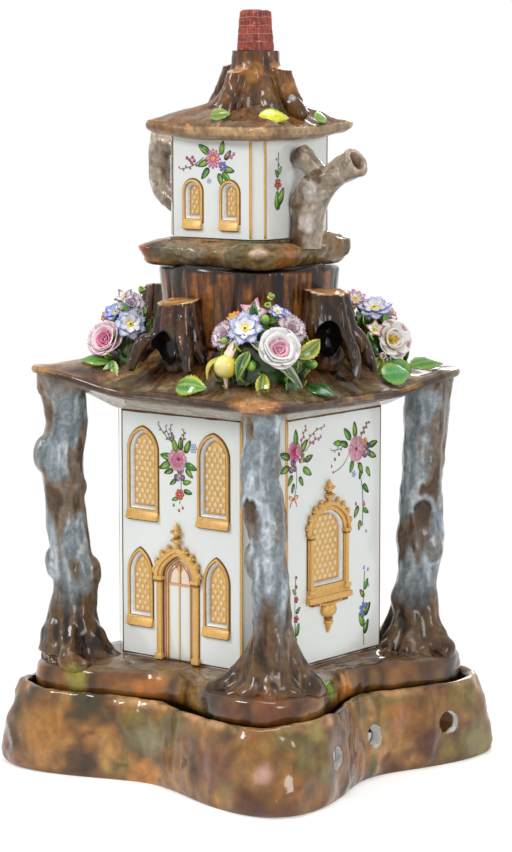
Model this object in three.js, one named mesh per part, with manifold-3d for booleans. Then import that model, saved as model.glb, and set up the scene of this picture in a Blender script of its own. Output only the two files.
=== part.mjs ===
// A porcelain night-light teapot warmer in the form of a Gothic house under a tree-stump roof.
// Millimetres, +Z up. The origin is on the table, in the middle of the plinth; the door faces -Y.
import * as THREE from 'three';
import { LoftGeometry } from 'three/addons/geometries/LoftGeometry.js';
import { mergeVertices } from 'three/addons/utils/BufferGeometryUtils.js';
import Module from 'manifold-3d';

const wasm = await Module();
wasm.setup();

// Clearances
const seam = 0.3; // between pieces that are luted or stand on one another
const restGap = 0.3; // under each piece that lifts off
const slipFit = 1.2; // round what drops into a seat, on each side

// Plinth: a lobed, rocky tray, hollow below, with a vented deck that carries the lamp
const plinthCorner = 128; // axis to the middle of a corner lobe
const plinthSide = 84; // axis to the middle of a side
const plinthFullness = 2; // how far the lobes swell between corner and side
const plinthHeight = 41;
const plinthWall = 5;
const rimInset = 12.5; // from the widest outline to the inside of the rim
const rimRise = 7; // rim above the deck
const deckThickness = 4;
const footWidth = 6;
const rockRelief = 1.3;
const outlineSegments = 32; // round the plinth, terrace and canopy
const airHoleRadius = 6;
const airHoleSpacing = 50;
const airHoleHeight = 23;
const ventRadius = 5.5;
const ventCount = 6;

// Oil lamp that stands on the deck
const cupRadius = 22;
const cupHeight = 30;
const cupWall = 2.6;
const cupFootRadius = 17;
const cupFootHeight = 3;
const ringHandleRadius = 6;
const ringHandleThickness = 1.8;
const seatLipHeight = 2.5;
const seatLipWidth = 3;
const corkRadius = 13;
const corkHeight = 5;
const tinRadius = 9;
const tinThickness = 0.8;
const wickRadius = 1.2;
const wickAbove = 5;

// Terrace that carries the house and the tree trunks
const terraceInset = 15.5; // from the plinth's outline to the terrace's foot
const terraceSkirt = 5;
const terraceEdgeTop = 58;
const terraceRoof = 5;
const lampOpening = 49; // radius of the opening for lamp and hot air

// House
const houseFoot = 60.8;
const houseHeight = 131.2;
const houseHalf = 57.1;
const houseChamfer = 16.3;
const houseWall = 4;
const pocketDepth = 2.4;
const frameProud = 1.3;
const facadeShift = -1.8; // door and windows stand a little left of the middle

// Lancet windows of the door facade and the back: upper and lower row
const upperWindow = { across: 24, sill: 138, width: 21, spring: 32.5, rise: 13 };
const lowerWindow = { across: 26, sill: 81, width: 17.2, spring: 24, rise: 13.8 };
const frameWidth = 2.4;
const latticeThickness = 0.8;
const sillHeight = 4;
const sillOverhang = 1.1;
const sillProud = 2.4;
const cellHalf = 1.7;
const cellPitch = 6;

// Door
const door = { width: 28.7, spring: 43.5, rise: 16 };
const doorFrame = 4.1;
const doorFinial = 15;
const crocketRadius = 1.7;

// Oriel windows of the two side facades
const oriel = { across: -6.1, sill: 98.4, width: 34, spring: 31, rise: 15 };
const orielFrame = 3.4;
const orielCorbel = 20;
const orielPitch = 8;

// Tree trunks at the four corners
const trunkStandOff = 25; // house corner to the middle of a trunk
const trunkGirth = 10; // the radius that the stations' shares multiply
const swayDirection = 39; // degrees from +X, the way that the trunks sway
const rootHeight = 30;
const trunkFlare = 5;
const trunkSides = 10;
const trunkRoots = 5;

// Canopy roof
const canopyHalf = 84;
const canopyRounding = 10;
const canopyHollow = 3; // how far the sides draw in between the corners
const canopyRimRise = 12.5; // rim above the house walls
const canopyCrown = 21.5; // top above the rim
const cornerLift = 5;
const rimThickness = 4;
const canopyWall = 4.5;

// Collar: the big stump round the flue that carries the teapot
const collarRadius = 47;
const collarHeight = 40;
const collarWall = 7;
const barkDepth = 1.8;
const barkFlutes = 15;

// Four stumps with a hollow, one at the middle of each side of the canopy
const stumpReach = 56;
const stumpRise = 24; // above the canopy's top
const stumpRadius = 12.5;
const stumpRoots = 9.5;
const stumpSides = 15;
const stumpLegs = 5;
const hollowWidth = 17;
const hollowHeight = 26;

// Bouquets, one over each trunk: a mound of leaves and stalks with blooms set into it
const bouquetReach = 65; // axis to the middle of a mound
const moundCentre = 16; // above the canopy's rim
const moundLength = 14.5;
const moundWidth = 22;
const moundHeight = 25;
const bloomSize = { rose: 13, anemone: 14, primula: 10, star: 8.5, daisy: 7.5, lemon: 6.2 };
const bloomSeat = 1.4; // how deep a bloom's back is sunk below the mound's skin
const leafReach = 94; // axis to the middle of the leaves at a bouquet's foot
const leafSpread = 26;
const leafLength = 29;
const leafWidth = 10;

// Teapot
const saucerHalf = 44;
const saucerRounding = 12;
const saucerThickness = 16;
const saucerFoot = 5; // how deep its foot drops into the collar
const potHalf = 31.6;
const potChamfer = 5;
const potHeight = 52.5;
const potWall = 3.2;
const potFloor = 4;
const potWindow = { across: 12.4, sill: 8, width: 13.2, spring: 15.5, rise: 6.6 };
const potFrame = 1.9;
const handleReach = 31;
const handleRadius = 6;
const spoutReach = 38.5;
const spoutRise = 40;
const spoutRadius = 9.4;
const spoutBore = 4.2;
const forkDrop = 11; // from the pot's rim down to the spout's upper arm

// Lid
const lidHalf = 42.5;
const lidRounding = 15;
const lidRimThickness = 7;
const lidOverhang = 2; // how far the eaves hang below the pot's top
const lidRise = 10;
const lidWall = 4;
const lidFlange = 7;
const lidStumpRadius = 14.5;
const lidStumpHeight = 34;
const lidRoots = 13;
const lidStubReach = 22;
const lidStubRadius = 7;
const lidShift = [2.6, 2]; // the stump and chimney stand off the lid's middle
const lidSegments = 24;
const chimneyWidth = 16.4;
const chimneyTop = 14;
const chimneyRounding = 4;
const chimneyHeight = 21.4;
const brickCourses = 4;
const mortarDepth = 0.5;

// Heights that follow from the sizes above
const deckTop = plinthHeight - rimRise;
const houseTop = houseFoot + houseHeight;
const canopyRim = houseTop + canopyRimRise;
const canopyTop = canopyRim + canopyCrown;
const collarTop = canopyTop + collarHeight;
const saucerBottom = collarTop + restGap;
const potFoot = saucerBottom + saucerThickness;
const potTop = potFoot + potHeight;
const lidFoot = potTop + restGap;
const lidStumpFoot = lidFoot + lidRise;
const chimneyFoot = lidStumpFoot + lidStumpHeight;
const houseCorner = (houseHalf - houseChamfer / 2) * Math.SQRT2;
const trunkReach = houseCorner + trunkStandOff;
const flueRadius = collarRadius - collarWall;
const cupFloor = deckTop + restGap + cupFootHeight + cupWall;

const fullTurn = Math.PI * 2;
const quarterTurn = Math.PI / 2;

// Colours and finishes
const glaze = (color, roughness = 0.22) =>
  new THREE.MeshStandardMaterial({ color, roughness, metalness: 0 });
const looks = {
  white: glaze(0xe3e8e4),
  gold: new THREE.MeshStandardMaterial({ color: 0xdcae5c, roughness: 0.35, metalness: 0.6 }),
  rock: glaze(0x8a5a26),
  trunk: glaze(0x93a4ad),
  bark: glaze(0x5a3c1e),
  branch: glaze(0x9c8f7f),
  brick: glaze(0xa5482c, 0.4),
  pink: glaze(0xe0a7b4),
  petal: glaze(0xf1eeee),
  blue: glaze(0xc9d6f0),
  yellow: glaze(0xf0dc5a),
  green: glaze(0x5f9a3c),
  cork: glaze(0xb98f5f, 0.9),
  tin: new THREE.MeshStandardMaterial({ color: 0xb9bcc0, roughness: 0.35, metalness: 0.9 }),
  wick: glaze(0xe8e0cf, 0.95),
};

// Turns a closed geometry into a solid: merges its corners, drops empty faces and faces it outwards.
function solidOf(geometry) {
  const bare = new THREE.BufferGeometry().copy(geometry);
  bare.deleteAttribute('normal');
  bare.deleteAttribute('uv');
  const merged = mergeVertices(bare, 1e-4);
  const points = merged.attributes.position.array;
  const corner = (index) => new THREE.Vector3().fromArray(points, index * 3);
  const faces = [];
  let volume = 0;
  for (let i = 0; i < merged.index.count; i += 3) {
    const [a, b, c] = [0, 1, 2].map((step) => merged.index.getX(i + step));
    if (a === b || b === c || a === c) continue;
    faces.push([a, b, c]);
    volume += corner(a).dot(corner(b).cross(corner(c)));
  }
  const triVerts = new Uint32Array(faces.flatMap(([a, b, c]) => (volume < 0 ? [a, c, b] : [a, b, c])));
  return new wasm.Manifold(new wasm.Mesh({ numProp: 3, vertProperties: points, triVerts }));
}

const joined = (solids) => solids.reduce((whole, solid) => whole.add(solid));

// The largest separate part of a solid, for a piece whose cut leaves crumbs.
const largest = (solid) =>
  solid.decompose().reduce((best, part) => (part.volume() > best.volume() ? part : best));

// Cuts a piece so that it lies on its carriers with a thin seam; `away` points from carrier to piece.
function seatOn(piece, carriers, away = [0, 0, seam]) {
  return largest(carriers.reduce((left, carrier) => left.subtract(carrier.translate(away)), piece));
}

function meshOf(name, solid, look) {
  const { vertProperties, triVerts } = solid.getMesh();
  const geometry = new THREE.BufferGeometry();
  geometry.setAttribute('position', new THREE.BufferAttribute(vertProperties, 3));
  geometry.setIndex(new THREE.BufferAttribute(triVerts, 1));
  const faceted = geometry.toNonIndexed();
  faceted.computeVertexNormals();
  const mesh = new THREE.Mesh(faceted, look);
  mesh.name = name;
  return mesh;
}

// A body swept round the upright axis: each ring turns an angle into [radius, height].
// A hollow one closes its profile on itself; the others are capped at the first and last ring.
function ringBody(rings, segments, hollow = false) {
  const angles = Array.from({ length: segments }, (_, i) => (i / segments) * fullTurn);
  const sections = rings.map((ring) =>
    angles.map((angle) => {
      const [radius, height] = ring(angle);
      return new THREE.Vector3(radius * Math.cos(angle), radius * Math.sin(angle), height);
    }),
  );
  if (hollow) return solidOf(new LoftGeometry([...sections, sections[0]]));
  return loft(sections);
}

// Skins a row of sections and closes both ends to their middle points.
function loft(sections) {
  const pinched = (section) => {
    const middle = section.reduce((sum, point) => sum.add(point), new THREE.Vector3());
    return section.map(() => middle.clone().divideScalar(section.length));
  };
  const last = sections[sections.length - 1];
  return solidOf(new LoftGeometry([pinched(sections[0]), ...sections, pinched(last)]));
}

const round = (radius, height) => () => [radius, height];

function turned(profile, segments) {
  const points = profile.map(([radius, height]) => new THREE.Vector2(radius, height));
  return solidOf(new THREE.LatheGeometry(points, segments).rotateX(quarterTurn));
}

function extruded(shape, depth, curveSegments = 2) {
  return solidOf(new THREE.ExtrudeGeometry(shape, { depth, curveSegments, bevelEnabled: false }));
}

// A tapering branch: `stations` are [point, radius], and `wobble` roughens its bark.
function branch(stations, sides, wobble = 0.06) {
  const spine = new THREE.CatmullRomCurve3(stations.map(([point]) => new THREE.Vector3(...point)));
  const steps = (stations.length - 1) * 2;
  const frames = spine.computeFrenetFrames(steps);
  const sections = [];
  for (let i = 0; i <= steps; i += 1) {
    const at = (i / steps) * (stations.length - 1);
    const low = Math.min(Math.floor(at), stations.length - 2);
    const radius = THREE.MathUtils.lerp(stations[low][1], stations[low + 1][1], at - low);
    const centre = spine.getPoint(i / steps);
    sections.push(
      Array.from({ length: sides }, (_, k) => {
        const angle = (k / sides) * fullTurn;
        const bark = radius * (1 + wobble * Math.sin(3 * angle + i * 1.7));
        return centre
          .clone()
          .addScaledVector(frames.normals[i], bark * Math.cos(angle))
          .addScaledVector(frames.binormals[i], bark * Math.sin(angle));
      }),
    );
  }
  return loft(sections);
}

function ball(radius, detail = 1) {
  return solidOf(new THREE.IcosahedronGeometry(radius, detail));
}

function boxAt(width, depth, height, x, y, z) {
  return solidOf(new THREE.BoxGeometry(width, depth, height).translate(x, y, z));
}

// Outlines, as the distance from the axis in the direction of an angle

function fold(angle) {
  const within = ((angle % quarterTurn) + quarterTurn) % quarterTurn;
  return Math.min(within, quarterTurn - within);
}

function roundedSquare(angle, half, rounding) {
  const turn = fold(angle);
  if (half * Math.tan(turn) <= half - rounding) return half / Math.cos(turn);
  const centre = half - rounding;
  const along = centre * (Math.cos(turn) + Math.sin(turn));
  return along + Math.sqrt(Math.max(0, along * along - 2 * centre * centre + rounding * rounding));
}

function chamferedSquare(angle, half, leg) {
  const turn = fold(angle);
  return Math.min(half / Math.cos(turn), (2 * half - leg) / (Math.cos(turn) + Math.sin(turn)));
}

function plinthOutline(angle) {
  const middle = (plinthCorner + plinthSide) / 2 - plinthFullness;
  const swing = (plinthCorner - plinthSide) / 2;
  return middle - swing * Math.cos(4 * angle) + plinthFullness * Math.cos(8 * angle);
}

// How near a direction lies to a corner: 1 at the corner, 0 at the middle of a side.
const cornerShare = (angle) => Math.sin(2 * angle) ** 4;

const canopyOutline = (angle) =>
  roundedSquare(angle, canopyHalf, canopyRounding) - canopyHollow * Math.cos(2 * angle) ** 2;

// Modelled rock: the same on opposite sides, so the piece stays centred.
function rock(angle, height) {
  const turns = Math.sin(6 * angle + height * 0.11) + 0.7 * Math.sin(10 * angle - height * 0.17 + 1);
  return rockRelief * (turns + 0.5 * Math.sin(16 * angle + height * 0.3)) * 0.6;
}

// Plinth

function plinthPiece() {
  const edge = (offset, height, relief = 0) => (angle) => [
    plinthOutline(angle) + offset + relief * rock(angle, height),
    height,
  ];
  const seatInner = cupFootRadius + slipFit;
  const seatOuter = seatInner + seatLipWidth;
  const tray = ringBody(
    [
      round(seatInner, deckTop),
      round(seatInner, deckTop + seatLipHeight),
      round(seatOuter, deckTop + seatLipHeight),
      round(seatOuter, deckTop),
      edge(-rimInset, deckTop),
      edge(-rimInset + 0.8, plinthHeight - 1),
      edge(-rimInset + 4, plinthHeight, 0.4),
      edge(-2.5, plinthHeight * 0.82, 1),
      edge(1.2, plinthHeight * 0.58, 1),
      edge(1.2, plinthHeight * 0.3, 1),
      edge(-1.8, plinthHeight * 0.1, 1),
      edge(-4, 0),
      edge(-4 - footWidth, 0),
      edge(1.2 - plinthWall - rockRelief, plinthHeight * 0.35),
      edge(-rimInset, deckTop - deckThickness),
    ],
    outlineSegments,
  );
  const cuts = [];
  const drillLength = plinthCorner - plinthSide + 4 * plinthWall;
  for (const side of [-1, 1]) {
    for (const step of [-1, 0, 1]) {
      const drill = new THREE.CylinderGeometry(airHoleRadius, airHoleRadius, drillLength, 8);
      drill.rotateZ(quarterTurn);
      const x = side * (plinthSide + drillLength / 2 - 3 * plinthWall);
      cuts.push(solidOf(drill.translate(x, step * airHoleSpacing, airHoleHeight)));
    }
  }
  const ventReach = (seatOuter + lampOpening) / 2;
  for (let i = 0; i < ventCount; i += 1) {
    const angle = ((i + 0.5) / ventCount) * fullTurn;
    const vent = new THREE.CylinderGeometry(ventRadius, ventRadius, deckThickness * 3, 6);
    vent.rotateX(quarterTurn);
    vent.translate(ventReach * Math.cos(angle), ventReach * Math.sin(angle), deckTop);
    cuts.push(solidOf(vent));
  }
  return cuts.reduce((left, cut) => left.subtract(cut), tray);
}

// Lamp

function lampCup() {
  const foot = deckTop + restGap;
  const bowl = turned(
    [
      [0, foot],
      [cupFootRadius, foot],
      [cupFootRadius - 1, foot + cupFootHeight],
      [cupRadius, foot + cupHeight * 0.42],
      [cupRadius - 1.2, foot + cupHeight * 0.85],
      [cupRadius, foot + cupHeight],
      [cupRadius - cupWall, foot + cupHeight],
      [cupRadius - 1.2 - cupWall, foot + cupHeight * 0.85],
      [cupRadius - cupWall, foot + cupHeight * 0.42],
      [cupFootRadius - 1 - cupWall, cupFloor],
      [0, cupFloor],
    ],
    14,
  );
  const ring = new THREE.TorusGeometry(ringHandleRadius, ringHandleThickness, 5, 10);
  ring.rotateX(quarterTurn);
  ring.translate(cupRadius + ringHandleRadius - 0.4, 0, foot + cupHeight * 0.55);
  return bowl.add(solidOf(ring));
}

function corkFloat() {
  const foot = cupFloor + restGap;
  const hole = wickRadius + seam;
  return turned(
    [
      [hole, foot],
      [corkRadius, foot],
      [corkRadius, foot + corkHeight],
      [hole, foot + corkHeight],
      [hole, foot],
    ],
    12,
  );
}

function tinPlate() {
  const foot = cupFloor + restGap + corkHeight;
  const hole = wickRadius + seam;
  return turned(
    [
      [hole, foot],
      [tinRadius, foot],
      [tinRadius, foot + tinThickness],
      [hole + 1, foot + tinThickness],
      [hole + 1, foot + tinThickness + 2],
      [hole, foot + tinThickness + 2],
      [hole, foot],
    ],
    8,
  );
}

function wickPiece() {
  const foot = cupFloor + restGap + 0.5;
  const top = foot + corkHeight + tinThickness + wickAbove;
  return turned(
    [
      [0, foot],
      [wickRadius, foot],
      [wickRadius, top - 1],
      [wickRadius * 0.6, top],
      [0, top],
    ],
    6,
  );
}

// Terrace

function terracePiece() {
  const foot = deckTop + restGap;
  const edge = (offset, height, relief = 0) => (angle) => [
    plinthOutline(angle) + offset + relief * rock(angle + 0.9, height * 2),
    height,
  ];
  return ringBody(
    [
      round(lampOpening, houseFoot - terraceRoof),
      edge(-terraceInset - terraceSkirt, terraceEdgeTop - terraceRoof - 3),
      edge(-terraceInset - terraceSkirt, foot),
      edge(-terraceInset, foot),
      edge(-terraceInset, plinthHeight + 1),
      edge(-terraceInset, terraceEdgeTop - 4, 0.6),
      edge(-terraceInset - 5.5, terraceEdgeTop, 0.4),
      (angle) => [chamferedSquare(angle, houseHalf, houseChamfer) + 3, houseFoot],
      round(lampOpening, houseFoot),
    ],
    outlineSegments,
    true,
  );
}

// House

function chamferedShape(half, leg) {
  const flat = half - leg;
  const corners = [0, 1, 2, 3].flatMap((turn) => {
    const at = (x, y) => new THREE.Vector2(x, y).rotateAround(new THREE.Vector2(), turn * quarterTurn);
    return [at(half, -flat), at(half, flat)];
  });
  return new THREE.Shape(corners);
}

// Lays a piece on a facade: its x runs across, its y up, its z out of the wall.
function onFacade(solid, facade, wallHalf, across, up) {
  return solid.translate([across, up, wallHalf]).rotate([90, 0, 0]).rotate([0, 0, 90 * facade]);
}

// Pointed or round arch over a straight-sided opening; its foot is at y = 0.
function archGeometry({ width, rise }) {
  const half = width / 2;
  const radius = (half * half + rise * rise) / (2 * half);
  return { half, radius, centre: radius - half };
}

function archShape(arch, inset = 0, foot = inset) {
  const { half, radius, centre } = archGeometry(arch);
  const reach = Math.acos(centre / (radius - inset));
  const shape = new THREE.Shape();
  shape.moveTo(-(half - inset), foot);
  shape.lineTo(half - inset, foot);
  shape.absarc(-centre, arch.spring, radius - inset, 0, reach, false);
  shape.absarc(centre, arch.spring, radius - inset, Math.PI - reach, Math.PI, false);
  return shape;
}

function archHalfWidth(arch, y, inset) {
  const { half, radius, centre } = archGeometry(arch);
  if (y <= arch.spring) return half - inset;
  const rest = (radius - inset) ** 2 - (y - arch.spring) ** 2;
  return rest > 0 ? Math.sqrt(rest) - centre : 0;
}

// A plate with staggered rows of sunk lozenge cells that stay inside the arch.
function latticePlate(arch, inset, pitch) {
  const bar = 0.6;
  const top = arch.spring + arch.rise;
  const cells = [];
  let row = 0;
  for (let y = inset + cellHalf + bar; y < top; y += pitch * 0.95) {
    const shift = row % 2 === 0 ? 0 : pitch / 2;
    const room = Math.min(archHalfWidth(arch, y + cellHalf, inset), archHalfWidth(arch, y, inset));
    for (let x = shift; x + cellHalf + bar < room; x += pitch) {
      for (const side of x === 0 ? [1] : [-1, 1]) cells.push(sunkCell(side * x, y));
    }
    row += 1;
  }
  return extruded(archShape(arch, inset), latticeThickness).subtract(joined(cells));
}

// A four-sided cone, point down, that sinks one cell into the face of the plate.
function sunkCell(x, y) {
  const depth = latticeThickness * 0.75;
  const reach = 1.5;
  const cone = new THREE.ConeGeometry(cellHalf * reach, depth * reach, 4);
  cone.rotateX(-quarterTurn);
  return solidOf(cone.translate(x, y, latticeThickness - depth + (depth * reach) / 2));
}

// A gilt frame let into its pocket, with the lattice behind it and a sill below.
function framedLattice(arch, frame, pitch) {
  const shape = archShape(arch);
  shape.holes.push(archShape(arch, frame));
  const back = -pocketDepth + seam;
  const ring = extruded(shape, frameProud - back).translate([0, 0, back]);
  const lattice = latticePlate(arch, frame - 0.4, pitch).translate([0, 0, back]);
  const sillWidth = arch.width + 2 * sillOverhang;
  const sill = boxAt(sillWidth, sillHeight, sillProud, 0, 0.6 - sillHeight / 2, seam + sillProud / 2);
  return joined([ring, lattice, sill]);
}

const pocketOf = (arch) => extruded(archShape(arch, -seam), pocketDepth + 1).translate([0, 0, -pocketDepth]);

function finial(height, radius) {
  return turned(
    [
      [0, -1],
      [radius * 0.8, -1],
      [radius * 0.45, height * 0.22],
      [radius, height * 0.42],
      [radius * 0.4, height * 0.62],
      [radius * 0.65, height * 0.75],
      [0, height],
    ],
    6,
  );
}

// Leafy knobs up both sides of an arch and a finial on its point.
function archOrnament(arch, finialHeight) {
  const { radius, centre } = archGeometry(arch);
  const reach = Math.acos(centre / radius);
  const depth = seam + crocketRadius;
  const tip = arch.spring + arch.rise;
  const pieces = [finial(finialHeight, crocketRadius * 1.4).rotate([-90, 0, 0]).translate([0, tip, depth])];
  for (const share of [0.12, 0.42, 0.72]) {
    const angle = reach * share;
    const x = radius * Math.cos(angle) - centre;
    const y = arch.spring + radius * Math.sin(angle);
    for (const side of [-1, 1]) {
      pieces.push(ball(crocketRadius, 0).translate([side * x, y, depth]));
    }
  }
  return inFront(joined(pieces));
}

// The part of an ornament that stands in front of the wall's face
function inFront(solid) {
  const deep = 60;
  return solid.subtract(boxAt(2 * deep, 4 * deep, deep, 0, 0, seam - deep / 2));
}

function doorSurround() {
  const shape = archShape(door, 0, 0);
  const opening = extruded(archShape(door, doorFrame, -1), pocketDepth + frameProud + 2);
  const back = -pocketDepth + seam;
  const ring = extruded(shape, frameProud - back).subtract(opening.translate([0, 0, -1])).translate([0, 0, back]);
  const impostOut = door.width / 2 - doorFrame / 2;
  const imposts = [-1, 1].map((side) =>
    boxAt(doorFrame + 1, 2.2, sillProud, side * impostOut, door.spring, seam + sillProud / 2),
  );
  return joined([ring, archOrnament(door, doorFinial), ...imposts]);
}

// Two closed leaves with a bead where they meet, under a plain tympanum.
function doorLeaves() {
  const back = -pocketDepth + seam;
  const panel = extruded(archShape(door, doorFrame + seam, 0), 1);
  const bead = boxAt(1.2, door.spring - 4, 0.8, 0, (door.spring - 4) / 2, 1.3);
  const transom = boxAt(door.width - 2 * doorFrame - 1, 1.4, 0.8, 0, door.spring - 3.5, 1.3);
  return joined([panel, bead, transom]).translate([0, 0, back]);
}

function orielWindow() {
  const ornament = archOrnament(oriel, doorFinial);
  const corbel = turned(
    [
      [0, -orielCorbel],
      [1.2, -orielCorbel],
      [2.6, -orielCorbel * 0.72],
      [1.5, -orielCorbel * 0.6],
      [4.2, -orielCorbel * 0.42],
      [2.6, -orielCorbel * 0.3],
      [7, -sillHeight + 1.2],
      [0, -sillHeight + 1.2],
    ],
    8,
  );
  const halfCorbel = inFront(corbel.rotate([-90, 0, 0]));
  const lattice = framedLattice(oriel, orielFrame, orielPitch);
  return joined([lattice, ornament, halfCorbel]);
}

function houseOpenings() {
  const lancets = [];
  for (const facade of [0, 2]) {
    for (const [row, arch] of [['upper', upperWindow], ['lower', lowerWindow]]) {
      for (const [side, sign] of [['left', -1], ['right', 1]]) {
        lancets.push({ facade, arch, across: facadeShift + sign * arch.across, name: `${row}_${side}` });
      }
    }
  }
  return lancets;
}

function houseWalls() {
  const shape = chamferedShape(houseHalf, houseChamfer);
  const innerLeg = houseChamfer - houseWall * (2 - Math.SQRT2);
  shape.holes.push(chamferedShape(houseHalf - houseWall, innerLeg));
  const walls = extruded(shape, houseHeight).translate([0, 0, houseFoot]);
  const pockets = houseOpenings().map(({ facade, arch, across }) =>
    onFacade(pocketOf(arch), facade, houseHalf, across, arch.sill),
  );
  const doorPocket = extruded(archShape(door, -seam, -1), pocketDepth + 1).translate([0, 0, -pocketDepth]);
  pockets.push(onFacade(doorPocket, 0, houseHalf, facadeShift, houseFoot));
  for (const facade of [1, 3]) {
    pockets.push(onFacade(pocketOf(oriel), facade, houseHalf, oriel.across, oriel.sill));
  }
  return pockets.reduce((left, pocket) => left.subtract(pocket), walls);
}

// Trunks

// Each trunk: its corner, its stations from foot to top as [share of the height, shares of the girth that it
// shifts sideways and that its radius has], and its knots as [share of the height, direction, size].
const trunks = [
  {
    name: 'trunk_front',
    corner: 3,
    stations: [
      [0, 0.25, 1.9], [0.14, 0.28, 1.25], [0.32, 0.3, 1.02],
      [0.5, 0.15, 0.9], [0.75, -0.34, 0.99], [1, -0.15, 0.9],
    ],
    knots: [[0.28, 200, 0.5], [0.49, 310, 0.3]],
  },
  {
    name: 'trunk_right',
    corner: 0,
    stations: [
      [0, -0.38, 1.9], [0.14, -0.47, 1.34], [0.32, -0.36, 1.22],
      [0.5, -0.27, 1.11], [0.72, -0.12, 1], [1, 0.09, 1.15],
    ],
    knots: [[0.32, 330, 0.3], [0.6, 30, 0.25]],
  },
  {
    name: 'trunk_back',
    corner: 1,
    stations: [
      [0, 0, 1.9], [0.14, -0.1, 1.3], [0.32, 0.1, 1.1],
      [0.5, 0.2, 1], [0.75, 0.3, 1.05], [1, 0.1, 1.05],
    ],
    knots: [[0.3, 60, 0.4], [0.54, 160, 0.3]],
  },
  {
    name: 'trunk_left',
    corner: 2,
    stations: [
      [0, 0.2, 1.95], [0.14, 0.08, 1.5], [0.32, 0.03, 1.1],
      [0.5, -0.32, 0.98], [0.75, -0.54, 1.1], [1, -0.45, 1.05],
    ],
    knots: [[0.36, 20, 0.3], [0.4, 235, 0.35], [0.78, 235, 0.35]],
  },
];

// The value of a row of stations at a share, drawn smoothly between them.
function alongStations(stations, share, column) {
  const next = Math.max(1, stations.findIndex(([at]) => at >= share));
  const [from, to] = [stations[next - 1], stations[next]];
  return THREE.MathUtils.lerp(from[column], to[column], THREE.MathUtils.smoothstep(share, from[0], to[0]));
}

function trunkPiece({ corner, stations, knots }, terrace, canopy) {
  const facing = (corner + 0.5) * quarterTurn;
  const sway = THREE.MathUtils.degToRad(swayDirection);
  const foot = houseFoot - 5;
  const steps = 9;
  const sections = [];
  for (let i = 0; i <= steps; i += 1) {
    const share = (i / steps) ** 1.15;
    const height = THREE.MathUtils.lerp(foot, canopyRim, share);
    const root = Math.max(0, 1 - (height - foot) / rootHeight);
    const flare = Math.max(0, 1 - (canopyRim - height) / rootHeight);
    const shift = trunkGirth * alongStations(stations, share, 1);
    const girth = trunkGirth * alongStations(stations, share, 2);
    const x = trunkReach * Math.cos(facing) + shift * Math.cos(sway);
    const y = trunkReach * Math.sin(facing) + shift * Math.sin(sway);
    sections.push(
      Array.from({ length: trunkSides }, (_, k) => {
        const angle = (k / trunkSides) * fullTurn;
        const swell = knots.reduce((sum, [at, direction, size]) => {
          const turn = Math.cos(angle - THREE.MathUtils.degToRad(direction));
          return sum + trunkGirth * size * Math.exp(-(((share - at) / 0.05) ** 2)) * Math.max(0, turn) ** 3;
        }, 0);
        const outward = Math.max(0, Math.cos(angle - facing));
        const roots = girth * root * (0.16 * Math.cos(trunkRoots * (angle - facing)) - 0.3 * outward);
        const radius = girth + roots + swell + trunkFlare * flare ** 3;
        return new THREE.Vector3(x + radius * Math.cos(angle), y + radius * Math.sin(angle), height);
      }),
    );
  }
  const grown = 1 + (2 * seam) / trunkReach;
  const clear = [terrace.translate([0, 0, seam]), terrace.scale([grown, grown, 1]), canopy.translate([0, 0, -seam])];
  return largest(clear.reduce((left, solid) => left.subtract(solid), loft(sections)));
}

// Canopy, with a solid twin that stands in for it where pieces are trimmed to its shape

function canopyRings() {
  const rim = (angle) => canopyRim + cornerLift * cornerShare(angle);
  const top = (share, sag) => (angle) => {
    const radius = THREE.MathUtils.lerp(collarRadius + 2, canopyOutline(angle), share);
    return [radius, THREE.MathUtils.lerp(canopyTop, rim(angle), sag)];
  };
  const under = (share, drop) => (angle) => {
    const inner = chamferedSquare(angle, houseHalf, houseChamfer) + 2;
    const radius = THREE.MathUtils.lerp(inner, canopyOutline(angle), share);
    return [radius, THREE.MathUtils.lerp(houseTop, rim(angle) - rimThickness, drop)];
  };
  const rimAt = (offset, drop) => (angle) => [canopyOutline(angle) + offset, rim(angle) - drop];
  return [
    top(0, 0),
    top(0.22, 0.46),
    top(0.6, 0.85),
    rimAt(-1.5, 0),
    rimAt(0, rimThickness * 0.5),
    rimAt(-1.6, rimThickness),
    under(0.45, 0.5),
    under(0, 0),
  ];
}

function canopyPiece() {
  const inside = [
    (angle) => [chamferedSquare(angle, houseHalf - houseWall, houseChamfer), houseTop],
    (angle) => [chamferedSquare(angle, houseHalf - houseWall, houseChamfer), houseTop + canopyWall],
    round(flueRadius, canopyTop - canopyWall - 1),
    round(flueRadius, canopyTop),
  ];
  return ringBody([...canopyRings(), ...inside], outlineSegments, true);
}

// Collar

function collarPiece() {
  const bark = (angle) => barkDepth * (Math.abs(Math.cos((barkFlutes / 2) * angle)) - 0.6);
  return ringBody(
    [
      round(flueRadius, canopyTop),
      (angle) => [collarRadius + bark(angle) + 1, canopyTop],
      (angle) => [collarRadius + bark(angle) - 0.6, canopyTop + collarHeight * 0.45],
      (angle) => [collarRadius + bark(angle) * 0.7, collarTop],
      round(flueRadius, collarTop),
    ],
    barkFlutes * 2,
    true,
  );
}

// Canopy stumps

// Each stump: how far it stands to the side and how much higher than the rest it is cut.
const stumps = [
  { name: 'stump_right', across: -5, extra: 5 },
  { name: 'stump_back', across: 2, extra: 2 },
  { name: 'stump_left', across: 3, extra: 3 },
  { name: 'stump_front', across: -2, extra: 0 },
];

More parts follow.
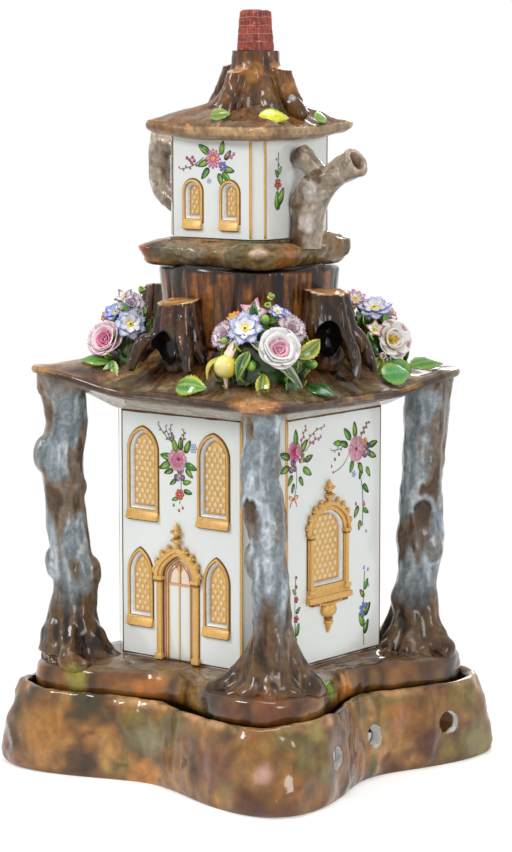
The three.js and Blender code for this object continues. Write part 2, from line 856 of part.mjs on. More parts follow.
function stumpPiece({ across, extra }, side, canopy, collar) {
  const foot = canopyRim + rimThickness / 2;
  const top = canopyTop + stumpRise + extra;
  const steps = 3;
  const sections = [];
  for (let i = 0; i <= steps; i += 1) {
    const share = i / steps;
    const height = THREE.MathUtils.lerp(foot, top, share);
    sections.push(
      Array.from({ length: stumpSides }, (_, k) => {
        const angle = (k / stumpSides) * fullTurn;
        const spread = stumpRoots * (1 - share) ** 1.4 * (1 + 0.55 * Math.cos(stumpLegs * angle));
        const radius = stumpRadius + spread - stumpRadius * 0.1 * share;
        const tilt = share === 1 ? stumpRadius * 0.12 * Math.cos(angle) : 0;
        const reach = stumpReach + stumpRoots * 0.3 * (1 - share);
        return new THREE.Vector3(reach + radius * 0.8 * Math.cos(angle), across + radius * Math.sin(angle), height - tilt);
      }),
    );
  }
  const hollow = ball(1, 0)
    .scale([stumpRadius, hollowWidth / 2, hollowHeight / 2])
    .translate([stumpReach + stumpRadius * 1.4, across, canopyRim + hollowHeight * 0.42]);
  const turnedTo = loft(sections).subtract(hollow).rotate([0, 0, 90 * side]);
  const clearance = 1 + seam / collarRadius;
  return largest(turnedTo.subtract(canopy.translate([0, 0, seam])).subtract(collar.scale([clearance, clearance, 1])));
}

// Flowers, built facing +Z with their back at the origin

// A cupped bloom: its petals are ripples of the rim, round a raised heart.
function roseBloom(size) {
  const petals = 5;
  const rim = (share, rise, ripple) => (angle) => [
    size * share * (1 + ripple * Math.cos(petals * angle)),
    size * (rise + ripple * Math.cos(petals * angle)),
  ];
  return ringBody(
    [rim(0.3, 0, 0), rim(0.9, 0.35, 0.04), rim(1, 0.85, 0.08), rim(0.62, 0.5, 0), rim(0.36, 0.85, 0)],
    petals * 2,
  );
}

// An open bloom with `petals` notched petals round a raised button.
function openBloom(size, petals, notch, lift) {
  const rim = (share, rise, depth) => (angle) => {
    const lobe = Math.abs(Math.cos((petals / 2) * angle));
    return [size * share * (1 - depth + depth * lobe), size * rise];
  };
  return ringBody(
    [rim(0.25, 0, 0), rim(1, lift, notch), rim(0.95, lift + 0.12, notch), rim(0.34, 0.3, 0), rim(0.26, 0.5, 0)],
    petals * 2,
  );
}

const fruitBloom = (size) => ball(size, 1).translate([0, 0, size]);

// A leaf that lies along +X, thin and bent down at its tip
function leafSolid(length, width, thickness = 1.6) {
  const steps = 4;
  const sections = [];
  for (let i = 0; i <= steps; i += 1) {
    const share = i / steps;
    const half = Math.max(0.25, (width / 2) * Math.sin(Math.PI * share ** 0.8));
    const z = 0.18 * length * Math.sin(Math.PI * share);
    const x = length * share;
    sections.push([
      new THREE.Vector3(x, -half, z),
      new THREE.Vector3(x, 0, z - thickness * 0.7),
      new THREE.Vector3(x, half, z),
      new THREE.Vector3(x, 0, z + thickness * 0.5),
    ]);
  }
  return loft(sections);
}

// Sets a bloom on the bouquet's mound, square to it: `turn` goes round from the corner's direction, `rise` up.
function placeBloom(solid, corner, { turn, rise }) {
  const radians = THREE.MathUtils.degToRad;
  const flat = Math.cos(radians(rise));
  const way = new THREE.Vector3(flat * Math.cos(radians(turn)), flat * Math.sin(radians(turn)), Math.sin(radians(rise)));
  const size = new THREE.Vector3(moundLength, moundWidth, moundHeight);
  const normal = way.clone().divide(size).normalize();
  const middle = new THREE.Vector3(bouquetReach, 0, canopyRim + moundCentre);
  const at = way.multiply(size).addScaledVector(normal, -bloomSeat).add(middle);
  const facing = new THREE.Quaternion().setFromUnitVectors(new THREE.Vector3(0, 0, 1), normal);
  const place = new THREE.Matrix4().compose(at, facing, new THREE.Vector3(1, 1, 1));
  return solid.transform(place.elements).rotate([0, 0, 45 + 90 * corner]);
}

const bloomShapes = {
  rose: (size) => roseBloom(size),
  anemone: (size) => roseBloom(size),
  primula: (size) => openBloom(size, 6, 0.25, 0.35),
  star: (size) => openBloom(size, 5, 0.55, 0.35),
  daisy: (size) => openBloom(size, 8, 0.25, 0.2),
  lemon: (size) => fruitBloom(size),
};

// Each bouquet: its corner, its blooms, and the leaves at its foot as [out and across in shares of the
// leaf reach and spread, direction].
const bouquets = [
  {
    name: 'front',
    corner: 3,
    blooms: [
      { name: 'rose', look: 'pink', turn: 24, rise: 8 },
      { name: 'primula', look: 'blue', turn: -38, rise: 34 },
      { name: 'star', look: 'petal', turn: -75, rise: 74 },
      { name: 'daisy', look: 'petal', turn: 60, rise: 44 },
      { name: 'lemon', look: 'yellow', turn: -42, rise: -4 },
    ],
    leaves: [[1.06, -0.15, -12], [0.88, 1.05, 20], [0.86, -1.1, -20]],
  },
  {
    name: 'right',
    corner: 0,
    blooms: [
      { name: 'anemone', look: 'yellow', turn: -10, rise: 14 },
      { name: 'primula', look: 'blue', turn: -62, rise: 52 },
      { name: 'daisy', look: 'petal', turn: 150, rise: 76 },
    ],
    leaves: [[0.88, -1, -20], [1.06, 0.15, 0], [0.88, 1.05, 20]],
  },
  {
    name: 'back',
    corner: 1,
    blooms: [
      { name: 'rose', look: 'pink', turn: -8, rise: 12 },
      { name: 'primula', look: 'blue', turn: 60, rise: 48 },
      { name: 'daisy', look: 'petal', turn: -80, rise: 62 },
    ],
    leaves: [[1.06, 0.15, 0], [0.88, -1.05, -20], [0.88, 1.05, 20]],
  },
  {
    name: 'left',
    corner: 2,
    blooms: [
      { name: 'rose', look: 'pink', turn: 12, rise: 14 },
      { name: 'primula', look: 'blue', turn: 84, rise: 34 },
      { name: 'star', look: 'petal', turn: 100, rise: 74 },
      { name: 'daisy', look: 'blue', turn: -40, rise: 52 },
    ],
    leaves: [[1.06, 0.1, 0], [0.88, 1.05, 20], [0.88, -1.05, -20]],
  },
];

function moundSolid(corner, grow = 0) {
  return ball(1, 1)
    .scale([moundLength + grow, moundWidth + grow, moundHeight + grow])
    .translate([bouquetReach, 0, canopyRim + moundCentre])
    .rotate([0, 0, 45 + 90 * corner]);
}

function greenery({ corner, leaves }, carriers) {
  const blades = leaves.map(([out, across, yaw]) =>
    leafSolid(leafLength, leafWidth)
      .translate([-leafLength * 0.65, 0, 1])
      .rotate([0, 8, yaw])
      .translate([out * leafReach, across * leafSpread, canopyRim + leafWidth * 0.8])
      .rotate([0, 0, 45 + 90 * corner]),
  );
  return seatOn(joined([moundSolid(corner), ...blades]), carriers);
}

function bouquetPieces(bouquet, carriers) {
  const leafy = greenery(bouquet, carriers);
  const moundTwin = moundSolid(bouquet.corner, 2 * seam);
  const pieces = [meshOf(`greenery_${bouquet.name}`, leafy, looks.green)];
  for (const bloom of bouquet.blooms) {
    const placed = placeBloom(bloomShapes[bloom.name](bloomSize[bloom.name]), bouquet.corner, bloom);
    const seated = seatOn(placed.subtract(moundTwin), carriers);
    pieces.push(meshOf(`${bloom.name}_${bouquet.name}`, seated, looks[bloom.look]));
  }
  return pieces;
}

// Teapot

function saucerPiece() {
  const edge = (offset, height, relief = 1) => (angle) => [
    roundedSquare(angle, saucerHalf, saucerRounding) + offset + relief * 0.6 * rock(angle + 0.4, height * 3),
    saucerBottom + height,
  ];
  return ringBody(
    [
      round(flueRadius - slipFit - 2, saucerBottom - saucerFoot),
      round(flueRadius - slipFit, saucerBottom - saucerFoot + 2),
      round(flueRadius - slipFit, saucerBottom),
      edge(-5, 0, 0),
      edge(-0.8, saucerThickness * 0.25),
      edge(0, saucerThickness * 0.55),
      edge(-3, saucerThickness * 0.88),
      (angle) => [chamferedSquare(angle, potHalf, potChamfer) + 3, potFoot],
    ],
    24,
  );
}

function potOpenings() {
  const windows = [];
  for (const facade of [0, 2]) {
    for (const [side, sign] of [['left', -1], ['right', 1]]) {
      windows.push({ facade, across: sign * potWindow.across, side });
    }
  }
  return windows;
}

// The bend in the spout lies at this share of its reach and rise.
const spoutBend = { out: 0.54, up: 0.76 };

function potBody() {
  const outer = extruded(chamferedShape(potHalf, potChamfer), potHeight);
  const innerLeg = potChamfer - potWall * (2 - Math.SQRT2);
  const inner = extruded(chamferedShape(potHalf - potWall, innerLeg), potHeight).translate([0, 0, potFloor]);
  let pot = outer.subtract(inner).translate([0, 0, potFoot]);
  for (const { facade, across } of potOpenings()) {
    pot = pot.subtract(onFacade(pocketOf(potWindow), facade, potHalf, across, potFoot + potWindow.sill));
  }
  const outlet = new THREE.CylinderGeometry(spoutBore * 0.8, spoutBore * 0.8, potWall * 4, 8);
  outlet.rotateZ(quarterTurn);
  return pot.subtract(solidOf(outlet.translate(potHalf, 0, potFoot + potFloor + spoutBore + 3)));
}

function spoutPiece(saucer, pot) {
  const foot = [potHalf + spoutRadius * 0.75, 0, potFoot - 3];
  const bend = [potHalf + spoutReach * spoutBend.out, 0, potFoot + spoutRise * spoutBend.up];
  const mouth = [potHalf + spoutReach, 0, potFoot + spoutRise];
  const knee = [potHalf + spoutRadius, 0, potFoot + spoutRise * 0.3];
  const stem = branch(
    [[foot, spoutRadius], [knee, spoutRadius], [bend, spoutRadius * 0.95], [mouth, spoutRadius * 0.85]],
    8,
  );
  const forkFoot = [potHalf - 2, 0, potTop - forkDrop];
  const forkMiddle = [potHalf + spoutReach * 0.3, 0, potTop - forkDrop * 1.3];
  const fork = branch([[forkFoot, spoutRadius * 0.75], [forkMiddle, spoutRadius * 0.6], [bend, spoutRadius * 0.6]], 6);
  const inlet = [potHalf - 4, 0, potFoot + potFloor + spoutBore + 3];
  const turn = [potHalf + spoutRadius * 1.2, 0, potFoot + potFloor + spoutBore + 6];
  const beyond = [mouth[0] + 5, 0, mouth[2] + 4.4];
  const narrow = spoutBore * 0.8;
  const bore = branch(
    [[inlet, narrow], [turn, narrow], [bend, narrow], [mouth, spoutBore], [beyond, spoutBore * 1.1]],
    6,
    0,
  );
  const carriers = pot.add(extruded(chamferedShape(potHalf, potChamfer), potHeight).translate([0, 0, potFoot]));
  const trimmed = stem.add(fork).subtract(carriers.translate([seam, 0, 0])).subtract(saucer.translate([0, 0, seam]));
  return largest(trimmed.subtract(bore));
}

// The handle's shoulder stands up beside the eaves, and its arm passes below them.
function handlePiece() {
  const outer = -(potHalf + handleReach);
  const top = [-potHalf + 2, 0, potTop - handleRadius * 2];
  const shoulder = [outer + handleRadius * 0.4, 0, potTop - handleRadius * 0.5];
  const back = [outer, 0, potFoot + potHeight * 0.6];
  const low = [-potHalf - handleReach * 0.72, 0, potFoot + potHeight * 0.36];
  const foot = [-potHalf + 2, 0, potFoot + potHeight * 0.16];
  const loop = branch(
    [
      [top, handleRadius * 0.85],
      [shoulder, handleRadius * 0.95],
      [back, handleRadius],
      [low, handleRadius * 0.95],
      [foot, handleRadius * 0.8],
    ],
    8,
  );
  const wall = extruded(chamferedShape(potHalf, potChamfer), potHeight).translate([-seam, 0, potFoot]);
  const eaves = ringBody(lidRings(), lidSegments).translate([0, 0, -restGap]);
  return largest(loop.subtract(wall).subtract(eaves));
}

// Lid

const lidOutline = (angle) => roundedSquare(angle, lidHalf, lidRounding) - 1.5 * Math.cos(2 * angle) ** 2;

// The outside of the lid's roof, from its underside over the rim to the middle
function lidRings() {
  const lift = (angle) => 3 * cornerShare(angle);
  return [
    (angle) => [lidOutline(angle) - 9, lidFoot],
    (angle) => [lidOutline(angle) - 1.5, lidFoot - lidOverhang + 1.8 * lift(angle)],
    (angle) => [lidOutline(angle), lidFoot - lidOverhang + lidRimThickness * 0.6 + 1.3 * lift(angle)],
    (angle) => [lidOutline(angle) - 1.5, lidFoot - lidOverhang + lidRimThickness + lift(angle)],
    (angle) => [lidOutline(angle) * 0.7, lidFoot + lidRise * 0.8],
    round(lidStumpRadius - lidWall, lidStumpFoot + 3),
  ];
}

function lidRoof() {
  const inner = (angle) => chamferedSquare(angle, potHalf - potWall - slipFit, potChamfer);
  const rings = [
    ...lidRings(),
    round(lidStumpRadius - lidWall, lidFoot + lidRise),
    (angle) => [inner(angle) - lidWall, lidFoot + 1],
    (angle) => [inner(angle) - lidWall, lidFoot - lidFlange],
    (angle) => [inner(angle), lidFoot - lidFlange],
    (angle) => [inner(angle), lidFoot],
  ];
  return ringBody(rings, lidSegments, true);
}

// The stump on the lid, with a short stub and its roots towards the middle of each side.
function lidStump() {
  const steps = 3;
  const sunk = 2;
  const middle = ringBody(
    Array.from({ length: steps + 1 }, (_, i) => (angle) => {
      const share = i / steps;
      const spread = lidRoots * (1 - share) ** 2 * (1 + 0.25 * Math.cos(4 * angle));
      const bark = lidStumpRadius * 0.05 * Math.sin(6 * angle + i);
      const height = THREE.MathUtils.lerp(lidStumpFoot - sunk, lidStumpFoot + lidStumpHeight, share);
      return [lidStumpRadius + spread + bark, height];
    }),
    12,
  );
  const stubs = [0, 1, 2, 3].map((side) => {
    const low = [lidStubReach + lidStubRadius, 0, lidStumpFoot - 2 * sunk];
    const high = [lidStubReach - lidStubRadius * 0.4, 0, lidStumpFoot + lidStumpHeight * 0.5];
    return branch([[low, lidStubRadius * 1.2], [high, lidStubRadius * 0.75]], 5).rotate([0, 0, 90 * side]);
  });
  return seatOn(joined([middle, ...stubs]).translate([...lidShift, 0]), [ringBody(lidRings(), lidSegments)]);
}

// Tapered stack of brick courses with rounded corners.
function chimneyPiece() {
  const course = chimneyHeight / brickCourses;
  const rings = [];
  const ring = (height, cut) => (angle) => {
    const width = THREE.MathUtils.lerp(chimneyWidth, chimneyTop, (height - chimneyFoot) / chimneyHeight);
    return [roundedSquare(angle, width / 2, chimneyRounding) - cut, height];
  };
  for (let i = 0; i < brickCourses; i += 1) {
    const foot = chimneyFoot + i * course;
    const joint = i < brickCourses - 1 ? mortarDepth : 0;
    rings.push(ring(foot, 0), ring(foot + course - 2 * mortarDepth, 0), ring(foot + course, joint));
  }
  return ringBody(rings, 16).translate([...lidShift, 0]);
}

// The whole piece

const terrace = terracePiece();
const canopy = canopyPiece();
const canopySolid = ringBody(canopyRings(), outlineSegments);
const collar = collarPiece();
const saucer = saucerPiece();
const pot = potBody();
const roof = lidRoof();

const group = new THREE.Group();
const add = (name, solid, look) => group.add(meshOf(name, solid, look));

add('plinth', plinthPiece(), looks.rock);

add('lamp_cup', lampCup(), looks.white);
add('float_cork', corkFloat(), looks.cork);
add('float_plate', tinPlate(), looks.tin);
add('wick', wickPiece(), looks.wick);

add('terrace', terrace, looks.rock);
add('house_walls', houseWalls(), looks.white);
add('door_surround', onFacade(doorSurround(), 0, houseHalf, facadeShift, houseFoot + seam), looks.gold);
add('door_leaves', onFacade(doorLeaves(), 0, houseHalf, facadeShift, houseFoot + seam), looks.white);
for (const { facade, arch, across, name } of houseOpenings()) {
  const place = facade === 0 ? 'front' : 'back';
  const frame = framedLattice(arch, frameWidth, cellPitch);
  add(`window_${place}_${name}`, onFacade(frame, facade, houseHalf, across, arch.sill), looks.gold);
}
for (const [facade, place] of [[1, 'right'], [3, 'left']]) {
  add(`oriel_${place}`, onFacade(orielWindow(), facade, houseHalf, oriel.across, oriel.sill), looks.gold);
}
for (const trunk of trunks) {
  add(trunk.name, trunkPiece(trunk, terrace, canopySolid), looks.trunk);
}
add('canopy', canopy, looks.bark);
add('collar', collar, looks.bark);
const stumpSolids = stumps.map((stump, side) => {
  const solid = stumpPiece(stump, side, canopySolid, collar);
  add(stump.name, solid, looks.bark);
  return solid;
});
for (const bouquet of bouquets) {
  group.add(...bouquetPieces(bouquet, [canopySolid, collar, ...stumpSolids]));
}

add('teapot_saucer', saucer, looks.bark);
add('teapot_body', pot, looks.white);
for (const { facade, across, side } of potOpenings()) {
  const place = facade === 0 ? 'front' : 'back';
  const frame = framedLattice(potWindow, potFrame, cellPitch);
  add(`pot_window_${place}_${side}`, onFacade(frame, facade, potHalf, across, potFoot + potWindow.sill), looks.gold);
}
add('teapot_spout', spoutPiece(saucer, pot), looks.branch);
add('teapot_handle', handlePiece(), looks.branch);

add('lid_roof', roof, looks.bark);
add('lid_stump', lidStump(), looks.bark);
add('chimney', chimneyPiece(), looks.brick);

export default group;
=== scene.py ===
# Looks of a porcelain night-light teapot warmer: a Gothic house under a tree-stump roof.
# Shapes are worked out in millimetres, +Z up, and turned into metres when a piece is made.
from math import atan2, cos, degrees, pi, radians, sin, sqrt, tau

import bmesh
import bpy
import numpy as np
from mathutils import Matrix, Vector

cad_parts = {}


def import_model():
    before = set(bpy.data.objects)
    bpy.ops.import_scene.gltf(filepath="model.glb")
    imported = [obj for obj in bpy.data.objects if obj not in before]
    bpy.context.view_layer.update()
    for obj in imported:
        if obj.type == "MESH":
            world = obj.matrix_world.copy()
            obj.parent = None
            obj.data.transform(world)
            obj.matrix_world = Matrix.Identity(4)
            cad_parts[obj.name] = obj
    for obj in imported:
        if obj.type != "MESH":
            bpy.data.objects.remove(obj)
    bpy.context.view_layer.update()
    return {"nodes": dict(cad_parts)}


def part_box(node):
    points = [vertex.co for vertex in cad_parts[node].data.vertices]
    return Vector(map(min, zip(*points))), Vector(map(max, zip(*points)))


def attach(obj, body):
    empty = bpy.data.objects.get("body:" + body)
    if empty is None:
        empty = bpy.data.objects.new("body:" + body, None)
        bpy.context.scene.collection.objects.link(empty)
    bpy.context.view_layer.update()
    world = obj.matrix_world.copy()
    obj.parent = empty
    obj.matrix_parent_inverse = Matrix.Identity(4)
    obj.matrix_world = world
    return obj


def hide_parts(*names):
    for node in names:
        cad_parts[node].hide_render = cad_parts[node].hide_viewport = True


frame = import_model()
nodes = frame["nodes"]

METRE = 0.001


def box_mm(node):
    low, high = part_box(node)
    return np.array(low) / METRE, np.array(high) / METRE


# Sizes shared by several pieces, as the frame has them
HOUSE_LOW, HOUSE_HIGH = box_mm("house_walls")
HOUSE_HALF = HOUSE_HIGH[0]
HOUSE_FOOT = HOUSE_LOW[2]
HOUSE_TOP = HOUSE_HIGH[2]
PLINTH_TOP = box_mm("plinth")[1][2]
CANOPY_TOP = box_mm("canopy")[1][2]
CANOPY_RIM = box_mm("trunk_front")[1][2]
POT_LOW, POT_HIGH = box_mm("teapot_body")
POT_HALF = POT_HIGH[0]

# Sizes that several pieces share and the frame doesn't name
HOUSE_CHAMFER = 16.3
POT_CHAMFER = 5
TRUNK_REACH = 94.3  # from the axis to the middle of a trunk
TERRACE_EDGE = 19.5  # from the plinth's outline in to the edge of the terrace's top
CANOPY_MOUTH = 47  # radius at which the canopy's slope ends, under the collar
FACADE_SHIFT = -1.8  # the door and its windows stand a little left of the wall's middle
POCKET_DEPTH = 2.4  # how deep the windows are let into the walls


# Colours

def rgb(red, green, blue):
    """An sRGB colour, 0 to 255, as linear light."""
    share = np.array([red, green, blue]) / 255
    return np.where(share <= 0.04045, share / 12.92, ((share + 0.055) / 1.055) ** 2.4)


def mix(first, second, share):
    share = np.clip(np.asarray(share, float), 0, 1)[..., None]
    return first * (1 - share) + second * share


def step(value, low, high):
    share = np.clip((value - low) / (high - low), 0, 1)
    return share * share * (3 - 2 * share)


UMBER = rgb(84, 48, 24)
BLACK_BROWN = rgb(38, 23, 15)
MOSS = rgb(64, 92, 36)
WHITE = rgb(233, 237, 234)
GOLD = rgb(222, 176, 102)
GOLD_DEEP = rgb(150, 98, 44)


# Noise

CELL_FACTORS = (374761393, 668265263, 1440662683)
WORD = 0xFFFFFFFF


def lattice(cells, seed):
    """A repeatable value from -1 to 1 for each cell."""
    mixed = seed * 974634777 + sum(cells[..., k] * factor for k, factor in enumerate(CELL_FACTORS))
    mixed = ((mixed & WORD) ^ ((mixed & WORD) >> 13)) * 1274126177 & WORD
    return ((mixed ^ (mixed >> 16)) & 0xFFFF) / 32767.5 - 1


def noise(points, size, seed=0):
    """Smooth noise from -1 to 1 that changes over about `size` (a length, or one for each axis)."""
    place = np.asarray(points, float) / size
    base = np.floor(place).astype(np.int64)
    part = place - base
    part = part * part * (3 - 2 * part)
    total = 0
    for corner in np.ndindex(2, 2, 2):
        weight = np.prod(np.where(corner, part, 1 - part), axis=-1)
        total = total + weight * lattice(base + np.array(corner), seed)
    return total


def fractal(points, size, seed=0, levels=3):
    size = np.asarray(size, float)
    return sum(noise(points, size / 2 ** k, seed + k) / 2 ** k for k in range(levels))


def ridged(points, size, seed=0):
    return 1 - 2 * np.abs(noise(points, size, seed))


# Meshes

class Heap:
    """Points, faces and colours of one piece while it is put together."""

    def __init__(self):
        self.points = []
        self.faces = []
        self.paint = []
        self.count = 0

    def add(self, points, faces, paint=None):
        points = np.asarray(points, float).reshape(-1, 3)
        colours = np.ones_like(points) if paint is None else np.broadcast_to(paint, points.shape)
        self.faces += [tuple(int(i) + self.count for i in face) for face in faces]
        self.points.append(points)
        self.paint.append(colours)
        self.count += len(points)
        return self

    def merged(self):
        return np.concatenate(self.points), self.faces, np.concatenate(self.paint)

    def object(self, name):
        points, faces, _ = self.merged()
        return object_of(name, points, faces)


def object_of(name, points, faces):
    """A mesh object from points in millimetres, with its faces turned outwards."""
    mesh = bpy.data.meshes.new(name)
    mesh.from_pydata((np.asarray(points) * METRE).tolist(), [], faces)
    mesh.validate()
    shell = bmesh.new()
    shell.from_mesh(mesh)
    bmesh.ops.recalc_face_normals(shell, faces=shell.faces)
    shell.to_mesh(mesh)
    shell.free()
    obj = bpy.data.objects.new(name, mesh)
    bpy.context.scene.collection.objects.link(obj)
    return obj


def surface_of(obj):
    """The points, in millimetres, and the normals of an object's mesh."""
    vertices = obj.data.vertices
    points, normals = np.zeros(len(vertices) * 3), np.zeros(len(vertices) * 3)
    vertices.foreach_get("co", points)
    vertices.foreach_get("normal", normals)
    return points.reshape(-1, 3) / METRE, normals.reshape(-1, 3)


def move_points(obj, points):
    obj.data.vertices.foreach_set("co", (points * METRE).ravel())
    obj.data.update()


def set_paint(obj, colours):
    layer = obj.data.color_attributes.new("paint", "FLOAT_COLOR", "POINT")
    rows = np.ones((len(obj.data.vertices), 4))
    rows[:, :3] = colours
    layer.data.foreach_set("color", rows.ravel())


def bake(obj):
    """Applies the object's modifiers to its mesh."""
    bpy.context.view_layer.update()
    graph = bpy.context.evaluated_depsgraph_get()
    mesh = bpy.data.meshes.new_from_object(obj.evaluated_get(graph))
    obj.modifiers.clear()
    old = obj.data
    obj.data = mesh
    bpy.data.meshes.remove(old)


def bevel(obj, width, segments, angle):
    """Rounds the edges that are sharper than an angle in degrees."""
    soft = obj.modifiers.new("soft", "BEVEL")
    soft.width = width * METRE
    soft.segments = segments
    soft.limit_method = "ANGLE"
    soft.angle_limit = radians(angle)


def dress(obj, body, material, replaced=()):
    """Gives a painted object its material and its body, and hides the nodes it stands for."""
    obj.data.materials.clear()
    obj.data.materials.append(material)
    obj.data.polygons.foreach_set("use_smooth", [True] * len(obj.data.polygons))
    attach(obj, body)
    if replaced:
        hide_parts(*replaced)


def piece(name, heap, body, slot, material, replaced=()):
    """A finished piece from a heap."""
    obj = heap.object(name)
    set_paint(obj, heap.merged()[2])
    dress(obj, body, material, replaced)


def sharpen(obj, angle):
    """Keeps the creases of a mesh crisp under smooth shading."""
    obj.data.set_sharp_from_angle(angle=radians(angle))


# Surfaces

def turn_z(points, turn):
    """Points turned round the axis by an angle in degrees."""
    c, s = cos(radians(turn)), sin(radians(turn))
    return np.asarray(points) @ np.array([[c, s, 0], [-s, c, 0], [0, 0, 1]])


def way_of(turn, rise=0):
    """The unit vector that points round by `turn` and up by `rise`, in degrees."""
    level = cos(radians(rise))
    return np.array([level * cos(radians(turn)), level * sin(radians(turn)), sin(radians(rise))])


def polar(points):
    """The distance of points from the axis, and their directions."""
    return np.linalg.norm(points[..., :2], axis=-1), np.arctan2(points[..., 1], points[..., 0])


def between(rows, per_span, closed=False):
    """Catmull-Rom rows between the given rows of points."""
    rows = np.asarray(rows, float)
    count = len(rows)
    result = []
    for i in range(count if closed else count - 1):
        places = i + np.array([-1, 0, 1, 2])
        places = places % count if closed else np.clip(places, 0, count - 1)
        a, b, c, d = rows[places]
        for t in np.arange(per_span) / per_span:
            square = (2 * a - 5 * b + 4 * c - d) * t * t
            cube = (3 * b - a - 3 * c + d) * t ** 3
            result.append(0.5 * (2 * b + (c - a) * t + square + cube))
    if not closed:
        result.append(rows[-1])
    return np.array(result)


def grid_faces(rows, columns, rows_close=False, columns_close=True):
    faces = []
    for i in range(rows if rows_close else rows - 1):
        for j in range(columns if columns_close else columns - 1):
            a, b = i * columns + j, i * columns + (j + 1) % columns
            c, d = ((i + 1) % rows) * columns + (j + 1) % columns, ((i + 1) % rows) * columns + j
            faces.append((a, b, c, d))
    return faces


def pointed_faces(rings, sides):
    """Faces over a first point, rings of points and a last point."""
    last = 1 + (rings - 1) * sides
    faces = [tuple(i + 1 for i in face) for face in grid_faces(rings, sides)]
    faces += [(0, 1 + (j + 1) % sides, 1 + j) for j in range(sides)]
    faces += [(last + j, last + (j + 1) % sides, last + sides) for j in range(sides)]
    return faces


def tube(stations, sides=12, per_span=5, wobble=0.0, seed=0):
    """A closed tube: stations are (point, radius); its ends are drawn in to a point."""
    table = between([list(point) + [radius] for point, radius in stations], per_span)
    spine, radii = table[:, :3], np.maximum(table[:, 3], 0.05)
    along = np.gradient(spine, axis=0)
    along /= np.linalg.norm(along, axis=1)[:, None] + 1e-9
    side = np.cross(along[0], [0.3, 0.2, 1.0] if abs(along[0][2]) < 0.9 else [1.0, 0.1, 0])
    angles = np.arange(sides) / sides * tau
    rings = []
    for centre, way, radius in zip(spine, along, radii):
        side = side - way * (side @ way)
        side /= np.linalg.norm(side)
        other = np.cross(way, side)
        ring = centre + radius * (np.outer(np.cos(angles), side) + np.outer(np.sin(angles), other))
        if wobble:
            ring = centre + (ring - centre) * (1 + wobble * noise(ring, radius * 1.2, seed))[:, None]
        rings.append(ring)
    return np.concatenate([[spine[0]], *rings, [spine[-1]]]), pointed_faces(len(rings), sides)


def lump(centre, size, segments=16, rows=9):
    """An ellipsoid."""
    tilt = np.linspace(-pi / 2, pi / 2, rows + 2)[1:-1]
    around = np.arange(segments) / segments * tau
    ring = np.array([[[cos(t) * cos(a), cos(t) * sin(a), sin(t)] for a in around] for t in tilt])
    points = np.concatenate([[[0, 0, -1]], ring.reshape(-1, 3), [[0, 0, 1]]])
    return points * np.asarray(size) + np.asarray(centre), pointed_faces(rows, segments)


def fused(name, parts, voxel, passes):
    """One skin round several closed parts, smoothed where they meet."""
    heap = Heap()
    for points, faces in parts:
        heap.add(points, faces)
    obj = heap.object(name)
    skin = obj.modifiers.new("skin", "REMESH")
    skin.mode = "VOXEL"
    skin.voxel_size = voxel * METRE
    soft = obj.modifiers.new("soft", "SMOOTH")
    soft.iterations = passes
    soft.factor = 0.5
    bake(obj)
    return obj


def drill(obj, holes):
    """Cuts the solids of a heap out of a piece."""
    cutter = holes.object(obj.name + "_cutter")
    cut = obj.modifiers.new("holes", "BOOLEAN")
    cut.operation = "DIFFERENCE"
    cut.solver = "EXACT"
    cut.object = cutter
    bake(obj)
    bpy.data.objects.remove(cutter)


def pushed_out(points, amount):
    """Moves points away from the axis, flat."""
    away = points.copy()
    away[..., 2] = 0
    return points + away / (np.linalg.norm(away, axis=-1, keepdims=True) + 1e-9) * amount[..., None]


# Outlines, as the distance from the axis in the direction of an angle

def fold(angle):
    within = np.mod(angle, pi / 2)
    return np.minimum(within, pi / 2 - within)


def rounded_square(angle, half, rounding):
    turn = fold(angle)
    centre = half - rounding
    along = centre * (np.cos(turn) + np.sin(turn))
    bend = along + np.sqrt(np.maximum(0, along ** 2 - 2 * centre ** 2 + rounding ** 2))
    return np.where(half * np.tan(turn) <= centre, half / np.cos(turn), bend)


def chamfered_square(angle, half, leg):
    turn = fold(angle)
    return np.minimum(half / np.cos(turn), (2 * half - leg) / (np.cos(turn) + np.sin(turn)))


def plinth_outline(angle):
    return 104 - 22 * np.cos(4 * angle) + 2 * np.cos(8 * angle)


def corner_share(angle, corner=None):
    """How near a direction lies to a corner, or to the one numbered from +X +Y round."""
    share = np.sin(2 * angle) ** 4
    if corner is None:
        return share
    return share * (np.cos(angle - (corner + 0.5) * pi / 2) > 0.707)


def swept(profile, segments, per_span, closed=True):
    """Rings round the axis and their places on the profile, whose rows turn angles into (radius, height)."""
    angles = np.arange(segments) / segments * tau
    rows = [np.stack([np.broadcast_to(part, angles.shape) for part in row(angles)], -1) for row in profile]
    rows = between(rows, per_span, closed)
    radius, height = rows[..., 0], rows[..., 1]
    rings = np.stack([radius * np.cos(angles), radius * np.sin(angles), height], -1)
    return rings, np.arange(len(rings)) / per_span


def flat_ring(radius, height):
    return lambda angles: (radius, height)


def stretch(level, start, full, waning, end):
    """1 along a stretch of the profile and 0 off it, with soft ends, as a factor for rings."""
    return (step(level, start, full) * (1 - step(level, waning, end)))[:, None]


def ring_object(name, rings, closed=True):
    """An object over rings: its profile closes on itself, or its first and last ring are filled."""
    rows, segments = rings.shape[:2]
    faces = grid_faces(rows, segments, rows_close=closed)
    if not closed:
        faces.append(tuple(reversed(range(segments))))
        faces.append(tuple(range((rows - 1) * segments, rows * segments)))
    return object_of(name, rings.reshape(-1, 3), faces)


# Materials

def node_of(tree, kind, source=None, **values):
    """A shader node with its values set and its first input linked to a source."""
    node = tree.nodes.new(kind)
    for key, value in values.items():
        node.inputs[key.replace("_", " ")].default_value = value
    if source:
        tree.links.new(source, node.inputs[0])
    return node


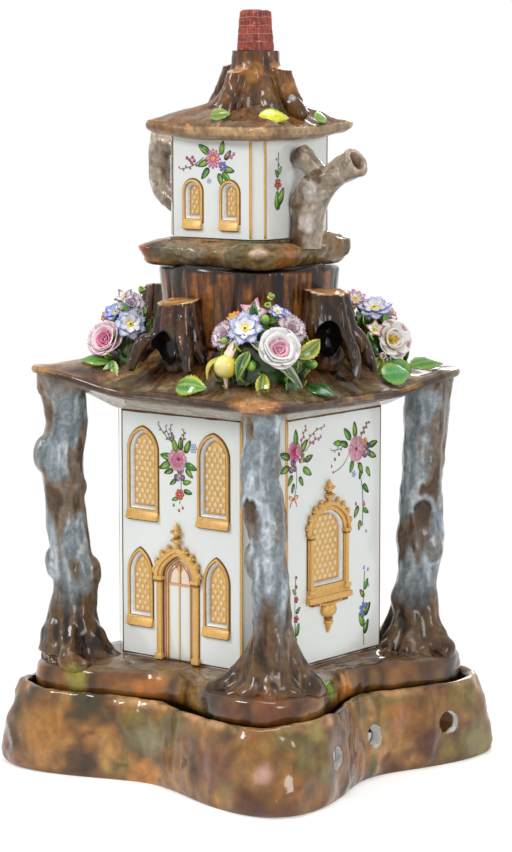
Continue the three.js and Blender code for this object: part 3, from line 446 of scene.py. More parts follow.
def ranged(tree, source, start, end, low, high):
    """The values of a source between start and end, spread from low to high."""
    limits = {"From_Min": start, "From_Max": end, "To_Min": low, "To_Max": high}
    return node_of(tree, "ShaderNodeMapRange", source, **limits).outputs["Result"]


def glaze(name, roughness=0.14, mottle=0.25, grain=0.006, bump=0.25, coat=0.3, metal=0.0, shine=0.35,
          tint=None, streaks=0.0):
    """Glazed porcelain in the colours of its painted points, or in one tint, with mottling, runs and pits."""
    material = bpy.data.materials.new(name)
    material.use_nodes = True
    tree = material.node_tree
    shader = tree.nodes["Principled BSDF"]
    place = tree.nodes.new("ShaderNodeTexCoord").outputs["Object"]
    drawn = node_of(tree, "ShaderNodeVectorMath", place)
    drawn.operation = "MULTIPLY"
    drawn.inputs[1].default_value = (1, 1, 0.7)
    spots = node_of(tree, "ShaderNodeTexNoise", place, Scale=1 / grain, Detail=5.0, Roughness=0.6)
    runs = node_of(tree, "ShaderNodeTexNoise", drawn.outputs["Vector"],
                   Scale=0.5 / grain, Detail=6.0, Roughness=0.6, Distortion=1.2)
    pits = node_of(tree, "ShaderNodeTexNoise", place, Scale=0.45 / grain, Detail=3.0)
    shade = ranged(tree, spots.outputs["Fac"], 0.3, 0.7, 1 - mottle, 1 + mottle)
    depth = ranged(tree, runs.outputs["Fac"], 0.36, 0.64, 1 + streaks * 0.8, 1 - streaks)
    joined = node_of(tree, "ShaderNodeMath", shade)
    joined.operation = "MULTIPLY"
    tree.links.new(depth, joined.inputs[1])
    scaled = tree.nodes.new("ShaderNodeVectorMath")
    scaled.operation = "SCALE"
    if tint is None:
        paint = tree.nodes.new("ShaderNodeAttribute")
        paint.attribute_name = "paint"
        tree.links.new(paint.outputs["Color"], scaled.inputs[0])
    else:
        scaled.inputs[0].default_value = tuple(tint)
    tree.links.new(joined.outputs[0], scaled.inputs["Scale"])
    tree.links.new(scaled.outputs["Vector"], shader.inputs["Base Color"])
    gloss = ranged(tree, spots.outputs["Fac"], 0, 1, roughness * 0.7, roughness * 1.5)
    tree.links.new(gloss, shader.inputs["Roughness"])
    relief = node_of(tree, "ShaderNodeBump", Strength=bump, Distance=0.0006)
    tree.links.new(pits.outputs["Fac"], relief.inputs["Height"])
    tree.links.new(relief.outputs["Normal"], shader.inputs["Normal"])
    shader.inputs["Metallic"].default_value = metal
    shader.inputs["Specular IOR Level"].default_value = shine
    shader.inputs["Coat Weight"].default_value = coat
    shader.inputs["Coat Roughness"].default_value = 0.05
    return material


WHITEWARE = {"roughness": 0.1, "mottle": 0.012, "grain": 0.02, "coat": 0.8}
ROCK = glaze("rock_glaze", roughness=0.13, mottle=0.2, grain=0.007, bump=0.4, streaks=0.26)
BARK = glaze("bark_glaze", roughness=0.19, mottle=0.28, grain=0.0028, bump=0.35, coat=0.2, shine=0.28,
             streaks=0.3)
PORCELAIN = glaze("white_porcelain", bump=0.05, **WHITEWARE)
PLAIN = glaze("plain_porcelain", bump=0.04, tint=WHITE, **WHITEWARE)
GILT = glaze("fired_gold", roughness=0.36, mottle=0.12, grain=0.002, bump=0.3, coat=0.0, metal=0.15)
PETAL = glaze("petal_glaze", roughness=0.22, mottle=0.05, grain=0.003, bump=0.08, coat=0.4)
LEAF = glaze("leaf_glaze", roughness=0.2, mottle=0.18, grain=0.002, bump=0.2, coat=0.5)
ENAMEL = glaze("painted_enamel", roughness=0.25, mottle=0.12, grain=0.0015, bump=0.1, coat=0.2)
BRICK = glaze("brick_glaze", roughness=0.35, mottle=0.15, grain=0.002, bump=0.3, coat=0.2)


# Plinth and terrace

LIP_RISE = 3.2  # the hand-formed lip stands a little above the plain solid
DECK_DROP = 7  # from the plinth's top down to its deck
AIR_HOLES = [(side, place * 50.0, 23.0) for side in (-1, 1) for place in (-1, 0, 1)]
VENT_COUNT = 6
VENT_REACH = 35.1
VENT_RADIUS = 5.5

# Stains on the plinth and the terrace, with one painted highlight among the plinth's: centre, reach, colour
PLINTH_STAINS_AND_HIGHLIGHT = [
    ((-58, -99, 25), 21, rgb(168, 114, 52)), ((-36, -93, 43), 18, rgb(38, 42, 24)),
    ((-66, -99, 46), 14, rgb(70, 54, 32)), ((0, -84, 24), 14, rgb(118, 110, 80)),
    ((-40, -95, 8), 16, rgb(42, 25, 16)), ((-2, -84, 1), 16, rgb(184, 124, 60)),
    ((20, -86, 34), 12, rgb(104, 92, 48)), ((56, -99, 22), 16, rgb(108, 60, 28)),
    # the first patch below, pale pink, is a painted highlight
    ((84, -95, 22), 7, rgb(208, 164, 152)), ((99, -67, 40), 9, rgb(146, 128, 60)),
    ((79, -98, 4), 16, rgb(78, 43, 22)), ((84, -42, 30), 13, rgb(112, 98, 52)),
    ((84, -3, 8), 8, rgb(26, 60, 24)), ((85, 12, 2), 14, rgb(92, 54, 26)),
    ((88, 20, 30), 15, rgb(158, 98, 44)), ((93, 37, 14), 12, rgb(80, 41, 22)),
    ((98, 77, 6), 18, rgb(116, 102, 54)), ((84, -8, 40), 12, rgb(98, 82, 44)),
]
TERRACE_STAINS = [
    ((-48, -86, 50), 10, rgb(150, 140, 50)), ((79, -36, 57), 10, rgb(104, 164, 40)),
    ((72, -12, 48), 11, rgb(190, 122, 50)), ((44, -84, 53), 15, rgb(46, 28, 17)),
    ((79, -82, 50), 14, rgb(116, 62, 32)), ((-9, -71, 47), 14, rgb(180, 108, 46)),
    ((88, 70, 48), 12, rgb(52, 30, 20)), ((20, 76, 52), 14, MOSS),
]


def rock_relief(points, seed, amount):
    """Broad folds with softer lumps between them."""
    folds = ridged(points, [24, 24, 38], seed)
    lumps = fractal(points, [12, 12, 16], seed + 5, 3)
    return amount * (0.9 * folds + 0.9 * lumps)


def lay_stains_and_highlights(points, colour, patches, seed, strength=0.85):
    """Lays soft-edged stains and painted highlights on a surface; patches are (centre, reach, colour)."""
    for centre, reach, tone in patches:
        away = np.linalg.norm(points - centre, axis=1) + reach * 0.35 * fractal(points, 8, seed, 2)
        colour = mix(colour, tone, (1 - step(away, reach * 0.35, reach)) * strength)
    return colour


def paint_rock(points, seed=0):
    """Ochre and brown glazes laid on in curved strokes, with olive and umber patches."""
    bent = points + 12 * np.column_stack([fractal(points, 30, seed + k, 2) for k in (61, 62, 63)])
    wide = fractal(bent, [36, 36, 30], seed + 11, 3)
    fine = fractal(bent, [17, 17, 9], seed + 21, 4)
    olive = fractal(bent, 34, seed + 31, 3)
    colour = mix(rgb(146, 102, 48), rgb(100, 66, 30), step(wide + 0.4 * fine, -0.3, 0.4))
    colour = mix(colour, rgb(188, 138, 76), step(-wide + 0.7 * fine, 0.35, 0.9) * 0.7)
    colour = mix(colour, rgb(112, 100, 46), step(olive + 0.25 * fine, -0.1, 0.4) * 0.75)
    colour = mix(colour, rgb(130, 78, 34), step(-olive + 0.4 * fine, 0.2, 0.7) * 0.6)
    return mix(colour, rgb(60, 36, 20), step(fine + 0.6 * wide, 0.35, 0.9) * 0.8)


def paint_plinth(points, normals, height):
    """Stained rock with a painted highlight along its lip, painted shade low down, inside and in its gutter,
    white bores and a pale deck.
    """
    deck = height - DECK_DROP
    radius, angle = polar(points)
    depth = plinth_outline(angle) - radius
    seams = ridged(points, [15, 15, 30], 14)
    colour = mix(paint_rock(points), rgb(84, 50, 24), step(seams, 0.55, 0.95) * 0.5)
    # painted highlight: the top of the lip is lighter, in broken patches
    wear_and_sheen = step(fractal(points, 9, 66, 3), -0.3, 0.5)
    colour = mix(colour, rgb(206, 156, 104), step(points[:, 2], height - 2, height + 2) * wear_and_sheen * 0.7)
    # painted shade: darker towards the tucked-in foot
    colour = mix(colour, UMBER, step(6 - points[:, 2], 0, 6) * 0.5)
    colour = lay_stains_and_highlights(points, colour, PLINTH_STAINS_AND_HIGHLIGHT, 91)
    # painted shade: the inside of the plinth, its tucked-in underside and the faces that look down are near
    # black
    inner = step(depth, 9, 11) * (points[:, 2] < deck - 1) + step(depth, 3, 5) * (points[:, 2] < 3.0)
    colour = mix(colour, rgb(30, 22, 17), np.clip(inner + (depth > 4) * (normals[:, 2] < -0.5), 0, 1))
    for side, across, up in AIR_HOLES:
        away = points[:, 1:] - [across, up]
        bore = np.linalg.norm(away, axis=1)
        walled = -(away * normals[:, 1:]).sum(axis=1) > 0.9 * bore
        colour = mix(colour, rgb(238, 236, 230), (bore < 6.6) * (points[:, 0] * side > 60) * walled)
    # painted shade: dark in the gutter between the lip and the terrace
    gutter_shade = step(depth, 7.6, 9.4) * (points[:, 2] > deck - 1) * (1 - step(depth, 15, 22))
    colour = mix(colour, rgb(52, 32, 20), gutter_shade)
    deck_share = step(normals[:, 2], 0.8, 0.95) * (np.abs(points[:, 2] - deck) < 1.5)
    return mix(colour, rgb(188, 170, 140), deck_share * step(depth, 18, 28))


def plinth():
    """The lobed tray with its rolled lip, deck with vents, and drilled air holes."""
    low, high = box_mm("plinth")
    height = high[2]
    deck = height - DECK_DROP

    def edge(offset, level, lobe=0.0, lip=0.0):
        def row(angles):
            tip = np.abs(np.sin(2 * angles)) ** 14
            lift = lip * (1 + 0.3 * np.cos(3 * angles + 1))
            return plinth_outline(angles) + offset + lobe * tip, level + lift
        return row

    rings, level = swept([
        flat_ring(1, deck - 4), flat_ring(30, deck - 4), edge(-13, deck - 4), edge(-6.5, height * 0.36),
        edge(-8.5, 3), edge(-8.4, 0), edge(-2.6, 0, 4), edge(-0.6, 2.2, 5.5), edge(0.4, height * 0.14, 5.5),
        edge(0.6, height * 0.36, 4), edge(0.0, height * 0.6, 2), edge(-2.0, height * 0.84, 1, LIP_RISE * 0.6),
        edge(-3.8, height * 0.96, 0, LIP_RISE), edge(-6.2, height, 0, LIP_RISE),
        edge(-8.6, height - 1.0, 0, LIP_RISE), edge(-10.8, deck + 3), edge(-14, deck),
        flat_ring(34, deck), flat_ring(22.4, deck), flat_ring(21.9, deck + 2.3), flat_ring(19.4, deck + 2.3),
        flat_ring(18.8, deck), flat_ring(1, deck),
    ], 420, 5, closed=False)
    relief = rock_relief(rings, 3, 1.5) - 0.6
    dents = 0.7 * fractal(rings, [9, 9, 7], 88, 3)
    rings = pushed_out(rings, (relief + dents) * stretch(level, 5.6, 8, 13.2, 14.6))
    rings[..., 2] += stretch(level, 11, 13, 14.5, 16) * 0.9 * fractal(rings * [1, 1, 0], 18, 77, 3)
    rings = np.clip(rings, [low[0], low[1], 0], [high[0], high[1], height + 2 * LIP_RISE])
    obj = ring_object("rock_plinth", rings, closed=False)
    holes = Heap()
    for side, across, up in AIR_HOLES:
        holes.add(*tube([((side * 60, across, up), 6.1), ((side * 120, across, up), 6.3)], 28, 40))
    for i in range(VENT_COUNT):
        angle = (i + 0.5) / VENT_COUNT * tau
        spot = (VENT_REACH * cos(angle), VENT_REACH * sin(angle))
        holes.add(*tube([((*spot, deck - 9), VENT_RADIUS), ((*spot, deck + 5), VENT_RADIUS)], 20))
    drill(obj, holes)
    set_paint(obj, paint_plinth(*surface_of(obj), height))
    dress(obj, "plinth", ROCK, ["plinth"])


def paint_terrace(points, normals):
    """Redder rock with dark creases; the shelf on top is a smoky brown."""
    colour = mix(paint_rock(points, 7), rgb(140, 84, 36), 0.3)
    shelf = step(normals[:, 2], 0.45, 0.9)
    smoky = mix(rgb(104, 76, 48), rgb(142, 124, 98), step(fractal(points, 12, 3, 3), -0.5, 0.6))
    colour = mix(colour, smoky, shelf * 0.7)
    dark = step(ridged(points, [13, 13, 24], 61), 0.35, 0.9)
    colour = mix(colour, rgb(58, 32, 18), dark * (0.75 - 0.4 * shelf))
    return lay_stains_and_highlights(points, colour, TERRACE_STAINS, 97)


def house_outline(angles):
    """The line just outside the house walls."""
    return chamfered_square(angles, HOUSE_HALF, HOUSE_CHAMFER) + 1


def terrace():
    """The rocky upper base: a folded wall, a rounded shoulder and a flatter top under the house."""
    low, high = box_mm("terrace")
    foot, top = low[2], high[2]

    def edge(offset, level):
        return lambda angles: (plinth_outline(angles) + offset, level)

    def shelf(share, level):
        def row(angles):
            inner = house_outline(angles)
            return inner + (plinth_outline(angles) - 15 - inner) * share, level
        return row

    rings, level = swept([
        flat_ring(49, top - 5), flat_ring(56, top - 5), edge(-20.5, top - 10), edge(-20.5, foot),
        edge(-19, foot), edge(-16.4, foot + 0.4), edge(-14.4, foot + 4), edge(-12.9, foot + 10),
        edge(-13.0, top - 10), edge(-15.0, top - 5.4), shelf(0.74, top - 2.9), shelf(0.45, top - 1.6),
        shelf(0.18, top - 0.7), shelf(0, top - 0.2), flat_ring(54, top), flat_ring(49.4, top),
        flat_ring(49, top - 1),
    ], 288, 4)
    relief = rock_relief(rings, 43, 1.1) - 0.5
    rings = pushed_out(rings, relief * stretch(level, 6, 7.5, 10.5, 12))
    crown = stretch(level, 9, 10.5, 11.6, 12.6)
    rings[..., 2] += crown * (1.3 * fractal(rings * [1, 1, 0], 15, 57, 3) - 0.2)
    obj = ring_object("rock_terrace", rings)
    points, normals = surface_of(obj)
    # painted shade: near black where the terrace sinks into the plinth, fading out just above the plinth's
    # top
    shaded_foot = 1 - step(points[:, 2], PLINTH_TOP + 1.5, PLINTH_TOP + 4.5)
    set_paint(obj, mix(paint_terrace(points, normals), rgb(30, 18, 12), shaded_foot))
    dress(obj, "stand", ROCK, ["terrace"])


# Trunks

# Stations up each trunk: (height, shift to the side, radius). The shift runs along SWAY.
SWAY = way_of(38.65)
TRUNKS = {
    "front": (-45, [(60, 1.0, 12.2), (72, 1.2, 10.9), (84, 1.3, 10.5), (96, 1.6, 9.6), (107, 0.9, 10.0),
                    (119, 0.4, 8.8), (131, -0.3, 8.6), (142, -1.8, 9.9), (154, -3.7, 9.9), (166, -5.1, 9.6),
                    (177, -4.3, 9.4), (189, -3.1, 8.9), (201, -3.1, 9.4), (209, -3.1, 12.0),
                    (217, -3.1, 13.0)]),
    "right": (45, [(60, -2.8, 16.0), (75, -3.5, 12.3), (87, -3.7, 11.8), (100, -2.6, 11.0), (112, -1.4, 12.3),
                   (125, -1.6, 11.9), (138, -0.9, 11.2), (150, -0.4, 10.8), (163, 0.4, 11.2),
                   (175, 0.6, 11.6), (187, 1.2, 12.4), (196, 1.7, 12.8), (209, 1.4, 14.3), (217, 0.8, 14.9)]),
    "back": (135, [(60, 1.0, 16.0), (75, 0.0, 11.8), (90, -1.0, 11.0), (108, 1.0, 11.0), (126, 3.0, 10.4),
                   (144, 2.0, 10.2), (162, 0.0, 10.4), (180, -1.0, 10.0), (196, 0.0, 10.8), (209, 0.0, 13.0),
                   (217, 0.0, 14.0)]),
    "left": (225, [(60, -1.0, 18.5), (70, -0.8, 16.4), (79, -1.0, 13.8), (91, 0.4, 12.0), (104, -0.2, 11.9),
                   (116, -1.8, 11.0), (128, -3.5, 10.6), (141, -4.7, 10.6), (153, -5.5, 11.2),
                   (165, -5.8, 11.4), (178, -3.9, 11.0), (190, -3.2, 10.6), (202, -5.3, 11.6),
                   (211, -5.9, 14.0), (219, -6.4, 15.1)]),
}
# Knots and stubs: (height, direction in degrees, length past the bark, radius)
KNOTS = {
    "front": [(124, 208, 4.0, 8.5), (139, -14, 2.2, 7.0), (150, 268, -1.5, 7.0), (172, 20, 1.4, 6.0)],
    "right": [(160, 325, 0.6, 6.5), (112, 345, 2.4, 7.0), (132, 312, -1.5, 7.5)],
    "back": [(112, 60, 2.8, 7.0), (140, 150, 2.2, 6.5), (172, 100, 2.0, 6.0)],
    "left": [(103, 28, 2.8, 7.0), (108, 218, 2.6, 8.5), (166, 222, 3.2, 8.5), (148, 30, 1.0, 5.5)],
}


# Directions of a trunk's roots and of the boughs under the canopy, from the way it faces
ROOT_TURNS = (-152, -116, -80, -50, -18, 16, 48, 78, 112, 150)
BOUGH_TURNS = (-125, -60, 0, 60, 125)

# The canopy's underside, as shares of the way from the house to the rim and of the rise
SOFFIT = [(0, 0), (0.15, 0.12), (0.45, 0.5), (0.8, 0.86), (1, 1)]
RIM_DEPTH = 4.5


def soffit(radius, angle):
    """Height of the canopy's underside, which rises from the house to the rim."""
    inner = house_outline(angle)
    share = np.clip((radius - inner) / (canopy_outline(angle) - inner), 0, 1)
    return HOUSE_TOP + (canopy_rim(angle) - RIM_DEPTH - HOUSE_TOP) * np.interp(share, *np.transpose(SOFFIT))


def under_canopy(points):
    """Keeps a trunk's head inside the canopy's rim and a little way into its underside."""
    radius, angle = polar(points)
    beyond = np.maximum(radius - canopy_outline(angle) + 3, 0) * step(points[:, 2], 190, 204)
    points = pushed_out(points, -beyond)
    points[:, 2] = np.minimum(points[:, 2], soffit(radius - beyond, angle) + 1.6)
    return points


def draped(spot, rise):
    """The spot on the terrace's top, held back where it would lie past the edge."""
    radius = np.hypot(spot[0], spot[1])
    kept = min(radius, plinth_outline(atan2(spot[1], spot[0])) - TERRACE_EDGE) / radius
    return np.array([spot[0] * kept, spot[1] * kept, HOUSE_FOOT - 1.5 + rise])


def trunk(name):
    """A swaying tree trunk with knots, roots that claw over the terrace, and a flare under the canopy."""
    facing, stations = TRUNKS[name]
    table = np.array(stations)

    def centre(level):
        shift = SWAY * np.interp(level, table[:, 0], table[:, 1])
        return way_of(facing) * TRUNK_REACH + shift + np.array([0, 0, level])

    def radius(level):
        return np.interp(level, table[:, 0], table[:, 2])

    parts = [tube([(centre(z), r) for z, _, r in stations], 28, 3, wobble=0.1, seed=facing)]
    for level, turn, length, size in KNOTS[name]:
        heart = centre(level) + way_of(turn) * (radius(level) + length - size * 0.75)
        parts.append(lump(heart, (size * 0.8, size * 0.8, size * 1.25), 18, 10))
    parts.append(lump(centre(HOUSE_FOOT - 1), (16, 16, 9), 28, 12))
    for k, turn in enumerate(ROOT_TURNS):
        way = way_of(facing + turn + 7 * sin(k * 2.1 + facing))
        reach = (19.5 + 5.5 * sin(k * 2.3 + facing)) * (1 - 0.45 * max(cos(radians(turn)), 0))
        thick = 1 + 0.3 * sin(k * 2.9)
        parts.append(tube([
            (centre(92) + way * 3.4, 4.2), (centre(79) + way * 6.5, 5.2 * thick),
            (centre(69.5) + way * (reach * 0.46), 6.2 * thick),
            (draped(centre(0) + way * reach * 0.76, 1.6), 6.0 * thick),
            (draped(centre(0) + way * reach, -1.6), 5.2 * thick),
            (draped(centre(0) + way * (reach + 8), -5.0), 4.0),
        ], 14))
    for k, turn in enumerate(BOUGH_TURNS):
        way = way_of(facing + turn + 10 * sin(k * 1.9 + facing))
        parts.append(tube([(centre(190) + way * 4, 4.4), (centre(201) + way * 8.5, 4.4),
                           (centre(209) + way * 15, 3.2), (centre(213) + way * 21, 1.6)], 10))
    obj = fused("trunk_bark_" + name, parts, 0.85, 9)
    points, normals = surface_of(obj)
    grooves = ridged(turn_z(points, -facing), [5.5, 5.5, 34], 12 + facing % 7)
    lumps = fractal(points, 8, 33, 2)
    points = under_canopy(points + normals * (0.55 * grooves + 0.6 * lumps)[:, None])
    knots = []
    for level, turn, length, size in KNOTS[name]:
        spot = centre(level) + (radius(level) + length + 0.6) * (way_of(turn) + [0, 0, 0.1])
        knots.append((spot, size, length))
    move_points(obj, points)
    set_paint(obj, paint_trunk(points, normals, grooves, facing, knots))
    dress(obj, "stand", BARK, ["trunk_" + name])


def paint_trunk(points, normals, grooves, facing, knots):
    """Blue-grey and white marbling above, brown streaks that thicken towards the roots and the head."""
    spots = fractal(points, [9, 9, 24], 51 + facing % 11, 3)
    fine = fractal(points, [3.4, 3.4, 13], 71, 3)
    colour = mix(rgb(132, 142, 148), rgb(188, 197, 203), step(fine, -0.2, 0.8))
    colour = mix(colour, rgb(104, 108, 108), step(-fine + 0.4 * spots, 0.3, 1.0) * 0.75)
    colour = mix(colour, rgb(122, 100, 76), step(spots, 0.0, 0.45) * 0.85)
    colour = mix(colour, rgb(78, 54, 34), step(spots + 0.35 * fine, 0.4, 0.8) * 0.9)
    foot = step(112 - points[:, 2] + 14 * spots + 5 * fine, 0, 34)
    # painted shade: the roots go near black in their grooves
    rooty = mix(rgb(96, 70, 42), rgb(36, 23, 15), step(-grooves + 0.7 * fine, -0.7, 0.3))
    # painted highlight: pale grey on the ridges of the roots
    rooty = mix(rooty, rgb(150, 134, 116), step(fine + 0.6 * grooves, 0.75, 1.25) * 0.6)
    colour = mix(colour, rooty, foot)
    # painted shade: darker in the grooves where the trunk meets the rock
    rock = mix(paint_terrace(points, normals), rgb(40, 25, 16), step(-grooves, -0.5, 0.6) * 0.5)
    colour = mix(colour, rock, step(64 - points[:, 2] + 4 * spots, 0, 7) * 0.9)
    head = step(points[:, 2] - 192 + 9 * spots, 0, 16)
    colour = mix(colour, mix(rgb(140, 112, 80), rgb(78, 54, 36), step(fine, -0.4, 0.6)), head * 0.85)
    for spot, size, length in knots:
        away = np.linalg.norm((points - spot) * [1, 1, 0.7], axis=1) + 0.8 * fine
        if length >= 0:
            colour = mix(colour, rgb(112, 98, 82), (1 - step(away, size * 0.5, size)) * 0.6)
            continue
        streak = np.linalg.norm((points - spot - [0, 0, -size * 0.9]) * [1, 1, 0.4], axis=1) + fine
        colour = mix(colour, rgb(104, 80, 58), (1 - step(streak, size * 0.3, size * 0.95)) * 0.8)
        colour = mix(colour, rgb(84, 62, 46), 1 - step(away, size * 0.55, size * 0.8))
        # painted highlight on the upper lip of a sunken scar, and painted shade just inside it
        ring = np.exp(-((away - size * 0.85) / 1.1) ** 2) * (points[:, 2] > spot[2])
        colour = mix(colour, rgb(190, 200, 206), ring * 0.7)
        lip_shade = np.exp(-((away - size * 0.62) / 0.7) ** 2) * (points[:, 2] > spot[2] + 1)
        colour = mix(colour, rgb(40, 28, 20), lip_shade)
    return colour


# Canopy

CANOPY_HALF = 83.2
CANOPY_ROUNDING = 10
CORNER_LIFTS = (5.5, 5.0, 10.5, 0.8)  # from the corner at +X +Y round
# Patches on the canopy: centre, reach, colour; the first two, peach at the front corner and tan at the left
# one, are painted highlights on the rim
CANOPY_STAINS_AND_HIGHLIGHTS = [
    ((70, -84, CANOPY_RIM + 1), 19, rgb(214, 152, 98)), ((-80, -80, CANOPY_RIM + 6), 14, rgb(190, 150, 104)),
    ((-66, -70, CANOPY_RIM + 8), 12, rgb(140, 122, 98)), ((80, 76, CANOPY_RIM + 3), 16, rgb(150, 132, 104)),
]


def canopy_rim(angle):
    """Height of the canopy's rim: its corners lift by different amounts."""
    rim = CANOPY_RIM - 0.6 - 1.0 * np.cos(2 * angle)
    return rim + sum(lift * corner_share(angle, k) for k, lift in enumerate(CORNER_LIFTS))


def canopy_outline(angle):
    plain = rounded_square(angle, CANOPY_HALF, CANOPY_ROUNDING)
    return plain - 3 * np.cos(2 * angle) ** 2 + 2.8 * corner_share(angle, 2)


def canopy_top(radius, angle):
    """Height of the canopy's upper side at a distance from the axis."""
    share = np.clip((radius - CANOPY_MOUTH) / (canopy_outline(angle) - CANOPY_MOUTH), 0, 1)
    return canopy_rim(angle) + (CANOPY_TOP - canopy_rim(angle)) * (1 - share) ** 1.7


def paint_canopy(points, normals):
    """Dark brown with amber and olive streaks, a tan lip here and there, and a beige underside."""
    radius, angle = polar(points)
    streak = fractal(np.stack([angle * 30, radius * 0.09, 0 * radius], -1), 2.2, 15, 3)
    blotch = fractal(points, 20, 25, 3)
    fine = fractal(points, [6, 6, 6], 28, 3)
    colour = mix(rgb(96, 60, 32), rgb(50, 31, 19), step(streak + 0.7 * blotch, -0.4, 0.7))
    colour = mix(colour, rgb(140, 100, 56), step(-streak + 0.8 * blotch + 0.4 * fine, 0.25, 0.9) * 0.8)
    colour = mix(colour, rgb(112, 62, 28), step(-blotch + 0.5 * fine, 0.3, 0.8) * 0.6)
    inset = radius - canopy_outline(angle)
    smoky = mix(rgb(150, 132, 106), rgb(104, 84, 56), step(fine + streak, -0.5, 0.5))
    clouds = step(fractal(points, 26, 29, 2) + 0.2 * streak, -0.25, 0.35)
    colour = mix(colour, smoky, step(inset, -30, -6) * clouds * 0.8)
    rim_share = step(inset, -5, -1.5)
    tone = mix(rgb(104, 66, 36), rgb(168, 118, 70), step(blotch + 0.6 * streak, 0.1, 0.8))
    tone = mix(tone, rgb(54, 33, 20), step(-blotch + 0.4 * fine, -0.25, 0.2) * 0.9)
    colour = mix(colour, tone, rim_share * 0.85)
    below = step(-normals[:, 2], 0.1, 0.55) + (points[:, 2] < canopy_rim(angle) - 3.4) * (radius > 50)
    under = mix(rgb(178, 166, 148), rgb(146, 124, 96), step(blotch + 0.4 * fine, -0.4, 0.6))
    under = mix(under, rgb(96, 66, 40), step(inset, -9, -4) * 0.55)
    colour = mix(colour, under, np.clip(below, 0, 1))
    line = np.abs(points[:, 2] - canopy_rim(angle) + 3.4) < 0.9
    colour = mix(colour, rgb(44, 26, 16), line * rim_share * (normals[:, 2] < 0.3) * 0.9)
    colour = lay_stains_and_highlights(points, colour, CANOPY_STAINS_AND_HIGHLIGHTS, 23, 0.7)
    return mix(colour, rgb(206, 200, 190), (radius < 46) * (points[:, 2] < CANOPY_TOP - 1.5))


def canopy():
    """The spreading roof: a sloping top with ridges, a rolled rim and a smooth underside."""
    def top(share):
        def row(angles):
            radius = CANOPY_MOUTH + (canopy_outline(angles) - 4 - CANOPY_MOUTH) * share
            return radius, canopy_top(radius, angles)
        return row

    def rim(offset, drop):
        return lambda angles: (canopy_outline(angles) + offset, canopy_rim(angles) - drop)

    def under(share, rise):
        def row(angles):
            inner = house_outline(angles)
            radius = inner + (canopy_outline(angles) - inner) * share
            return radius, HOUSE_TOP + (canopy_rim(angles) - RIM_DEPTH - HOUSE_TOP) * rise
        return row

    def inside(inset, rise):
        return lambda angles: (chamfered_square(angles, HOUSE_HALF - inset, HOUSE_CHAMFER), HOUSE_TOP + rise)

    rings, level = swept([
        flat_ring(40, CANOPY_TOP - 1), flat_ring(40.4, CANOPY_TOP),
        *[top(share) for share in (0, 0.15, 0.35, 0.6, 0.85)],
        rim(-2.6, 0.1), rim(-0.9, 0.4), rim(0, 2.0), rim(-0.8, 3.9), rim(-2.6, 4.4),
        *[under(share, rise) for share, rise in reversed(SOFFIT[:-1])],
        inside(3.6, 0), inside(4.2, 1), inside(4.6, 5),
        flat_ring(44, CANOPY_TOP - 9), flat_ring(40.4, CANOPY_TOP - 6),
    ], 320, 4)
    upper = stretch(level, 2.2, 3.2, 6.4, 7.4)
    edge = stretch(level, 6.4, 7.4, 10.5, 11.5)
    radius, angle = polar(rings)
    spokes = np.stack([angle * 30, radius * 0.12, 0 * radius], -1)
    rings[..., 2] += upper * (0.8 * ridged(spokes, 4.6, 5) + 1.3 * fractal(rings, 16, 9, 3))
    wave = fractal(np.stack([np.cos(angle) * 60, np.sin(angle) * 60, 0 * angle], -1), 16, 19, 3)
    rings[..., 2] += edge * (0.9 * wave)
    rings = pushed_out(rings, edge * 0.7 * (wave - 0.5))
    obj = ring_object("canopy_roof", rings)
    set_paint(obj, paint_canopy(*surface_of(obj)))
    dress(obj, "stand", BARK, ["canopy"])


# Facades: worked out as (across, up, out of the wall) and then turned onto their wall

GOLD_EDGE = rgb(112, 72, 34)
GOLD_PALE = rgb(232, 184, 118)
REVEAL = rgb(226, 228, 224)
PEACH = rgb(226, 178, 134)

# Arched openings: width, height of the springing line, rise of the arch, how far the sill stands out, place
# on the wall, width of the frame, pitch of the lattice's cells across and up, radius of a cell
UPPER = {"width": 21, "spring": 32.5, "rise": 13, "sill": 0.3, "place": (24, 138),
         "frame": 1.7, "pitch": (3.7, 2.9), "cell": 1.25}
LOWER = {"width": 17.2, "spring": 24, "rise": 13.8, "sill": 0.3, "place": (26, 81),
         "frame": 1.5, "pitch": (3.7, 2.9), "cell": 1.15}
ORIEL = {"width": 34, "spring": 31, "rise": 15, "sill": 0.9, "place": (-6.1, 98.4),
         "frame": 3.6, "pitch": (4.4, 3.1), "cell": 1.35, "ogee": 0.35}
POT_WINDOW = {"width": 13.2, "spring": 15.5, "rise": 6.6, "sill": -0.3, "place": (12.4, POT_LOW[2] + 8),
              "frame": 1.5, "pitch": (3.1, 2.5), "cell": 1.15, "lozenges": True}
DOOR = {"width": 28.7, "spring": 43.5, "rise": 16, "ogee": 0.35}
DOOR_REVEAL = 7.1  # from the door's outline in to its leaves


class Facade:
    """A heap whose parts are laid on one wall."""

    def __init__(self, facade, half, across=0.0, up=0.0):
        self.heap = Heap()
        self.turn = 90 * facade
        self.place = np.array([across, -half, up])

    def add(self, points, faces, paint=None):
        across, up, out = np.asarray(points, float).T
        self.heap.add(turn_z(np.column_stack([across, -out, up]) + self.place, self.turn), faces, paint)


def bow_of(arch):
    """The radius of the arcs that meet in the arch's point."""
    half, rise = arch["width"] / 2, arch["rise"]
    return (half * half + rise * rise) / (2 * half)


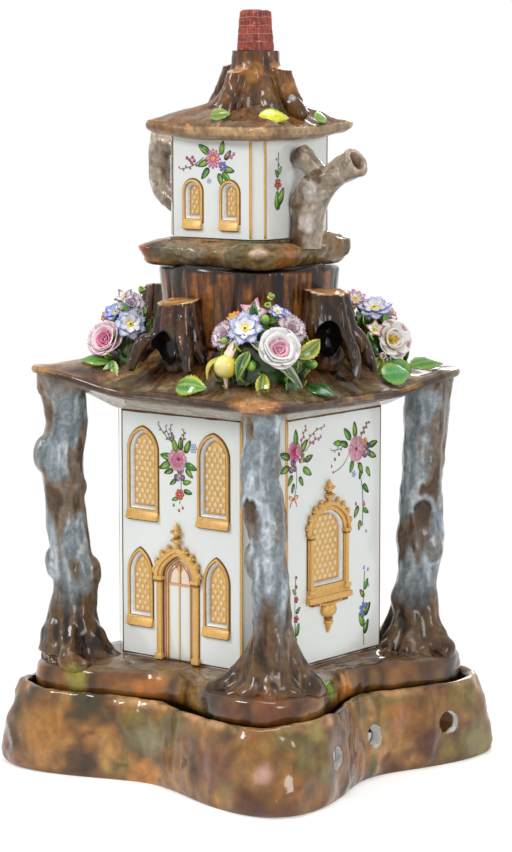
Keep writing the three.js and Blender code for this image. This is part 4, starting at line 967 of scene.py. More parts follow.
def arch_loop(arch, inset, foot=None):
    """The outline of an arched opening as points (across, up), from the left foot round to the right foot."""
    half, spring = arch["width"] / 2, arch["spring"]
    radius = bow_of(arch)
    centre = radius - half
    foot = inset if foot is None else foot
    reach = np.arccos(np.clip(centre / (radius - inset), -1, 1))
    left = [(-(half - inset), foot + (spring - foot) * k / 6) for k in range(6)]
    arc = []
    for k, turn in enumerate(np.linspace(0, reach, 12)):
        narrow = 1 - arch.get("ogee", 0) * step(k / 11, 0.2, 1)
        arc.append(((centre - (radius - inset) * cos(turn)) * narrow, spring + (radius - inset) * sin(turn)))
    right = [(-x, y) for x, y in reversed(left + arc[:-1])]
    return np.array(left + arc + right)


def moulding(facade, arch, section, paints, foot=None):
    """A closed bar run round an arch: section points are (inset, out), each with its own colour."""
    rows = []
    for inset, out in section:
        loop = arch_loop(arch, inset, foot)
        rows.append(np.column_stack([loop, np.full(len(loop), out)]))
    rows = np.array(rows)
    count, columns = rows.shape[:2]
    faces = grid_faces(count, columns, rows_close=True, columns_close=foot is None)
    if foot is not None:
        faces.append(tuple(i * columns for i in range(count)))
        faces.append(tuple(i * columns + columns - 1 for i in reversed(range(count))))
    facade.add(rows.reshape(-1, 3), faces, np.repeat(np.array(paints), columns, axis=0))


def plate(facade, outline, low, high, paint):
    """A flat plate between two depths, from its outline (across, up)."""
    outline = np.asarray(outline, float)
    count = len(outline)
    points = np.concatenate([np.column_stack([outline, np.full(count, z)]) for z in (low, high)])
    faces = [tuple(reversed(range(count))), tuple(range(count, 2 * count))]
    faces += [(i, (i + 1) % count, count + (i + 1) % count, count + i) for i in range(count)]
    facade.add(points, faces, paint)


def slab(facade, x, y, low, high, paint, slant=0.0):
    """A block between (x0, x1), (y0, y1) and two depths; `slant` draws its top back."""
    corners = [(x[0], y[0]), (x[1], y[0]), (x[1], y[1]), (x[0], y[1])]
    front = [(cx, cy, high - slant * (cy == y[1])) for cx, cy in corners]
    points = np.array([(cx, cy, low) for cx, cy in corners] + front)
    faces = [(3, 2, 1, 0), (4, 5, 6, 7), (0, 1, 5, 4), (1, 2, 6, 5), (2, 3, 7, 6), (3, 0, 4, 7)]
    facade.add(points, faces, paint)


def bead(facade, centre, size, paint, segments=12, rows=6):
    facade.add(*lump(centre, size, segments, rows), paint)


def lattice_cells(facade, arch, inset, depth):
    """White cells set in quincunx, as many as fit inside the arch: round, or lozenges on the pot."""
    half, spring, radius = arch["width"] / 2, arch["spring"], arch["cell"]
    pitch_across, pitch_up = arch["pitch"]
    if "lozenges" in arch:
        size, corners = (radius * 0.95, radius * 1.4, radius * 0.5), 4
    else:
        size, corners = (radius, radius * 1.12, radius * 0.5), 12
    bow = bow_of(arch)
    count = int((2 * (half - inset) - 1.7 * radius) / pitch_across) + 1
    for row in range(int((spring + arch["rise"]) / pitch_up)):
        fewer = row % 2
        columns = (np.arange(count - fewer) - (count - fewer - 1) / 2) * pitch_across
        y = inset + pitch_up * (row + 0.55)
        above = max(0.0, y + radius * 0.6 - spring)
        room = sqrt(max((bow - inset) ** 2 - above ** 2, 0)) - (bow - half)
        fitting = [x for x in columns if abs(x) < room - radius * 0.6]
        if not fitting and room > radius * 1.4:
            fitting = [0.0]
        for x in fitting:
            points, faces = lump((x, y, depth), size, corners, 7)
            rim = step(points[:, 2] - depth, 0.0, radius * 0.22)
            facade.add(points, faces, mix(rgb(184, 132, 70), rgb(226, 210, 172), rim))


def arched_window(facade, arch):
    """Gilt frame, white splayed reveal, gold lattice with white cells, and a slanted gilt sill."""
    width, back = arch["frame"], -POCKET_DEPTH + 0.25
    splay = width + 1.9
    bar = [(-0.1, 0.05), (0.0, 0.75), (width * 0.25, 1.2), (width * 0.6, 1.3), (width * 0.9, 0.95),
           (width, 0.2), (width, -0.6), (-0.1, -0.6)]
    moulding(facade, arch, bar, [GOLD_EDGE] + [GOLD] * 4 + [GOLD_EDGE] * 3)
    moulding(facade, arch, [(-0.75, -0.2), (-0.7, 0.16), (-0.05, 0.2), (-0.05, -0.2)], [GOLD_EDGE] * 4)
    reveal = [(width - 0.1, 0.15), (width + 0.35, 0.1), (splay, back + 0.5), (splay + 0.1, back),
              (width - 0.1, back)]
    # painted shade: the reveal greys towards its deep end
    moulding(facade, arch, reveal, [REVEAL, REVEAL, rgb(206, 202, 196), REVEAL, REVEAL])
    lead = [(splay - 0.05, back + 0.75), (splay + 0.45, back + 0.7), (splay + 0.5, back + 0.3),
            (splay - 0.05, back + 0.3)]
    moulding(facade, arch, lead, [GOLD_DEEP] + [GOLD] * 3)
    plate(facade, arch_loop(arch, splay + 0.2), back, back + 0.45, rgb(228, 178, 100))
    lattice_cells(facade, arch, splay + 0.2, back + 0.45)
    half, drop = arch["width"] / 2 + arch["sill"], 3.7
    slab(facade, (-half, half), (-drop, 0.7), -0.3, 2.5, GOLD, slant=1.3)
    slab(facade, (-half + 0.7, half - 0.7), (-drop - 0.6, 0.2 - drop), -0.3, 1.6, GOLD_EDGE)


def crockets(facade, arch, shares, size):
    """Curled leaf knobs up both sides of a hood."""
    bow = bow_of(arch)
    centre = bow - arch["width"] / 2
    reach = np.arccos(centre / bow)
    for share in shares:
        angle = reach * share
        for side in (-1, 1):
            out = np.array([side * cos(angle), sin(angle)])
            foot = np.array([-side * centre, arch["spring"]]) + out * (bow + size * 0.15)
            tip = foot + out * size * 0.7 + np.array([0, size * 0.55])
            eye = tip + out * size * 0.1
            leaf = foot + np.array([side * size * 0.9, size * 0.1])
            bead(facade, (*foot, 1.4), (size * 0.9, size * 0.9, size * 0.8), GOLD)
            bead(facade, (*tip, 1.6), (size * 0.6, size * 0.7, size * 0.6), GOLD, 10, 5)
            bead(facade, (*eye, 2.2), (size * 0.26, size * 0.26, size * 0.26), GOLD_EDGE, 8, 4)
            bead(facade, (*leaf, 1.2), (size * 0.6, size * 0.4, size * 0.5), GOLD, 10, 5)


def spire(facade, foot, height, width):
    """A leafy finial: two tiers of knobs under a pointed bud."""
    tiers = ((0.08, 0.55, GOLD), (0.3, 0.95, GOLD), (0.42, 0.6, GOLD_DEEP), (0.6, 0.85, GOLD),
             (0.74, 0.55, GOLD))
    for share, girth, tone in tiers:
        bead(facade, (0, foot + height * share, 1.5), (width * girth, height * 0.1, width * 0.55), tone)
    stem = [((0, foot - 1, 1.4), width * 0.4), ((0, foot + height * 0.6, 1.4), width * 0.42),
            ((0, foot + height * 0.75, 1.4), width * 0.6), ((0, foot + height, 1.4), 0.15)]
    facade.add(*tube(stem, 10), GOLD)
    for share, side in ((0.3, -1), (0.3, 1), (0.6, -1), (0.6, 1)):
        up = foot + height * share
        knob = (width * 0.4, width * 0.42, width * 0.4)
        bead(facade, (side * width * 0.95, up + 0.6, 1.8), knob, GOLD, 8, 4)
        bead(facade, (side * width * 1.05, up + 0.7, 2.5), (0.5, 0.5, 0.5), GOLD_EDGE, 8, 4)


def finished(facade, name, body, material, replaced, softness=0.18):
    """Makes a facade's heap a piece with softened edges."""
    obj = facade.heap.object(name)
    set_paint(obj, facade.heap.merged()[2])
    bevel(obj, softness, 2, 50)
    bake(obj)
    dress(obj, body, material, replaced)
    sharpen(obj, 50)


def window_pair(facade, half, arch, shift):
    """An arched window at each side of a wall, as (side, wall)."""
    across, up = arch["place"]
    for side, sign in (("left", -1), ("right", 1)):
        wall = Facade(facade, half, shift + sign * across, up)
        arched_window(wall, arch)
        yield side, wall


def lancets():
    """Two rows of two windows on the house's front and back."""
    for facade, place in ((0, "front"), (2, "back")):
        for row, arch in (("upper", UPPER), ("lower", LOWER)):
            for side, wall in window_pair(facade, HOUSE_HALF, arch, FACADE_SHIFT):
                name = f"{place}_{row}_{side}"
                finished(wall, "lancet_" + name, "stand", GILT, ["window_" + name])


def pot_windows():
    """Two blind windows on the pot's front and back."""
    for facade, place in ((0, "front"), (2, "back")):
        for side, wall in window_pair(facade, POT_HALF, POT_WINDOW, 0):
            name = f"{place}_{side}"
            finished(wall, "pot_lancet_" + name, "teapot", GILT, ["pot_window_" + name])


def oriels():
    """A bay-like window with columns, capitals, a crocketed hood, a finial and a leafy corbel."""
    half, spring = ORIEL["width"] / 2, ORIEL["spring"]
    for facade, place in ((1, "right"), (3, "left")):
        wall = Facade(facade, HOUSE_HALF, *ORIEL["place"])
        arched_window(wall, ORIEL)
        for side in (-1, 1):
            x = side * (half - 1.8)
            wall.add(*tube([((x, 0, 1.2), 1.5), ((x, spring - 2, 1.2), 1.3)], 12, 2), GOLD)
            slab(wall, (x - 2.4, x + 2.4), (spring - 1.2, spring + 0.6), -0.3, 3.0, GOLD)
            slab(wall, (x - 2.0, x + 2.0), (spring - 2.4, spring - 1.2), -0.3, 2.4, GOLD_DEEP)
            slab(wall, (x - 2.4, x + 2.4), (0, 2.2), -0.3, 2.8, GOLD)
        hood = [(-1.6, 0.1), (-1.6, 1.6), (-0.6, 2.5), (0.9, 2.3), (1.2, 1.2), (1.2, 0.1)]
        moulding(wall, ORIEL, hood, [GOLD_EDGE] + [GOLD] * 3 + [GOLD_DEEP, GOLD_EDGE], foot=spring)
        crockets(wall, ORIEL, (0.14, 0.34, 0.54, 0.74), 1.9)
        spire(wall, spring + ORIEL["rise"], 13.4, 2.7)
        slab(wall, (-half - 1.4, half + 1.4), (-5.0, -2.0), -0.3, 3.4, GOLD, slant=0.4)
        slab(wall, (-half + 2, half - 2), (-6.6, -5.0), -0.3, 2.6, GOLD_DEEP)
        for x in np.linspace(-9, 9, 9):
            bead(wall, (x, -6.8 + 0.012 * x * x, 1.8), (1.3, 1.0, 1.1), GOLD, 10, 5)
        bead(wall, (0, -10.2, 0.8), (6.2, 4.0, 3.4), GOLD, 16, 9)
        for x in (-3.2, 0, 3.2):
            bead(wall, (x, -9.6, 3.2 - abs(x) * 0.25), (1.2, 3.0, 1.0), rgb(236, 184, 104), 10, 6)
        bead(wall, (0, -14.6, 0.8), (2.9, 1.3, 2.4), GOLD_DEEP, 12, 5)
        bead(wall, (0, -16.6, 0.8), (3.4, 1.3, 2.6), GOLD, 12, 5)
        wall.add(*tube([((0, -16, 1.0), 2.2), ((0, -19, 0.9), 1.6), ((0, -22.6, 0.7), 0.3)], 12), GOLD)
        finished(wall, "oriel_window_" + place, "stand", GILT, ["oriel_" + place])


def door_frame():
    """Pilasters and a crocketed ogee hood, with three reeds inside."""
    wall = Facade(0, HOUSE_HALF, FACADE_SHIFT, HOUSE_FOOT + 0.3)
    half, spring = DOOR["width"] / 2, DOOR["spring"]
    jamb = [(0, -0.6), (0, 1.0), (0.5, 1.5), (3.2, 1.5), (3.6, 0.9), (3.7, -0.6)]
    moulding(wall, DOOR, jamb, [GOLD_EDGE] + [GOLD] * 4 + [GOLD_EDGE], foot=0)
    hood = [(-1.5, 0.1), (-1.4, 1.7), (-0.3, 2.6), (1.3, 2.3), (1.6, 1.2), (1.6, 0.1)]
    moulding(wall, DOOR, hood, [GOLD_EDGE, GOLD, GOLD, GOLD_PALE, GOLD_DEEP, GOLD_EDGE], foot=spring)
    for start, tone in ((3.7, rgb(196, 142, 92)), (4.9, rgb(222, 176, 130)), (6.1, rgb(170, 118, 84))):
        sunk = 0.35 * (start - 3.7)
        reed = [(start, -1.9), (start + 0.05, -0.9 - sunk), (start + 0.6, -0.5 - sunk),
                (start + 1.1, -0.9 - sunk), (start + 1.2, -1.9)]
        # painted highlight: each reed is paler along its crest
        moulding(wall, DOOR, reed, [tone, tone, mix(tone, WHITE, 0.3), tone, tone], foot=0)
    crockets(wall, DOOR, (0.12, 0.34, 0.56, 0.78), 1.9)
    spire(wall, spring + DOOR["rise"], 14.6, 2.7)
    for side in (-1, 1):
        x = side * (half - 1.8)
        slab(wall, (x - 2.7, x + 2.7), (spring - 1.0, spring + 0.8), -0.3, 2.8, GOLD)
        slab(wall, (x - 2.2, x + 2.2), (spring - 2.4, spring - 1.0), -0.3, 2.2, GOLD_DEEP)
        slab(wall, (x - 2.4, x + 2.4), (0, 3.0), -0.3, 2.2, GOLD)
    finished(wall, "door_frame", "stand", GILT, ["door_surround"])


def door_panels():
    """Two white leaves under a traceried head."""
    leaves = Facade(0, HOUSE_HALF, FACADE_SHIFT, HOUSE_FOOT + 0.3)
    back, spring = -POCKET_DEPTH + 0.3, DOOR["spring"]
    plate(leaves, arch_loop(DOOR, DOOR_REVEAL, 0), back, back + 0.5, PEACH)
    width = DOOR["width"] / 2 - DOOR_REVEAL
    for side in (-1, 1):
        x = sorted((side * 0.3, side * (width - 0.2)))
        slab(leaves, x, (0, spring - 3.4), back + 0.4, back + 1.0, rgb(230, 234, 230))
        pane = [(side * 0.6, spring - 2.4), (side * (width - 0.5), spring - 2.4),
                (side * (width - 0.9), spring + 2.5), (side * width * 0.55, spring + 7.2),
                (side * 0.6, spring + 3.5)]
        plate(leaves, pane[::side], back + 0.4, back + 0.8, rgb(240, 222, 200))
    slab(leaves, (-0.45, 0.45), (0, spring + 7.5), back + 0.5, back + 1.5, GOLD)
    slab(leaves, (-width, width), (spring - 3.6, spring - 2.4), back + 0.5, back + 1.3, rgb(216, 164, 104))
    for side in (-1, 1):
        x = sorted((side * (width - 0.6), side * (width + 0.1)))
        slab(leaves, x, (0, spring - 3), back + 0.5, back + 1.2, GOLD)
        tracery = [(side * (width - 0.3), spring - 2.4), (side * width * 0.75, spring + 3.6),
                   (0, spring + 8.6)]
        leaves.add(*tube([((*spot, back + 0.9), 0.35) for spot in tracery], 8), rgb(190, 138, 82))
    finished(leaves, "door_panels", "stand", PORCELAIN, ["door_leaves"], 0.1)


def drawn_line(facade, x, low, high, half, width, tone):
    """A hand-drawn upright line."""
    wall = Facade(facade, half)
    levels = np.linspace(low, high, 40)
    wobble = 0.12 * noise(np.column_stack([levels, 0 * levels, 0 * levels + x]), 9, 3)
    left = [(x - width / 2 + w, y) for w, y in zip(wobble, levels)]
    right = [(x + width / 2 + w * 0.7, y) for w, y in zip(wobble, levels)]
    plate(wall, right + left[::-1], -0.2, 0.12, tone)
    return wall.heap.merged()


def level_line(facade, height, half, reach, width, tone):
    """A hand-drawn line along a wall."""
    wall = Facade(facade, half)
    across = np.linspace(-reach, reach, 40)
    wobble = 0.25 * noise(np.column_stack([across, 0 * across + height, 0 * across + facade * 50]), 7, 5)
    below = [(x, height - width / 2 + w) for x, w in zip(across, wobble)]
    above = [(x, height + width / 2 - 0.6 * w) for x, w in zip(across, wobble)]
    plate(wall, below + above[::-1], -0.2, 0.11, tone)
    return wall.heap.merged()


def bands(name, body, low, high, half, chamfer, width):
    """Upright lines along the corners of a wall: one gilt band for each facade, and a thin line."""
    lines = Heap()
    flat = half - chamfer
    for facade in range(4):
        for side in (-1, 1):
            gilt = (facade, side) in ((0, 1), (1, -1), (2, 1), (3, -1))
            thick, tone = (width, GOLD) if gilt else (0.7, rgb(120, 92, 58))
            lines.add(*drawn_line(facade, side * (flat - 0.4), low + 0.4, high - 0.4, half, thick, tone))
        if body == "stand":
            lines.add(*level_line(facade, low + 0.7, half, flat, 1.0, rgb(96, 58, 30)))
            lines.add(*level_line(facade, high - 0.7, half, flat, 0.9, rgb(110, 72, 40)))
    piece(name, lines, body, "gilding", GILT)


def soften(name, material, width):
    """Gives a solid its material and rounds its sharp edges."""
    nodes[name].data.materials.clear()
    nodes[name].data.materials.append(material)
    bevel(nodes[name], width, 3, 30)


def walls():
    """House and pot walls keep their shape and get softened edges; gold bands line the corners."""
    soften("house_walls", PLAIN, 0.5)
    soften("teapot_body", PLAIN, 0.5)
    bands("house_bands", "stand", HOUSE_FOOT, HOUSE_TOP, HOUSE_HALF, HOUSE_CHAMFER, 1.9)
    bands("pot_bands", "teapot", POT_LOW[2], POT_HIGH[2], POT_HALF, POT_CHAMFER, 1.8)


# Stump wood: collar, stumps, saucer, branches and lid share one brown glaze

def paint_bark(points, grain, seed, light=0.0):
    """Streaked brown glaze: grain holds the coordinates that the streaks follow."""
    streak = fractal(grain, 1.0, seed, 3)
    blotch = fractal(points, 15, seed + 4, 3)
    colour = mix(rgb(88, 52, 24), rgb(34, 20, 12), step(streak + 0.4 * blotch, -0.4, 0.5))
    colour = mix(colour, rgb(142, 84, 36), step(-streak + 0.5 * blotch, 0.4, 1.0) * 0.8)
    colour = mix(colour, rgb(106, 88, 42), step(fractal(points, 19, seed + 9, 2), 0.25, 0.8) * 0.55)
    return mix(colour, rgb(176, 140, 100), light)


def creviced(points, normals, colour, size, seed, amount=0.75):
    """Paints shade into the crevices of a lumpy surface and moves the points in there."""
    fold = np.abs(noise(points, size, seed)) + 0.35 * np.abs(noise(points, np.asarray(size) / 2, seed + 1))
    crevice_shade = 1 - step(fold, 0.04, 0.3)
    return points - normals * (0.7 * crevice_shade)[:, None], mix(colour, BLACK_BROWN, crevice_shade * amount)


FLUE = 40.2  # radius of the way for warm air
COLLAR_RADIUS = 46.2


def collar():
    """The wide stump under the teapot: a wall of bark flutes round the flue."""
    low, high = box_mm("collar")

    def wall(level, offset):
        return lambda angles: (COLLAR_RADIUS + offset, level)

    def brim(angles):
        return 45.4, high[2] + 2.4 * np.cos(2 * angles) ** 4

    profile = [flat_ring(FLUE, low[2]), wall(low[2], 1.4), wall(low[2] + 5, 0.8), wall(low[2] + 14, -0.2),
               wall(low[2] + 24, -0.5), wall(high[2] - 5, 0.4), wall(high[2] - 1, 0.6), brim,
               flat_ring(FLUE + 0.6, high[2]), flat_ring(FLUE, high[2] - 0.8)]
    rings, level = swept(profile, 320, 4)
    outer = stretch(level, 0.6, 1.4, 6.4, 7.4)
    angle = polar(rings)[1]
    run = np.stack([46 * np.cos(angle), 46 * np.sin(angle), rings[..., 2] * 0.16], -1)
    flutes = 0.7 - np.abs(noise(run, 9.5, 5)) * 2.4 - 0.5 * np.abs(noise(run, 3.6, 6))
    rings = pushed_out(rings, outer * np.clip(-1.6 * np.clip(flutes, 0, 1) + 0.9, -1.2, 0.9))
    obj = ring_object("bark_collar", rings)
    points = surface_of(obj)[0]
    flutes = flutes.ravel()
    grain = fractal(run.reshape(-1, 3), [1.6, 1.6, 2.4], 21, 3)
    colour = mix(rgb(122, 74, 34), rgb(72, 43, 23), step(grain + 0.4 * fractal(points, 11, 22, 2), -0.4, 0.6))
    # painted highlight: lighter amber on the crests of the flutes
    colour = mix(colour, rgb(164, 106, 52), step(-grain - 0.5 * flutes, 0.2, 0.8) * 0.65)
    # painted shade: near black in the flutes' hollows and in broad patches
    shade_patches = step(fractal(run.reshape(-1, 3), 12, 24, 2), 0.35, 0.65)
    colour = mix(colour, rgb(30, 18, 12), np.maximum(step(flutes, 0.25, 0.6), shade_patches))
    # painted shade: a dark band just under the saucer
    colour = mix(colour, rgb(34, 21, 14), step(points[:, 2], high[2] - 1.6, high[2] - 0.6))
    in_flue = (polar(points)[0] < FLUE + 1.0) * (points[:, 2] < high[2] - 8)
    colour = mix(colour, rgb(190, 180, 168), in_flue)
    set_paint(obj, colour)
    dress(obj, "stand", BARK, ["collar"])


# Each stump on the canopy: across, cut height, direction of its hollow, legs as (direction, reach)
STUMPS = {
    "right": (-5.0, 256, -52, [(-92, 15), (-8, 18), (34, 20), (76, 22), (128, 13), (-136, 13)]),
    "back": (2.0, 252.9, 8, [(-78, 19), (-34, 18), (46, 18), (86, 18), (128, 13), (-128, 13)]),
    "left": (3.0, 253.9, -6, [(-82, 18), (-46, 18), (34, 17), (80, 17), (128, 13), (-128, 13)]),
    "front": (-2.0, 251, -6, [(-84, 19), (-50, 21), (58, 16), (92, 15), (128, 13), (-128, 13)]),
}
STUMP_REACH = 56.5  # from the axis to the middle of a stump
HOLLOW_DROP = 24.5  # the middle of a stump's hollow below its cut
HOLLOW_REACH = 12.5  # the middle of the hollow from the middle of the stump


def stump(side, name):
    """A cut stump whose legs straddle a dark hollow and claw over the canopy."""
    across, cut, opening, legs = STUMPS[name]
    foot = CANOPY_TOP - 10
    heart = np.array([STUMP_REACH, across, 0])

    def at(height, x=0.0, y=0.0):
        return heart + [x, y, height]

    parts = [tube([(at(cut + 4, -1), 9.4), (at(cut - 3, -1), 9.8), (at(cut - 14, 0), 10.2),
                   (at(cut - 22, 0.5), 10.4), (at(foot + 9, -2), 10.5), (at(foot, -4), 9)], 24, 3,
                  wobble=0.08, seed=side)]
    parts.append(tube([(at(cut + 4, -6), 8.0), (at(foot + 4, -8), 10)], 16))
    for k, (turn, length) in enumerate(legs):
        way = way_of(turn)
        droop = 2 + 6.5 * max(way[0], 0)
        parts.append(tube([
            (at(cut + 3, -1) + way * 7.2, 3.4), (at(cut - 9, 0) + way * 8.4, 4.1),
            (at(cut - 20, 0.5) + way * 10.5, 4.5), (at(foot + 14, 1) + way * (length - 4.5), 4.3),
            (at(foot + 10 - droop * 0.5, 1) + way * length, 3.4),
            (at(foot + 5 - droop, 1) + way * (length + 3.5), 1.8),
        ], 12))
    obj = fused("bark_stump_" + name, [(turn_z(p, 90 * side), f) for p, f in parts], 0.8, 8)
    holes = Heap()
    points, faces = lump((HOLLOW_REACH, 0, 0), (12, 6.6, 10), 24, 14)
    holes.add(turn_z(turn_z(points, opening) + at(cut - HOLLOW_DROP), 90 * side), faces)
    drill(obj, holes)
    points, normals = surface_of(obj)
    local = turn_z(points, -90 * side) - heart
    turn = polar(local)[1]
    run = np.column_stack([10 * np.cos(turn), 10 * np.sin(turn), local[:, 2] * 0.16])
    grooves = ridged(run, 5.5, 31 + side)
    face_z = cut - 0.14 * local[:, 0] + 0.05 * local[:, 1] + 0.35 * noise(points, 3, 3)
    flank = local[:, 2] < face_z - 1.2
    points = points + normals * (flank * (0.5 * grooves + 0.4 * fractal(points, 8, 13, 2)))[:, None]
    colour = paint_bark(points, run / 1.7, 41 + side)
    points, colour = creviced(points, normals, colour, [6, 6, 26], 45 + side, 0.8)
    colour = mix(colour, rgb(44, 27, 17), 0.35)
    # painted highlight: pale streaks on the ridges of the grooves
    pale = step(grooves + 0.8 * fractal(points, 12, 17, 2), 1.15, 1.45) * flank
    colour = mix(colour, rgb(170, 168, 174), pale * 0.8)
    on_top = points[:, 2] > face_z - 0.5
    points[:, 2] = np.minimum(points[:, 2], face_z)
    radius = np.linalg.norm(local[:, :2] * [0.9, 1.0], axis=1)
    rings = 0.5 + 0.5 * np.sin(radius * 2.6 + 2 * fractal(points, 7, 19, 2))
    sawn = mix(rgb(186, 136, 78), rgb(146, 94, 46), rings * 0.55 + 0.2 * fractal(points, 5, 23, 2))
    # painted highlight: a pale rim round the cut face
    sawn = mix(sawn, rgb(238, 208, 160), step(radius, 8.4, 10.2) * 0.8)
    colour = mix(colour, sawn, on_top)
    # painted shade: the hollow is near black inside
    deep = turn_z(local - [0, 0, cut - HOLLOW_DROP], -opening) - [HOLLOW_REACH, 0, 0]
    mouth = np.linalg.norm(deep / [12.7, 7.3, 10.7], axis=1)
    colour = mix(colour, rgb(14, 9, 7), 1 - step(mouth, 0.94, 1.04))
    low, high = box_mm("stump_" + name)
    points = np.clip(points, low - 0.3, high + [0.3, 0.3, 0.0])
    move_points(obj, points)
    set_paint(obj, colour)
    dress(obj, "stand", BARK, ["stump_" + name])
    sharpen(obj, 55)


# Teapot

SAUCER_HALF = 43
SAUCER_ROUNDING = 9
SAUCER_CORNERS = (-3.6, 0.0, 1.6, 0.5)  # how far each corner reaches past the plain outline
# Patches on the saucer: centre, reach, colour; the pale pink one at the front corner is a painted highlight
SAUCER_STAINS_AND_HIGHLIGHT = [
    ((-44, -38, 274), 19, rgb(176, 92, 40)), ((-30, -44, 278), 8, rgb(70, 56, 40)),
    ((-8, -46, 276), 18, rgb(118, 108, 82)), ((40, -42, 279), 7, rgb(212, 178, 158)),
    ((44, -20, 270), 13, rgb(170, 108, 52)), ((46, 20, 276), 13, rgb(140, 104, 62)),
]


def saucer():
    """A thick four-pointed slab of bark moulded to the pot's foot."""
    low, high = box_mm("teapot_saucer")
    base, top = low[2] + 5, high[2]

    def edge(offset, level):
        def row(angles):
            corners = sum(reach * corner_share(angles, k) for k, reach in enumerate(SAUCER_CORNERS))
            side = rounded_square(angles, SAUCER_HALF, SAUCER_ROUNDING) - 0.4 * np.cos(2 * angles) ** 2
            return side + corners + offset, level
        return row

    def pot(offset, level):
        return lambda angles: (chamfered_square(angles, POT_HALF, POT_CHAMFER) + offset, level)

    profile = [flat_ring(1, low[2]), flat_ring(36, low[2]), flat_ring(38.6, low[2] + 1.4),
               flat_ring(38.6, base), edge(-8, base + 0.6), edge(-4.4, base + 1.6), edge(-1.4, base + 4.4),
               edge(0.2, base + 7.4), edge(0.3, base + 9.6), edge(-1.0, base + 11.4), edge(-4.8, base + 13.2),
               edge(-10, top - 1.6), pot(1.2, top - 1.6), pot(-0.6, top - 0.6), flat_ring(20, top - 0.8),
               flat_ring(1, top - 0.8)]
    rings, level = swept(profile, 300, 4, closed=False)
    outer = stretch(level, 4.2, 5.4, 10.6, 11.8)
    angle = polar(rings)[1]
    run = np.stack([44 * np.cos(angle), 44 * np.sin(angle), rings[..., 2] * 1.6], -1)
    twist = ridged(np.stack([angle * 44, rings[..., 2] * 3, 0 * angle], -1), 7.0, 31)
    coil = np.exp(-((np.mod(angle - 0.62 + pi, tau) - pi) / 0.32) ** 2)
    relief = 0.9 * ridged(run, 15, 61) + 0.9 * fractal(run, 7, 62, 3) - 0.7
    relief = relief * (1 - coil) + coil * (1.1 * twist - 0.4)
    rings = pushed_out(rings, outer * relief)
    upper = stretch(level, 8.2, 9.2, 11.2, 12)
    rings[..., 2] += upper * (0.7 * fractal(rings * [1, 1, 0], 8, 64, 3) - 0.5)
    crest = stretch(level, 7, 9, 10.5, 11.8)
    rings[..., 2] += crest * coil * (3.6 + 1.2 * twist)
    obj = ring_object("bark_saucer", rings, closed=False)
    points, normals = surface_of(obj)
    colour = mix(rgb(136, 108, 66), rgb(102, 90, 58), step(fractal(points, 14, 71, 3), -0.3, 0.5))
    colour = mix(colour, rgb(160, 106, 56), step(fractal(points, 20, 72, 3), 0.15, 0.6) * 0.75)
    colour = mix(colour, rgb(72, 48, 28), step(fractal(points * [1, 1, 2], 8, 73, 3), 0.3, 0.9) * 0.8)
    colour = mix(colour, rgb(168, 148, 112), step(-fractal(points, 9, 74, 3), 0.3, 0.8) * 0.6)
    colour = lay_stains_and_highlights(points, colour, SAUCER_STAINS_AND_HIGHLIGHT, 75)
    # painted shade: dark towards the underside, over the collar
    colour = mix(colour, rgb(44, 28, 18), step(base + 3.4 - points[:, 2], 0, 3.6) * 0.85)
    set_paint(obj, colour)
    dress(obj, "teapot", BARK, ["teapot_saucer"])


def branch_skin(name, parts, holes, spots, node, seed):
    """A knotty grey branch with brown patches; spots are (centre, reach, colour)."""
    obj = fused(name, parts, 0.6, 4)
    for hole in holes:
        drill(obj, Heap().add(*hole))
    points, normals = surface_of(obj)
    lumps = fractal(points, 7, seed, 2)
    points = points + normals * (0.35 * lumps + 0.25 * ridged(points, [4, 4, 12], seed + 2))[:, None]
    colour = mix(rgb(178, 162, 142), rgb(132, 118, 100), step(fractal(points, 9, seed + 3, 3), -0.3, 0.7))
    colour = mix(colour, rgb(204, 196, 186), step(fractal(points, 8, seed + 5, 2), 0.25, 0.9) * 0.7)
    colour = mix(colour, rgb(112, 80, 48), step(fractal(points, 12, seed + 7, 3), 0.2, 0.7) * 0.85)
    colour = mix(colour, rgb(74, 50, 30), step(fractal(points, 7, seed + 8, 3), 0.55, 1.0) * 0.8)
    for centre, reach, tone in spots:
        away = np.linalg.norm(points - centre, axis=1) + 1.2 * fractal(points, 4, seed + 11, 2)
        colour = mix(colour, tone, (1 - step(away, reach * 0.55, reach)) * 0.9)
    move_points(obj, points)
    set_paint(obj, colour)
    dress(obj, "teapot", BARK, [node])
    return obj


